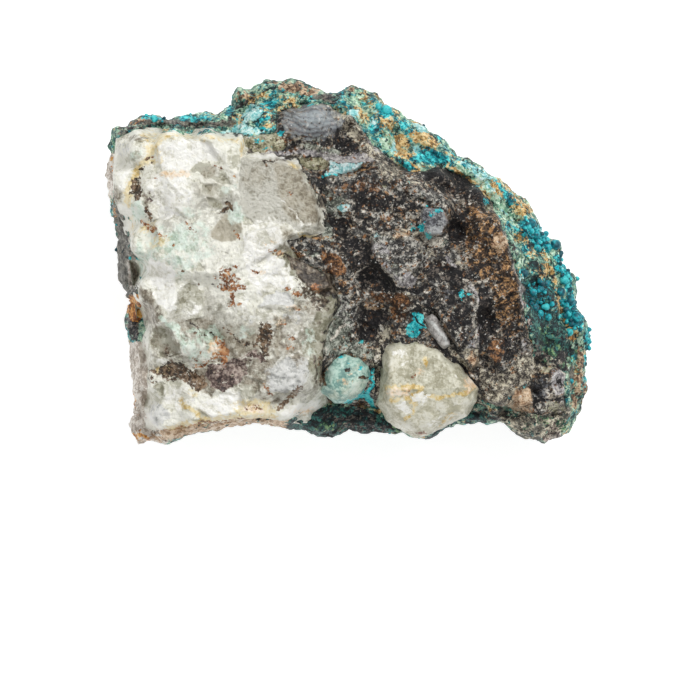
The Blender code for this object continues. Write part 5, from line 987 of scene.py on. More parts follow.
def matrix_height(x, y):
    """Height of the dark matrix: spots, broken chunks, dents, and grains of three sizes."""
    wx, wy = warped(x, y, 0.3, 1.6, 151)
    zone = np.minimum(edge_distance(wx, wy, MATRIX), -edge_distance(wx, wy, SLAB))
    chunk, _, _ = scoop_faces(wx, wy, CHUNK_SIZE, 29)
    p = flat_points(x, y)
    z = dented(x, y, spot_level(x, y) + CHUNK_DEPTH * chunk - SLAB_STEP)
    z += 0.45 * noise(p, 2.6, 31) + 0.35 * noise(p, 1.3, 37)
    z = faceted(x, y, z + 0.6 * scoop_faces(wx, wy, 0.4 * CHUNK_SIZE, 153)[0])
    z += 0.35 * (knobs(p, 1.1, 157) - 0.5) + 0.22 * (knobs(p, 0.55, 163) - 0.5) + 0.10 * noise(p, 0.3, 167)
    return z + seat(zone)


def body_height(x, y):
    """Height of the body's upper side: spots and dents, sunk where quartz or matrix lies over it."""
    hidden = np.maximum(edge_distance(x, y, SLAB), edge_distance(x, y, MATRIX))
    return dented(x, y, spot_level(x, y)) - 0.5 * SLAB_STEP + seat(-hidden) - 0.5 * SLAB_STEP


def under_height(x, y):
    """Height of the underside: a shallow bowl that rises towards the outline, with broad swells."""
    bowl = BOWL_RISE * (1 - np.exp(-0.5 * np.hypot((x + 2) / 27, (y + 1) / 19) ** 3))
    return bowl + 0.7 * noise(flat_points(x, y), 9.0, 41) - REST_DEPTH


def around(outline, count):
    """Points at even steps along a closed outline, starting at its first point."""
    loop = np.array(list(outline) + [outline[0]], dtype=float)
    run = np.concatenate([[0], np.cumsum(np.hypot(*np.diff(loop[:, :2], axis=0).T))])
    at = np.linspace(0, run[-1], count, endpoint=False)
    return np.stack([np.interp(at, run, loop[:, k]) for k in range(loop.shape[1])], axis=1)


def square_ring(n):
    """A square grid of 2n + 1 points a side: how far out each point's ring lies, and how far round."""
    v, u = np.meshgrid(np.linspace(-1, 1, 2 * n + 1), np.linspace(-1, 1, 2 * n + 1), indexing="ij")
    out = np.maximum(np.abs(u), np.abs(v))
    safe = np.where(out == 0, 1, out)
    a, b = u / safe, v / safe
    turn = np.select(
        [(b <= -1) & (a < 1), (a >= 1) & (b < 1), (b >= 1) & (a > -1)],
        [(a + 1) / 2, 1 + (b + 1) / 2, 2 + (1 - a) / 2],
        3 + (1 - b) / 2,
    )
    return out, turn / 4


def grid_rim(n):
    """Indices of a square grid's outer points, in turn from its first corner."""
    index = np.arange((2 * n + 1) ** 2).reshape(2 * n + 1, 2 * n + 1)
    return np.concatenate([index[0, :-1], index[:-1, -1], index[-1, :0:-1], index[:0:-1, 0]])


def ring_sheet(rim, centre, height, width, n, crowd):
    """A sheet of rings: each square ring of a grid is a shrunken copy of the rim around the centre.

    The outermost ring lies the given width inside the rim, and a crowd above 1 draws the rings
    together towards it: reach is 1 - (1 - out) to that power. Heights are height(x, y).
    """
    out, turn = square_ring(n)
    reach = 1 - (1 - out) ** crowd
    inner = 1 - np.minimum(width / np.hypot(*(rim[:, :2] - centre).T), 0.9)
    steps = np.linspace(0, 1, len(rim) + 1)
    shrink = reach * np.interp(turn, steps, np.append(inner, inner[0]))
    x = centre[0] + shrink * (np.interp(turn, steps, np.append(rim[:, 0], rim[0, 0])) - centre[0])
    y = centre[1] + shrink * (np.interp(turn, steps, np.append(rim[:, 1], rim[0, 1])) - centre[1])
    return np.stack([x.ravel(), y.ravel(), height(x.ravel(), y.ravel())], axis=1)


def ring_band(rim, centre, height, width, rows):
    """Rows from the rim to a sheet's edge: a quarter ellipse, upright at the rim and level at the end."""
    spokes = rim[:, :2] - centre
    inner = np.minimum(width / np.hypot(*spokes.T), 0.9)
    angle = np.linspace(0, np.pi / 2, rows + 1)[:-1, None]
    scale = 1 - inner * (1 - np.cos(angle))
    x = centre[0] + scale * spokes[:, 0]
    y = centre[1] + scale * spokes[:, 1]
    z = rim[:, 2] + (height(x.ravel(), y.ravel()).reshape(x.shape) - rim[:, 2]) * np.sin(angle)
    return np.stack([x, y, z], axis=2)


def grid_quads(n):
    """The quads of a square grid of 2n + 1 points a side, facing up."""
    index = np.arange((2 * n + 1) ** 2).reshape(2 * n + 1, 2 * n + 1)
    return np.stack([index[:-1, :-1], index[:-1, 1:], index[1:, 1:], index[1:, :-1]], axis=2).reshape(-1, 4)


def strip_quads(loops):
    """The quads between each loop of indices and the next one above it."""
    low, high = loops[:-1], loops[1:]
    quads = np.stack([low, np.roll(low, -1, axis=1), np.roll(high, -1, axis=1), high], axis=2)
    return quads.reshape(-1, 4)


def full_lump(outline, centre, top, under, shoulder, belly, n, rows, crowd):
    """A closed lump of two ring sheets, joined by a band above and one below the widest line."""
    rim = around(outline, 8 * n)
    centre = np.array(centre, dtype=float)
    side = (2 * n + 1) ** 2
    upper = side * 2 + np.arange(rows[0] * len(rim)).reshape(rows[0], len(rim))
    lower = upper[-1, -1] + 1 + np.arange((rows[1] - 1) * len(rim)).reshape(rows[1] - 1, len(rim))
    points = np.concatenate([
        ring_sheet(rim, centre, top, shoulder, n, crowd),
        ring_sheet(rim, centre, under, belly, n, crowd),
        ring_band(rim, centre, top, shoulder, rows[0]).reshape(-1, 3),
        ring_band(rim, centre, under, belly, rows[1])[1:].reshape(-1, 3),
    ])
    loops = np.concatenate([(grid_rim(n) + side)[None], lower[::-1], upper, grid_rim(n)[None]])
    quads = grid_quads(n)
    return points, np.concatenate([quads, quads[:, ::-1] + side, strip_quads(loops)])


def skirt(outline, centre, grow):
    """Rim of a skin: its outline let out, held inside the stone, at a height below the body's surface."""
    edge = grown(outline, centre, grow)
    border = [corner[:2] for corner in OUTLINE]
    margin = np.clip(RIM_MARGIN - edge_distance(edge[:, 0], edge[:, 1], border), 0, 3)
    inward = centre - edge
    edge = edge + inward * (margin / np.linalg.norm(inward, axis=1))[:, None]
    level = np.minimum(spot_level(edge[:, 0], edge[:, 1]) - 3.2, body_height(edge[:, 0], edge[:, 1]) - 1.0)
    return np.column_stack([edge, level])


def capped_lump(outline, centre, top, foot, shoulder, n, rows, crowd):
    """A closed lump of one ring sheet and a band, whose sides drop to a flat foot.

    The foot is a fan of quads that fold at the centre: rim point, next but one, and the centre.
    """
    rim = around(outline, 8 * n)
    centre = np.array(centre, dtype=float)
    side = (2 * n + 1) ** 2
    band = side + np.arange(rows * len(rim)).reshape(rows, len(rim))
    base = band[-1, -1] + 1 + np.arange(len(rim))
    middle = base[-1] + 1
    points = np.concatenate([
        ring_sheet(rim, centre, top, shoulder, n, crowd),
        ring_band(rim, centre, top, shoulder, rows).reshape(-1, 3),
        np.column_stack([rim[:, :2], np.full(len(rim), foot)]),
        [[centre[0], centre[1], foot]],
    ])
    quads = [grid_quads(n), strip_quads(np.concatenate([base[None], band, grid_rim(n)[None]]))]
    after, last = np.roll(base, -1), np.roll(base, -2)
    quads.append(np.stack([last, after, base, np.full(len(rim), middle)], axis=1)[::2])
    return points, np.concatenate(quads)


def outward(points, quads):
    """Unit normal at each point: the sum of the cross products of the diagonals of its quads."""
    a, b, c, d = (points[quads[:, k]] for k in range(4))
    face = np.cross(c - a, d - b)
    total = np.zeros_like(points)
    for k in range(4):
        for axis in range(3):
            total[:, axis] += np.bincount(quads[:, k], face[:, axis], len(points))
    return total / np.maximum(np.linalg.norm(total, axis=1), 1e-12)[:, None]


def marked(x, y, rows):
    """Strength of the colour marks, 0 to 1, the strongest counts: a flat-topped ellipse around a spot,
    a soft stripe along a line, and a field with a soft rim."""
    best = np.zeros(len(x))
    for row in rows:
        if len(row) == 6:
            cx, cy, half_x, half_y, turn, strength = row
            cos, sin = np.cos(np.radians(turn)), np.sin(np.radians(turn))
            u = ((x - cx) * cos + (y - cy) * sin) / half_x
            v = ((y - cy) * cos - (x - cx) * sin) / half_y
            share = np.exp(-0.7 * (u * u + v * v) ** 1.5)
        elif len(row) == 3:
            half, strength, points = row
            away = np.min([line_distance(x, y, a, b) for a, b in zip(points, points[1:])], axis=0)
            share = np.exp(-0.7 * (away / half) ** 2)
        else:
            strength, corners = row
            share = ramp(edge_distance(x, y, corners), 0.3 + 3.0 * (1.0 - strength))
        best = np.maximum(best, strength * share)
    return best


def mark_layers(points, marks, reach, seed):
    """One layer of strengths for each mineral in the marks, its edges pushed about by noise."""
    x, y = warped(points[:, 0], points[:, 1], reach, 1.6, seed)
    x, y = warped(x, y, 0.5 * reach, 0.55, seed + 20)
    return {name: marked(x, y, rows) for name, rows in marks.items()}


def add_mesh(name, points, quads, layers=None, smooth=True):
    """A mesh object at the origin from points in millimetres, with its layers as point attributes."""
    mesh = bpy.data.meshes.new(name)
    mesh.vertices.add(len(points))
    mesh.vertices.foreach_set("co", (points * MM).astype(np.float32).ravel())
    mesh.loops.add(quads.size)
    mesh.loops.foreach_set("vertex_index", quads.astype(np.int32).ravel())
    mesh.polygons.add(len(quads))
    mesh.polygons.foreach_set("loop_start", np.arange(0, quads.size, quads.shape[1], dtype=np.int32))
    mesh.polygons.foreach_set("use_smooth", np.full(len(quads), smooth))
    mesh.update(calc_edges=True)
    mesh.validate()
    for layer, values in (layers or {}).items():
        attribute = mesh.attributes.new(layer, "FLOAT", "POINT")
        attribute.data.foreach_set("value", values.astype(np.float32))
    obj = bpy.data.objects.new(name, mesh)
    bpy.context.scene.collection.objects.link(obj)
    return obj


def settle(obj, material):
    """Gives a piece its material and ties it to the stone."""
    obj.data.materials.append(material)
    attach(obj, BODY)


class Graph:
    """Shorthand for one node tree: every call adds a node, sets or joins its inputs, and returns its
    output. A number or a tuple sets an input and a socket is joined to it."""

    def __init__(self, tree):
        self.tree = tree

    def feed(self, socket, value):
        if isinstance(value, bpy.types.NodeSocket):
            self.tree.links.new(value, socket)
        elif isinstance(value, tuple) and len(value) == 3 and socket.type == "RGBA":
            socket.default_value = (*value, 1.0)
        else:
            socket.default_value = value

    def add(self, kind, inputs, **settings):
        node = self.tree.nodes.new(kind)
        for name, value in settings.items():
            setattr(node, name, value)
        for name, value in inputs.items():
            self.feed(node.inputs[name], value)
        return node

    def math(self, operation, a, b=0.0, clamp=False):
        node = self.add("ShaderNodeMath", {0: a, 1: b}, operation=operation, use_clamp=clamp)
        return node.outputs[0]

    def blend(self, share, a, b, mode="MIX"):
        node = self.add("ShaderNodeMix", {}, data_type="RGBA", blend_type=mode)
        for index, value in ((0, share), (6, a), (7, b)):
            self.feed(node.inputs[index], value)
        return node.outputs[2]

    def noise(self, place, scale, detail=4.0, rough=0.55, bend=0.0):
        inputs = {"Vector": place, "Scale": scale, "Detail": detail, "Roughness": rough, "Distortion": bend}
        return self.add("ShaderNodeTexNoise", inputs).outputs["Fac"]

    def cells(self, place, scale, feature="F1", output="Distance"):
        inputs = {"Vector": place, "Scale": scale}
        return self.add("ShaderNodeTexVoronoi", inputs, feature=feature).outputs[output]

    def spread(self, value, low, high, start=0.0, end=1.0):
        inputs = {"Value": value, "From Min": low, "From Max": high, "To Min": start, "To Max": end}
        return self.add("ShaderNodeMapRange", inputs, interpolation_type="SMOOTHSTEP").outputs[0]

    def layer(self, name):
        return self.add("ShaderNodeAttribute", {}, attribute_name=name).outputs["Fac"]

    def millimetres(self):
        place = self.add("ShaderNodeTexCoord", {}).outputs["Object"]
        return self.add("ShaderNodeMapping", {"Vector": place, "Scale": (1 / MM, 1 / MM, 1 / MM)}).outputs[0]

    def group(self, name, output, **inputs):
        node = self.add("ShaderNodeGroup", {}, node_tree=bpy.data.node_groups[name])
        for key, value in inputs.items():
            self.feed(node.inputs[key.replace("_", " ")], value)
        return node.outputs[output]


def new_group(name, inputs, outputs):
    """An empty shader group with those sockets, and the ends to wire it between."""
    tree = bpy.data.node_groups.new(name, "ShaderNodeTree")
    for title, kind, default in inputs:
        socket = tree.interface.new_socket(title, in_out="INPUT", socket_type=kind)
        if default is not None:
            socket.default_value = default
    for title, kind in outputs:
        tree.interface.new_socket(title, in_out="OUTPUT", socket_type=kind)
    start = tree.nodes.new("NodeGroupInput")
    end = tree.nodes.new("NodeGroupOutput")
    return Graph(tree), start.outputs, end.inputs


def build_ragged_edge():
    """Mineral edge: the mask with noise of two sizes added where it isn't empty, cut off in the middle."""
    graph, start, end = new_group(
        "Ragged edge",
        [("Place", "NodeSocketVector", None), ("Mask", "NodeSocketFloat", 0.0),
         ("Grain", "NodeSocketFloat", 1.5), ("Fray", "NodeSocketFloat", 0.8),
         ("Softness", "NodeSocketFloat", 0.08)],
        [("Share", "NodeSocketFloat")],
    )
    noise_value = graph.noise(start["Place"], start["Grain"], 4.0, 0.65)
    shift = graph.math("MULTIPLY", graph.math("SUBTRACT", noise_value, 0.5), start["Fray"])
    there = graph.spread(start["Mask"], 0.0, 0.3, 0.0, 3.0)
    worn = graph.math("ADD", start["Mask"], graph.math("MULTIPLY", shift, there))
    low = graph.math("SUBTRACT", 0.5, start["Softness"])
    high = graph.math("ADD", 0.5, start["Softness"])
    graph.feed(end["Share"], graph.spread(worn, low, high))


def build_grit():
    """Mineral grains: noise of two sizes, angular cells and a lift pick the dark, middle or light colour."""
    graph, start, end = new_group(
        "Grit",
        [("Place", "NodeSocketVector", None), ("Size", "NodeSocketFloat", 2.0), ("Lift", "NodeSocketFloat", 0.0),
         ("Chips", "NodeSocketFloat", 0.25), ("Softness", "NodeSocketFloat", 0.04),
         ("Dark", "NodeSocketColor", None), ("Middle", "NodeSocketColor", None),
         ("Light", "NodeSocketColor", None)],
        [("Colour", "NodeSocketColor"), ("Height", "NodeSocketFloat")],
    )
    coarse = graph.noise(start["Place"], graph.math("MULTIPLY", start["Size"], 0.45), 4.0, 0.62)
    fine = graph.noise(start["Place"], graph.math("MULTIPLY", start["Size"], 1.7), 2.0, 0.6)
    push = graph.add("ShaderNodeVectorMath", {0: start["Place"], 1: graph.math("MULTIPLY", fine, 0.5)},
                     operation="ADD").outputs[0]
    cell = graph.add("ShaderNodeTexVoronoi", {"Vector": push, "Scale": start["Size"]})
    drawn = graph.add("ShaderNodeSeparateColor", {"Color": cell.outputs["Color"]}).outputs[0]
    drawn = graph.math("MULTIPLY", graph.math("SUBTRACT", drawn, 0.5), start["Chips"])
    blended = graph.math("ADD", graph.math("MULTIPLY", coarse, 0.55), graph.math("MULTIPLY", fine, 0.45))
    value = graph.math("ADD", graph.math("ADD", blended, drawn), start["Lift"])
    colour = start["Dark"]
    for centre, step in ((0.46, start["Middle"]), (0.555, start["Light"])):
        low = graph.math("SUBTRACT", centre, start["Softness"])
        high = graph.math("ADD", centre, start["Softness"])
        colour = graph.blend(graph.spread(value, low, high), colour, step)
    graph.feed(end["Colour"], colour)
    graph.feed(end["Height"], value)


def stops(mineral):
    """The three colours of a mineral from the scene's settings."""
    colours = bpy.context.scene.stone_colours
    return [tuple(getattr(colours, f"{mineral}_{step}")) for step in STEPS]


def grits(graph, place, size, softness, chip, ground, layers, lift=0.0):
    """Colour and height of a skin: a ground mineral with layers of other minerals over it.

    A layer is a mask or the name of its attribute, the mineral, the grain of its edge per millimetre,
    how frayed and how soft that edge is, and how much it lifts the grains towards light; one that
    lowers them also hides the lift of what lies below it.
    """
    colours = stops(ground)
    for mask, mineral, grain, fray, soft, lift_by in layers:
        mask = graph.layer(mask) if isinstance(mask, str) else mask
        share = graph.group("Ragged edge", "Share", Place=place, Mask=mask, Grain=grain, Fray=fray, Softness=soft)
        colours = [graph.blend(share, old, new) for old, new in zip(colours, stops(mineral))]
        if lift_by < 0:
            lift = graph.math("MULTIPLY", lift, graph.math("SUBTRACT", 1.0, share))
        if lift_by:
            lift = graph.math("ADD", lift, graph.math("MULTIPLY", share, lift_by))
    node = graph.add("ShaderNodeGroup", {}, node_tree=bpy.data.node_groups["Grit"])
    sockets = ("Place", "Size", "Lift", "Chips", "Softness", "Dark", "Middle", "Light")
    for name, value in zip(sockets, (place, size, lift, chip, softness, *colours)):
        graph.feed(node.inputs[name], value)
    return node.outputs["Colour"], node.outputs["Height"]


def toned(graph, colour, value, low, high):
    """The colour made darker or lighter: multiplied by a grey that runs from low to high."""
    grey = graph.spread(value, 0.0, 1.0, low, high)
    grey = graph.add("ShaderNodeCombineColor", {"Red": grey, "Green": grey, "Blue": grey}).outputs[0]
    return graph.blend(1.0, colour, grey, "MULTIPLY")


def chips(graph, place, per_mm):
    """Small broken faces: a number for each bent cell, and lines where two of them meet."""
    push = graph.noise(place, 0.8 * per_mm, 3.0, 0.6)
    bent = graph.add("ShaderNodeVectorMath", {0: place, 1: push}, operation="ADD").outputs[0]
    cell = graph.add("ShaderNodeTexVoronoi", {"Vector": bent, "Scale": per_mm})
    drawn = graph.add("ShaderNodeSeparateColor", {"Color": cell.outputs["Color"]}).outputs[0]
    rim = graph.cells(bent, per_mm, "DISTANCE_TO_EDGE")
    return drawn, graph.spread(rim, 0.0, 0.09, 1.0, 0.0)


def finished_material(name, build, roughness_default=0.5, **constants):
    """A material whose Principled shader takes colour, roughness and bump from the build function."""
    material = bpy.data.materials.new(name)
    material.use_nodes = True
    graph = Graph(material.node_tree)
    shader = material.node_tree.nodes["Principled BSDF"]
    for key, value in constants.items():
        graph.feed(shader.inputs[key.replace("_", " ")], value)
    colour, roughness, height, relief = build(graph, graph.millimetres())
    graph.feed(shader.inputs["Base Color"], colour)
    graph.feed(shader.inputs["Roughness"], roughness if roughness is not None else roughness_default)
    bump = graph.add("ShaderNodeBump", {"Strength": 1.0, "Distance": relief * MM, "Height": height})
    graph.feed(shader.inputs["Normal"], bump.outputs[0])
    return material


def quartz_look(graph, place):
    """Milky quartz: clouds and broken faces of white, grey and mint, with yellow, rust and brown."""
    cloud = graph.noise(place, 0.3, 4.0, 0.6, 0.4)
    drawn, rim = chips(graph, place, 0.7)
    lift = graph.math("MULTIPLY", graph.math("SUBTRACT", graph.layer("tone"), 0.5), 0.22)
    lift = graph.math("ADD", lift, graph.math("MULTIPLY", graph.math("SUBTRACT", drawn, 0.5), 0.12))
    calm = graph.spread(graph.layer("haze"), 0.0, 1.0, 0.45, 0.14)
    lift = graph.math("ADD", lift, graph.math("MULTIPLY", graph.math("SUBTRACT", cloud, 0.48), calm))
    lift = graph.math("ADD", lift, graph.math("MULTIPLY", rim, 0.08))
    crest = graph.math("POWER", graph.math("SUBTRACT", 1.0, graph.layer("crest")), 2.0)
    lift = graph.math("ADD", lift, graph.math("MULTIPLY", crest, 0.12))
    lift = graph.math("ADD", lift, graph.math("MULTIPLY", graph.layer("arcs"), 0.09))
    colour, height = grits(graph, place, 1.4, 0.09, 0.1, "quartz", (
        ("plain", "plain", 1.2, 0.7, 0.25, 0.0), ("window", "window", 1.2, 0.8, 0.2, 0.0),
        ("pearl", "pearl", 1.4, 0.8, 0.2, 0.02), ("smoke", "smoke", 1.2, 0.75, 0.4, -0.01),
        ("haze", "haze", 1.0, 0.5, 0.6, 0.0),
        ("mint", "quartz_mint", 0.9, 0.9, 0.4, 0.0), ("frost", "frost", 1.2, 0.7, 0.3, 0.02),
        ("yellow", "yellow", 1.5, 1.0, 0.4, 0.0), ("peach", "peach", 1.6, 1.0, 0.35, 0.0),
        ("mauve", "mauve", 1.8, 1.3, 0.12, -0.01), ("contact", "window", 1.0, 0.9, 0.25, -0.02),
        ("dusk", "dusk", 1.4, 1.0, 0.15, -0.01),
        ("rust", "rust", 2.6, 1.5, 0.1, -0.01), ("brown", "brown", 2.4, 1.3, 0.08, -0.001),
        ("rim", "matrix", 1.3, 1.2, 0.08, -0.01),
    ), lift)
    rough = graph.spread(height, 0.35, 0.65, 0.5, 0.28)
    return colour, rough, height, 0.4


def matrix_look(graph, place):
    """Dark matrix: black and brown grains, with patches of ash, sand, coal, quartz and chrysocolla."""
    drift = [graph.spread(graph.noise(place, scale, 5.0, 0.7, bend), low, 0.66) for scale, bend, low in (
        (0.9, 0.2, 0.42), (1.1, 0.5, 0.53), (0.7, 0.3, 0.54))]
    lift = graph.math("MULTIPLY", graph.math("SUBTRACT", graph.noise(place, 0.28, 4.0, 0.65, 0.5), 0.5), 0.45)
    drawn, _rim = chips(graph, place, 2.6)
    # Partly white quartz grains, partly painted glints: small snow-coloured cells that stand in for the sparkle of the
    # druse.
    white_grain_and_glint = graph.math("MULTIPLY", graph.spread(drawn, 0.945, 0.96), graph.spread(drift[0], 0.0, 0.4, 0.3, 0.8))
    ember = graph.spread(drawn, 0.05, 0.04, 0.0, 0.8)
    colour, height = grits(graph, place, 2.5, 0.045, 0.16, "matrix", (
        (drift[0], "ash", 2.0, 0.9, 0.12, 0.0), (drift[1], "umber", 2.2, 1.0, 0.1, 0.0),
        (drift[2], "sand", 2.2, 1.0, 0.1, 0.0), ("glass", "glass", 1.6, 1.1, 0.12, 0.0),
        ("brown", "umber", 1.4, 1.1, 0.1, 0.0), ("tan", "sand", 1.6, 1.1, 0.08, -0.01),
        ("grey", "ash", 1.3, 1.0, 0.12, 0.0), ("beige", "beige", 1.4, 1.0, 0.12, 0.01),
        # The black and crack layers also carry painted shadow in the recess under the crust's teal ledge.
        ("black", "coal", 1.5, 1.1, 0.1, -0.04), ("olive", "olive", 1.3, 1.0, 0.15, 0.0),
        ("lilac", "lilac", 1.4, 1.0, 0.2, 0.02), ("block", "flesh", 1.8, 0.9, 0.2, 0.03),
        ("sheet", "sheet", 1.8, 1.0, 0.15, 0.02), ("white", "snow", 2.2, 1.5, 0.1, 0.04),
        (white_grain_and_glint, "snow", 3.0, 1.2, 0.3, 0.03), (ember, "umber", 3.0, 0.8, 0.2, 0.0),
        ("steel", "steel", 1.3, 0.9, 0.2, 0.0),
        ("teal", "cyan", 2.6, 1.2, 0.06, 0.04), ("crack", "coal", 2.4, 1.0, 0.08, -0.08),
    ), lift)
    bands = graph.blend(graph.layer("bands"), linear(110, 110, 114), linear(190, 200, 204))
    lens = graph.group("Ragged edge", "Share", Place=place, Mask=graph.layer("lens"), Grain=1.6, Fray=1.4,
                       Softness=0.25)
    colour = graph.blend(graph.math("MULTIPLY", lens, 0.68), colour, bands)
    rough = graph.spread(height, 0.35, 0.65, 0.7, 0.32)
    return colour, rough, height, 0.6


def crust_look(graph, place):
    """Crust: streaks and mottles that run along the edge, with the marked patches above them."""
    part = graph.add("ShaderNodeSeparateXYZ", {0: place}).outputs
    across = graph.math("ADD", graph.math("MULTIPLY", graph.layer("rim"), 0.5), graph.noise(place, 0.5, 3.0))
    down = graph.math("MULTIPLY", part[2], 0.7)
    inputs = {"X": part[0], "Y": part[1], "Z": graph.math("ADD", across, down)}
    streak = graph.add("ShaderNodeCombineXYZ", inputs).outputs[0]
    drift = [graph.spread(graph.noise(streak, scale, 5.0, 0.7, bend), 0.5, 0.62) for scale, bend in (
        (0.34, 0.4), (0.55, 0.6), (0.8, 0.2), (0.62, 0.9))]
    drawn, _rim = chips(graph, streak, 2.4)
    fleck = graph.math("SUBTRACT", graph.spread(drawn, 0.07, 0.05, 0.0, 0.7), graph.layer("wall"))
    colour, height = grits(graph, streak, 2.2, 0.045, 0.2, "crust", (
        (drift[0], "ochre", 1.4, 1.2, 0.1, 0.0), (drift[1], "teal", 1.4, 1.2, 0.1, 0.0),
        (drift[2], "mint", 1.4, 1.2, 0.1, 0.0), (drift[3], "deep", 1.2, 1.0, 0.1, 0.0),
        ("wall", "wall", 0.9, 0.8, 0.12, 0.0), ("grey", "slate", 1.0, 0.6, 0.2, 0.0),
        # This layer is painted light: pale wall colour over a shaded slot in the left wall.
        ("ledge", "wall", 1.0, 0.6, 0.3, 0.0),
        ("tan", "tan", 1.4, 1.2, 0.1, 0.0), ("deep", "deep", 1.2, 1.1, 0.1, 0.0),
        ("dark", "coal", 1.4, 1.2, 0.1, 0.0), ("green", "green", 1.4, 1.2, 0.1, 0.0),
        ("mauve", "mauve", 1.4, 1.0, 0.1, 0.0), ("ochre", "ochre", 1.7, 1.6, 0.1, 0.0),
        ("mint", "mint", 1.5, 1.4, 0.15, 0.0), ("orange", "orange", 1.5, 1.1, 0.1, 0.0),
        ("teal", "teal", 1.5, 1.3, 0.1, 0.0), ("pale", "pale", 1.5, 1.2, 0.15, 0.0),
        ("loam", "beige", 2.2, 1.6, 0.1, 0.0), ("shade", "deep", 1.6, 1.1, 0.1, 0.0), ("strata", "strata", 1.6, 0.8, 0.2, 0.0),
        ("cyan", "cyan", 1.8, 1.1, 0.1, 0.02), (fleck, "deep", 2.8, 0.8, 0.2, -0.02),
    ))
    # Painted shade and light: the crust darkened in the hollows between its knobs and lightened on their tops.
    colour = toned(graph, colour, graph.layer("hollow"), 0.76, 1.12)
    rough = graph.spread(height, 0.35, 0.65, 0.7, 0.4)
    return colour, rough, height, 0.5


def pale_nodule_look(graph, place):
    """Pale nodule: grey-cream quartz with a yellow band, white chips and faint green."""
    drawn, rim = chips(graph, place, 0.7)
    cloud = graph.noise(place, 0.4, 4.0, 0.6, 0.5)
    lift = graph.math("MULTIPLY", graph.math("SUBTRACT", drawn, 0.5), 0.1)
    lift = graph.math("ADD", lift, graph.math("MULTIPLY", graph.math("SUBTRACT", cloud, 0.5), 0.4))
    lift = graph.math("ADD", lift, graph.math("MULTIPLY", rim, 0.05))
    colour, height = grits(graph, place, 1.6, 0.09, 0.1, "nodule", (
        # The light layer paints the nodule's lower face lighter: painted light.
        ("light", "cream", 1.1, 0.8, 0.4, 0.0), ("yellow", "yellow", 1.5, 1.1, 0.35, 0.0),
        ("peach", "peach", 1.5, 1.0, 0.35, 0.0), ("white", "frost", 1.8, 1.2, 0.2, 0.02),
        ("rust", "rust", 2.4, 1.3, 0.1, 0.0),
    ), lift)
    return colour, graph.spread(height, 0.35, 0.65, 0.45, 0.25), height, 0.3


def teal_nodule_look(graph, place):
    """Teal nodule: pale blue-green, clouded, with small dark pits and cyan at its foot."""
    cloud = graph.noise(place, 0.6, 4.0, 0.6, 0.5)
    lift = graph.math("MULTIPLY", graph.math("SUBTRACT", cloud, 0.5), 0.5)
    colour, height = grits(graph, place, 1.8, 0.08, 0.12, "lagoon", (
        ("white", "quartz_mint", 1.4, 1.0, 0.4, 0.02), ("peach", "peach", 1.6, 1.0, 0.3, 0.0),
        ("teal", "cyan", 1.8, 1.2, 0.1, 0.0), ("brown", "brown", 2.4, 0.8, 0.1, -0.05),
    ), lift)
    return colour, graph.spread(height, 0.35, 0.65, 0.45, 0.25), height, 0.3


def grey_crystal_look(graph, place):
    """Grey crystal: smoky quartz, with a painted highlight along its crest."""
    colour, height = grits(graph, place, 1.6, 0.12, 0.1, "crystal", (
        ("white", "pearl", 1.2, 0.8, 0.3, 0.0),), 0.0)
    return colour, graph.spread(height, 0.35, 0.65, 0.45, 0.25), height, 0.3


def ball_look(graph, place):
    """Balls: blue-green, each a little lighter or deeper than the next."""
    lift = graph.math("MULTIPLY", graph.math("SUBTRACT", graph.layer("tone"), 0.5), 0.26)
    pick = graph.math("MULTIPLY", graph.layer("tone"), 0.6)
    colour, height = grits(graph, place, 1.6, 0.09, 0.06, "ball", ((pick, "teal", 1.2, 0.8, 0.3, 0.0),), lift)
    return colour, 0.5, height, 0.1


def glint_look(graph, place):
    """Small quartz points: grey to white, some of them tan."""
    lift = graph.math("MULTIPLY", graph.math("SUBTRACT", graph.layer("tone"), 0.5), 0.4)
    colour, height = grits(graph, place, 1.2, 0.06, 0.1, "beige", (
        (graph.layer("tone"), "pearl", 1.0, 0.6, 0.1, 0.0),), lift)
    return colour, 0.2, height, 0.03


def build_materials():
    build_ragged_edge()
    build_grit()
    milky = {"Subsurface_Weight": 0.2, "Subsurface_Radius": (1.0, 1.0, 0.9), "Subsurface_Scale": 0.5 * MM}
    return {
        "milky_quartz": finished_material("milky_quartz", quartz_look, **milky),
        "dark_matrix": finished_material("dark_matrix", matrix_look),
        "crust": finished_material("crust", crust_look),
        "pale_nodule": finished_material("pale_nodule", pale_nodule_look, **milky),
        "teal_nodule": finished_material("teal_nodule", teal_nodule_look, **milky),
        "grey_crystal": finished_material("grey_crystal", grey_crystal_look),
        "balls": finished_material("balls", ball_look),
        "glints": finished_material("glints", glint_look),
    }


def colour_property(mineral, step, rgb):
    """The setting for one grain colour of a mineral."""
    return bpy.props.FloatVectorProperty(
        name=f"{mineral.replace('_', ' ').capitalize()}, {step}", subtype="COLOR", size=3, min=0, max=1,
        description=f"Colour of the {step} grains of this mineral", default=linear(*rgb),
    )


StoneColours = type("StoneColours", (bpy.types.PropertyGroup,), {"__annotations__": {
    f"{mineral}_{step}": colour_property(mineral, step, rgb)
    for mineral, colours in MINERALS.items() for step, rgb in zip(STEPS, colours)
}})


class StoneSizes(bpy.types.PropertyGroup):
    quartz_rings: bpy.props.IntProperty(
        name="Quartz rings", description="Fineness of the quartz and matrix skins", default=146, min=20, max=150,
    )
    body_rings: bpy.props.IntProperty(
        name="Body rings", description="Fineness of the crusted body", default=92, min=20, max=95,
    )
    small_balls: bpy.props.IntProperty(
        name="Small balls", description="Number of small balls in the bright crust", default=650, min=0,
    )
    glints: bpy.props.IntProperty(
        name="Glints", description="Number of small quartz points in the matrix", default=1000, min=0,
    )


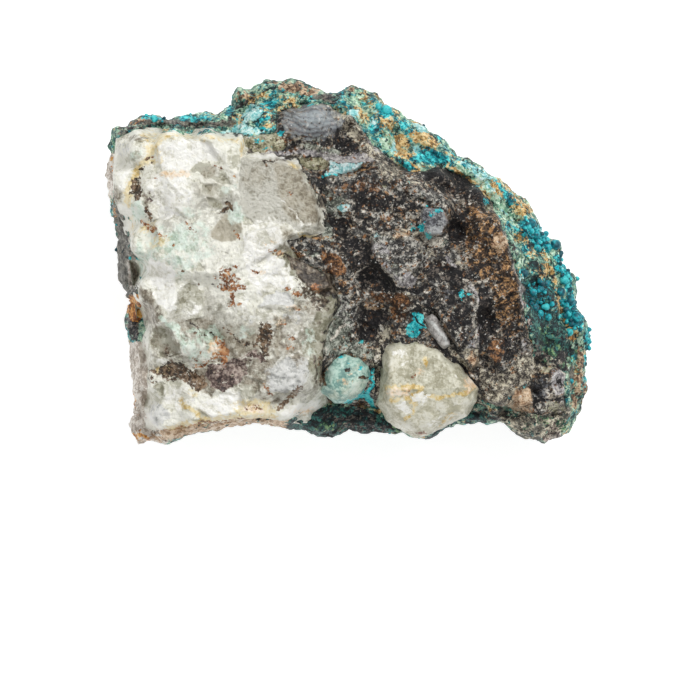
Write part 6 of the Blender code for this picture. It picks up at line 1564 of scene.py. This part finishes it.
class StageSettings(bpy.types.PropertyGroup):
    camera_height: bpy.props.FloatProperty(
        name="Camera height", description="Height of the lens above the table", default=1.0, unit="LENGTH",
    )
    field: bpy.props.FloatProperty(
        name="Field", description="Width that the picture covers on the table", default=0.09535, unit="LENGTH",
    )
    aim_x: bpy.props.FloatProperty(
        name="Aim X", description="Point below the lens, along X", default=0.0001, unit="LENGTH",
    )
    aim_y: bpy.props.FloatProperty(
        name="Aim Y", description="Point below the lens, along Y", default=-0.0120, unit="LENGTH",
    )


def grown(outline, centre, by):
    """The outline with every corner moved that far away from the centre."""
    corners = np.array(outline, dtype=float)
    spokes = corners - centre
    return corners + spokes / np.hypot(*spokes.T)[:, None] * by


def body_surface(rings):
    """The crusted body's points, quads, share of crust, and a share of knobs that paints shade in the hollows between
    the knobs and light on their tops.
    """
    points, quads = full_lump(
        OUTLINE, (0.0, 0.0), body_height, under_height, SHOULDER, BELLY, rings, (10, 22), 1.25,
    )
    normal = outward(points, quads)
    x, y, z = points.T
    crust = 1 - ramp(edge_distance(x, y, BROKEN_FACE), 1.6) * ramp(z - 9.0, 4.0)
    steep = 1 - np.clip(normal[:, 2], 0, 1) ** 2
    large = knobs(points, CRUST_LUMP, 51)
    middle = knobs(points, 0.5 * CRUST_LUMP, 61)
    small = knobs(points, 0.24 * CRUST_LUMP, 181)
    rise = crust * CRUST_RISE * (large + 0.4 * middle - 0.75) + 0.28 * crust * (small - 0.5)
    layers = points * np.array([1.0, 1.0, LAYERING])
    rough = noise(layers, 3.4, 67) + 0.5 * noise(layers, 1.7, 71) + 0.3 * noise(layers, 0.8, 73)
    rise += (1 - crust) * steep * WALL_ROUGH * rough
    rise += 0.12 * noise(points, 0.8, 191) + 0.06 * noise(points, 0.4, 193)
    points = points + normal * rise[:, None]
    points[:, 2] = np.maximum(points[:, 2], 0.0)
    # Painted shade and light: low between the knobs, where the crust is darkened, and high on their tops, where it is
    # lightened.
    hollow = np.clip(0.15 + 0.6 * large + 0.5 * small, 0, 1)
    return points, quads, crust, hollow


class STONE_OT_crusted_body(bpy.types.Operator):
    """Make the body of the stone with its knobbly crust, broken flanks and underside"""

    bl_idname = "stone.crusted_body"
    bl_label = "Crusted body"

    def execute(self, context):
        points, quads, crust, hollow = body_surface(context.scene.stone_sizes.body_rings)
        normal = outward(points, quads)
        layers = mark_layers(points, CRUST_MARKS, 0.3, 211)
        upper = ramp(normal[:, 2] + 0.1, 0.4) * ramp(points[:, 2] - 7.0, 3.0)
        upper = np.maximum(upper, ramp(-26.0 - points[:, 0], 1.0))
        layers = {name: values * upper for name, values in layers.items()}
        layers["loam"] += (1 - upper) * 0.75 * ramp(noise(points, 9.0, 221) - 0.08, 0.2)
        layers["shade"] += (1 - upper) * 0.7 * ramp(noise(points, 7.0, 223) - 0.08, 0.2)
        layers["rim"] = edge_distance(points[:, 0], points[:, 1], [corner[:2] for corner in OUTLINE])
        # Painted shade between the knobs and painted light on their tops, for the crust's colour.
        layers["hollow"] = hollow
        body = add_mesh("crusted_body", points, quads, layers)
        settle(body, bpy.data.materials["crust"])
        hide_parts(NODE)
        return {"FINISHED"}


class STONE_OT_milky_quartz(bpy.types.Operator):
    """Make the slab of milky quartz with its fracture faces"""

    bl_idname = "stone.milky_quartz"
    bl_label = "Milky quartz"

    def execute(self, context):
        centre = np.array([-16.5, -2.5])
        points, quads = capped_lump(
            skirt(SLAB, centre, 1.3).tolist(), centre, quartz_height, 8.0, 0.3,
            context.scene.stone_sizes.quartz_rings, 2, 1.0,
        )
        x, y = points[:, 0], points[:, 1]
        layers = mark_layers(points, QUARTZ_MARKS, 0.35, 221)
        _, layers["crest"], layers["tone"] = quartz_faces(x, y)
        p = flat_points(x, y)
        ring = np.hypot(x + 12.0, y - 4.2) + 0.25 * noise(p, 1.4, 223)
        slab = edge_distance(*warped(x, y, 0.5, 1.1, 225), SLAB)
        east = ramp(x + 11.0, 3.0) * ramp(1.5 - y, 3.0) * ramp(y + 16.0, 4.0)
        layers["contact"] = east * ramp(1.8 - slab, 3.4)
        layers["rim"] = np.maximum(east * ramp(0.1 - slab, 1.2), 0.8 * ramp(-0.2 - slab, 0.5) * (y > -18.0))
        layers["rim"] *= away_from_border(x, y)
        arc = ramp(np.cos(ring * 11.0) + 0.9 * noise(p, 0.9, 227) - 0.3, 1.2)
        layers["arcs"] = arc * ramp(edge_distance(x, y, GREY_FACE), 1.0) * ramp(9.6 - y, 4.0)
        quartz = add_mesh("milky_quartz", points, quads, layers)
        settle(quartz, bpy.data.materials["milky_quartz"])
        return {"FINISHED"}


class STONE_OT_dark_matrix(bpy.types.Operator):
    """Make the dark granular matrix right of the quartz"""

    bl_idname = "stone.dark_matrix"
    bl_label = "Dark matrix"

    def execute(self, context):
        centre = np.array([6.0, -1.0])
        points, quads = capped_lump(
            skirt(MATRIX, centre, 1.0).tolist(), centre, matrix_height, 8.0, 0.3,
            context.scene.stone_sizes.quartz_rings, 2, 1.0,
        )
        layers = mark_layers(points, MATRIX_MARKS, 0.3, 231)
        x, y = points[:, 0], points[:, 1]
        p = flat_points(x, y)
        across = (y - 19.6) / 3.6 - 0.05 * (x + 4.6) ** 2 / 3.6 + 0.16 * noise(p, 2.4, 233)
        wave = 30.0 * across + 2.6 * noise(p, 1.1, 237)
        centre = np.exp(-((x + 4.2) / 2.4) ** 2 - ((y - 18.9) / 1.0) ** 2)
        layers["bands"] = np.clip(0.3 + 0.34 * np.cos(wave) + 0.9 * centre, 0, 1)
        reach = np.hypot((x + 5.0) / 3.9, (y - 18.6) / 2.5)
        layers["lens"] = ramp(1.0 - reach + 0.24 * noise(p, 0.8, 235), 0.5)
        matrix = add_mesh("dark_matrix", points, quads, layers)
        settle(matrix, bpy.data.materials["dark_matrix"])
        return {"FINISHED"}


NODULE_MARKS = {
    "pale_nodule": {
        "light": [
            # The first row is painted light: the lower face, below the crest, lighter than the upper face.
            (0.9, [(5.4, -18.6), (9.0, -18.2), (14.0, -18.4), (16.8, -18.0), (15.4, -20.9), (10.4, -23.4),
                   (8.6, -23.8), (6.6, -22.4)]),
            (0.7, [(5.2, -12.0), (8.0, -11.6), (8.2, -13.6), (7.4, -15.4), (5.0, -15.2)]), (14.6, -16.4, 1.4, 1.0, 0, 0.4),
        ],
        "yellow": [
            (0.35, 0.9, [(5.0, -17.0), (7.0, -16.9), (9.6, -17.2)]), (0.35, 0.8, [(5.6, -18.6), (7.6, -18.4), (8.6, -19.0)]),
            (0.3, 0.8, [(8.6, -18.0), (12.4, -18.4), (15.0, -17.8), (16.4, -17.4)]), (10.3, -13.4, 0.4, 0.7, 0, 0.8),
            (0.3, 0.7, [(8.8, -18.6), (8.4, -20.4), (7.4, -21.4)]), (13.0, -21.2, 1.6, 0.5, 38, 0.5),
        ],
        "peach": [(16.2, -16.6, 0.8, 1.0, 0, 0.9), (6.6, -17.6, 1.6, 0.7, 0, 0.6), (9.4, -14.8, 0.8, 0.5, 0, 0.5)],
        "white": [
            (1.0, [(6.2, -19.5), (7.4, -18.9), (8.2, -19.8), (7.6, -20.6), (6.4, -20.0)]), (9.6, -18.4, 1.1, 0.7, 0, 0.9),
            (0.15, 0.7, [(7.0, -13.9), (8.4, -13.6)]), (0.15, 0.6, [(13.9, -15.2), (14.6, -15.8)]),
            (11.4, -21.8, 1.6, 0.5, 38, 0.5), (6.6, -12.4, 0.9, 0.5, 0, 0.5),
        ],
        "rust": [(8.6, -15.4, 0.3, 0.3, 0, 0.6), (9.4, -23.2, 0.9, 0.2, 0, 0.8), (8.0, -17.4, 0.3, 0.3, 0, 0.5)],
    },
    "teal_nodule": {
        "brown": [
            (-0.2, -14.7, 0.4, 0.35, 0, 1.0), (2.0, -15.7, 0.6, 0.2, 0, 1.0), (0.25, 0.9, [(-3.2, -13.2), (-3.4, -16.4)]),
            (-1.0, -12.4, 0.3, 0.2, 0, 0.6),
        ],
        "white": [(0.6, -17.0, 1.8, 1.0, 20, 0.9), (1.0, -14.4, 1.0, 0.6, 0, 0.6), (-1.8, -18.0, 1.0, 0.6, 0, 0.6)],
        "peach": [(-0.6, -16.2, 1.0, 0.4, 0, 0.5), (-3.1, -14.4, 0.3, 0.6, 0, 0.9), (0.2, -15.2, 0.6, 0.3, 0, 0.5)],
        "teal": [
            (0.2, 0.8, [(3.0, -15.6), (2.6, -17.2), (1.2, -18.3), (-0.6, -19.0)]), (-1.2, -12.7, 0.7, 0.25, 0, 0.7),
            (1.6, -14.4, 0.5, 0.3, -30, 0.6), (-0.2, -13.6, 0.4, 0.2, 0, 0.5),
        ],
    },
    # The grey crystal's white line is a painted highlight along its crest.
    "grey_crystal": {"white": [(0.2, 0.9, [(10.8, -8.2), (12.2, -10.0), (13.4, -11.6)])]},
}


class STONE_OT_nodules(bpy.types.Operator):
    """Make the pale nodule, the teal nodule and the grey crystal in the face"""

    bl_idname = "stone.nodules"
    bl_label = "Nodules and crystal"

    def execute(self, context):
        for name, nodule in NODULES.items():
            self.grow(name, nodule)
        return {"FINISHED"}

    def grow(self, name, nodule):
        cx, cy = nodule["centre"]
        turn = np.radians(nodule["crest"])

        def top(x, y):
            across = (y - cy) * np.cos(turn) - (x - cx) * np.sin(turn)
            fall = np.where(across > 0, across * nodule["slopes"][0], -across * nodule["slopes"][1])
            wx, wy = warped(x, y, 0.3, 1.8, 241)
            chips = NODULE_CHIPS * scoop_faces(wx, wy, 0.8 * SCOOP_SIZE, 23)[0]
            fine = 0.22 * scoop_faces(wx, wy, 0.22 * SCOOP_SIZE, 251)[0] + 0.04 * noise(flat_points(x, y), 0.5, 257)
            return nodule["top"] - fall - 0.012 * ((x - cx) ** 2 + (y - cy) ** 2) + chips + fine

        outline = [(x, y, nodule["waist"]) for x, y in nodule["outline"]]
        points, quads = capped_lump(
            outline, (cx, cy), top, nodule["foot"], nodule["shoulder"], nodule["rings"], 16, 1.0,
        )
        normal = outward(points, quads)
        steep = 1 - np.clip(normal[:, 2], 0, 1) ** 2
        rough = 0.25 * noise(points, 1.6, 261) + 0.1 * noise(points, 0.7, 263)
        points = points + normal * (steep * rough)[:, None]
        layers = mark_layers(points, NODULE_MARKS[name], 0.3, 271)
        piece = add_mesh(name, points, quads, layers)
        settle(piece, bpy.data.materials[name])


def unit_ball(rows, columns):
    """Points and quads of a ball of radius 1, with its poles as rings of no width merged by the quads."""
    up = np.linspace(-np.pi / 2, np.pi / 2, rows + 1)[1:-1, None]
    turn = np.linspace(0, 2 * np.pi, columns, endpoint=False)[None]
    ring = np.stack([
        np.cos(up) * np.cos(turn), np.cos(up) * np.sin(turn), np.sin(up) * np.ones_like(turn),
    ], axis=2).reshape(-1, 3)
    points = np.concatenate([ring, [[0, 0, -1], [0, 0, 1]]])
    index = np.arange(len(ring)).reshape(rows - 1, columns)
    quads = [strip_quads(index)]
    for loop, pole, order in ((index[0], len(ring), 1), (index[-1], len(ring) + 1, -1)):
        cap = np.stack([np.roll(loop, -2), np.roll(loop, -1), loop, np.full(columns, pole)], axis=1)[::2]
        quads.append(cap if order == 1 else cap[:, ::-1])
    return points, np.concatenate(quads)


def sown(surface, weight, count, seed):
    """Places on a surface drawn with that weight at each of its points, by an even walk up the sum."""
    total = np.cumsum(weight)
    step = total[-1] / count
    at = (np.arange(count) + scatter(np.arange(count), np.zeros(count, dtype=np.int64), 0, seed)) * step
    return np.minimum(np.searchsorted(total, at), len(surface) - 1)


def copies(shape_points, shape_quads, places, frames):
    """Many copies of a small shape in one mesh: its points through each frame, then moved."""
    points = np.einsum("nij,pj->npi", frames, shape_points) + places[:, None]
    quads = shape_quads[None] + (np.arange(len(places)) * len(shape_points))[:, None, None]
    return points.reshape(-1, 3), quads.reshape(-1, 4)


class STONE_OT_balls(bpy.types.Operator):
    """Grow balls of chrysocolla on the crust, large ones where they stand out and small ones between"""

    bl_idname = "stone.balls"
    bl_label = "Chrysocolla balls"

    def execute(self, context):
        body = bpy.data.objects["crusted_body"].data
        surface = np.zeros(len(body.vertices) * 3, dtype=np.float32)
        body.vertices.foreach_get("co", surface)
        surface = surface.reshape(-1, 3) / MM
        normal = np.zeros(len(body.vertices) * 3, dtype=np.float32)
        body.vertices.foreach_get("normal", normal)
        normal = normal.reshape(-1, 3)
        places, radii = [], []
        for x, y, radius in BALLS:
            high = surface[:, 2] > 8
            nearest = np.argmin(np.hypot(surface[:, 0] - x, surface[:, 1] - y) + np.where(high, 0, 1e3))
            radius = BIG_BALL * radius
            places.append(np.array([x, y, surface[nearest, 2] - 0.1 * radius]))
            radii.append(radius)
        teal = np.zeros(len(body.vertices), dtype=np.float32)
        body.attributes["teal"].data.foreach_get("value", teal)
        under = ramp(-normal[:, 2], 0.6) * 0.04
        count = context.scene.stone_sizes.small_balls
        front = (surface[:, 0] < -8.0) * (surface[:, 1] < 0.0)
        chosen = sown(surface, (teal ** 2 * np.where(surface[:, 0] > 22.0, 1.0, 0.4) + under) * (1 - front), count, 281)
        wide = np.where(surface[chosen, 0] > 22.0, 1.0, 0.6)
        size = 0.13 + wide * 0.3 * scatter(chosen, chosen * 3, chosen * 7, 283) ** 2
        places = np.concatenate([np.array(places), surface[chosen] + normal[chosen] * (0.2 * size)[:, None]])
        radii = np.concatenate([radii, size])
        places[:, 2] = np.maximum(places[:, 2], radii + 0.1)
        big = len(BALLS)
        ball, quads = unit_ball(12, 18)
        small_ball, small_quads = unit_ball(6, 8)
        frames = np.eye(3)[None] * radii[:, None, None]
        points_a, quads_a = copies(ball, quads, places[:big], frames[:big])
        points_b, quads_b = copies(small_ball, small_quads, places[big:], frames[big:])
        points = np.concatenate([points_a, points_b])
        points += 0.05 * np.stack([noise(points, 0.7, 291 + k) for k in range(3)], axis=1)
        owner = np.concatenate([np.repeat(np.arange(big), len(ball)), np.repeat(big + np.arange(count), len(small_ball))])
        tone = scatter(owner, owner * 5, owner * 11, 293)
        piece = add_mesh("chrysocolla_balls", points, np.concatenate([quads_a, quads_b + len(points_a)]), {"tone": tone})
        settle(piece, bpy.data.materials["balls"])
        return {"FINISHED"}


class STONE_OT_glints(bpy.types.Operator):
    """Sow small quartz points over the dark matrix"""

    bl_idname = "stone.glints"
    bl_label = "Quartz glints"

    def execute(self, context):
        matrix = bpy.data.objects["dark_matrix"].data
        surface = np.zeros(len(matrix.vertices) * 3, dtype=np.float32)
        matrix.vertices.foreach_get("co", surface)
        surface = surface.reshape(-1, 3) / MM
        count = context.scene.stone_sizes.glints
        inside = np.minimum(
            edge_distance(surface[:, 0], surface[:, 1], MATRIX), -edge_distance(surface[:, 0], surface[:, 1], SLAB),
        )
        patch = np.clip(noise(surface, 1.8, 301) + 0.2, 0, 1)
        chosen = sown(surface, patch * ramp(inside - 0.3, 0.6) * (surface[:, 2] > 16), count, 303)
        draw = [scatter(chosen, chosen * 3, chosen * 5, 305 + k) for k in range(5)]
        length = 0.07 + 0.13 * draw[0] ** 3
        lean = np.stack([draw[1] - 0.5, draw[2] - 0.5, np.full(count, 0.55)], axis=1)
        lean /= np.linalg.norm(lean, axis=1)[:, None]
        across = np.cross(lean, np.array([0.3, 0.9, 0.1]))
        across /= np.linalg.norm(across, axis=1)[:, None]
        frames = np.stack([
            across * (0.55 * length)[:, None], np.cross(lean, across) * (0.55 * length)[:, None], lean * length[:, None],
        ], axis=2)
        turn = np.linspace(0, 2 * np.pi, 6, endpoint=False)
        ring = np.stack([np.cos(turn), np.sin(turn), np.zeros(6)], axis=1)
        point = np.concatenate([ring + [0, 0, -0.5], ring + [0, 0, 0.5], [[0, 0, -0.8], [0, 0, 1.2]]])
        low, high = np.arange(6), np.arange(6, 12)
        quads = [strip_quads(np.stack([low, high]))]
        quads.append(np.stack([np.roll(low, -2), np.roll(low, -1), low, np.full(6, 12)], axis=1)[::2])
        quads.append(np.stack([np.full(6, 13), high, np.roll(high, -1), np.roll(high, -2)], axis=1)[::2])
        points, quads = copies(point, np.concatenate(quads), surface[chosen], frames)
        tone = np.repeat(draw[3], len(point))
        piece = add_mesh("quartz_glints", points, quads, {"tone": tone}, smooth=False)
        settle(piece, bpy.data.materials["glints"])
        return {"FINISHED"}


def plain_material(name, colour, glow):
    material = bpy.data.materials.new(name)
    material.use_nodes = True
    shader = material.node_tree.nodes["Principled BSDF"]
    shader.inputs["Base Color"].default_value = (*colour, 1.0)
    shader.inputs["Roughness"].default_value = 0.9
    shader.inputs["Specular IOR Level"].default_value = 0.0
    shader.inputs["Emission Color"].default_value = (1.0, 1.0, 1.0, 1.0)
    shader.inputs["Emission Strength"].default_value = glow
    return material


def area_light(name, place, size, energy, target=(0.0, 0.0, 0.01)):
    """A square softbox that faces the stone."""
    light = bpy.data.lights.new(name, "AREA")
    light.size = size
    light.energy = energy
    obj = bpy.data.objects.new(name, light)
    obj.location = place
    obj.rotation_euler = Vector(np.array(target) - np.array(place)).to_track_quat("-Z", "Y").to_euler()
    bpy.context.scene.collection.objects.link(obj)


class STONE_OT_stage(bpy.types.Operator):
    """Set the pale floor, the soft lights and the camera that looks straight down"""

    bl_idname = "stone.stage"
    bl_label = "Stage"

    def execute(self, context):
        stage = context.scene.stone_stage
        half = 1.5
        corners = np.array([[-half, -half, 0], [half, -half, 0], [half, half, 0], [-half, half, 0]]) / MM
        corners[:, 2] -= FLOOR_GAP
        floor = add_mesh("floor", corners, np.array([[0, 1, 2, 3]]), smooth=False)
        floor.data.materials.append(plain_material("floor", (0.5, 0.5, 0.5), 0.79))
        area_light("key", (0.35, 0.45, 0.75), 0.5, 6.5)
        area_light("fill", (-0.5, -0.2, 0.6), 0.7, 1.2)
        world = bpy.data.worlds.new("studio")
        world.use_nodes = True
        world.node_tree.nodes["Background"].inputs["Color"].default_value = (1.0, 1.0, 1.0, 1.0)
        world.node_tree.nodes["Background"].inputs["Strength"].default_value = 0.4
        context.scene.world = world
        context.scene.view_settings.view_transform = "Standard"
        camera = bpy.data.cameras.new("camera")
        camera.sensor_width = 36.0
        camera.lens = camera.sensor_width * stage.camera_height / stage.field
        obj = bpy.data.objects.new("camera", camera)
        obj.location = (stage.aim_x, stage.aim_y, stage.camera_height)
        context.scene.collection.objects.link(obj)
        context.scene.camera = obj
        return {"FINISHED"}


class STONE_PT_panel(bpy.types.Panel):
    """Lists the pieces of the stone in the order in which they are made"""

    bl_label = "Chrysocolla quartz"
    bl_space_type = "VIEW_3D"
    bl_region_type = "UI"
    bl_category = "Stone"

    def draw(self, context):
        for operator in OPERATORS:
            self.layout.operator(operator.bl_idname)
        for group in ("stone_sizes", "stone_stage", "stone_colours"):
            settings = getattr(context.scene, group)
            for name in settings.__annotations__:
                self.layout.prop(settings, name)


OPERATORS = (
    STONE_OT_crusted_body, STONE_OT_milky_quartz, STONE_OT_dark_matrix, STONE_OT_nodules, STONE_OT_balls,
    STONE_OT_glints, STONE_OT_stage,
)
CLASSES = (StoneColours, StoneSizes, StageSettings, *OPERATORS, STONE_PT_panel)


def register():
    for cls in CLASSES:
        bpy.utils.register_class(cls)
    bpy.types.Scene.stone_colours = bpy.props.PointerProperty(type=StoneColours)
    bpy.types.Scene.stone_sizes = bpy.props.PointerProperty(type=StoneSizes)
    bpy.types.Scene.stone_stage = bpy.props.PointerProperty(type=StageSettings)


def unregister():
    for group in ("stone_colours", "stone_sizes", "stone_stage"):
        delattr(bpy.types.Scene, group)
    for cls in reversed(CLASSES):
        bpy.utils.unregister_class(cls)


def main():
    register()
    build_materials()
    for operator in OPERATORS:
        family, name = operator.bl_idname.split(".")
        getattr(getattr(bpy.ops, family), name)()


if __name__ == "__main__":
    main()
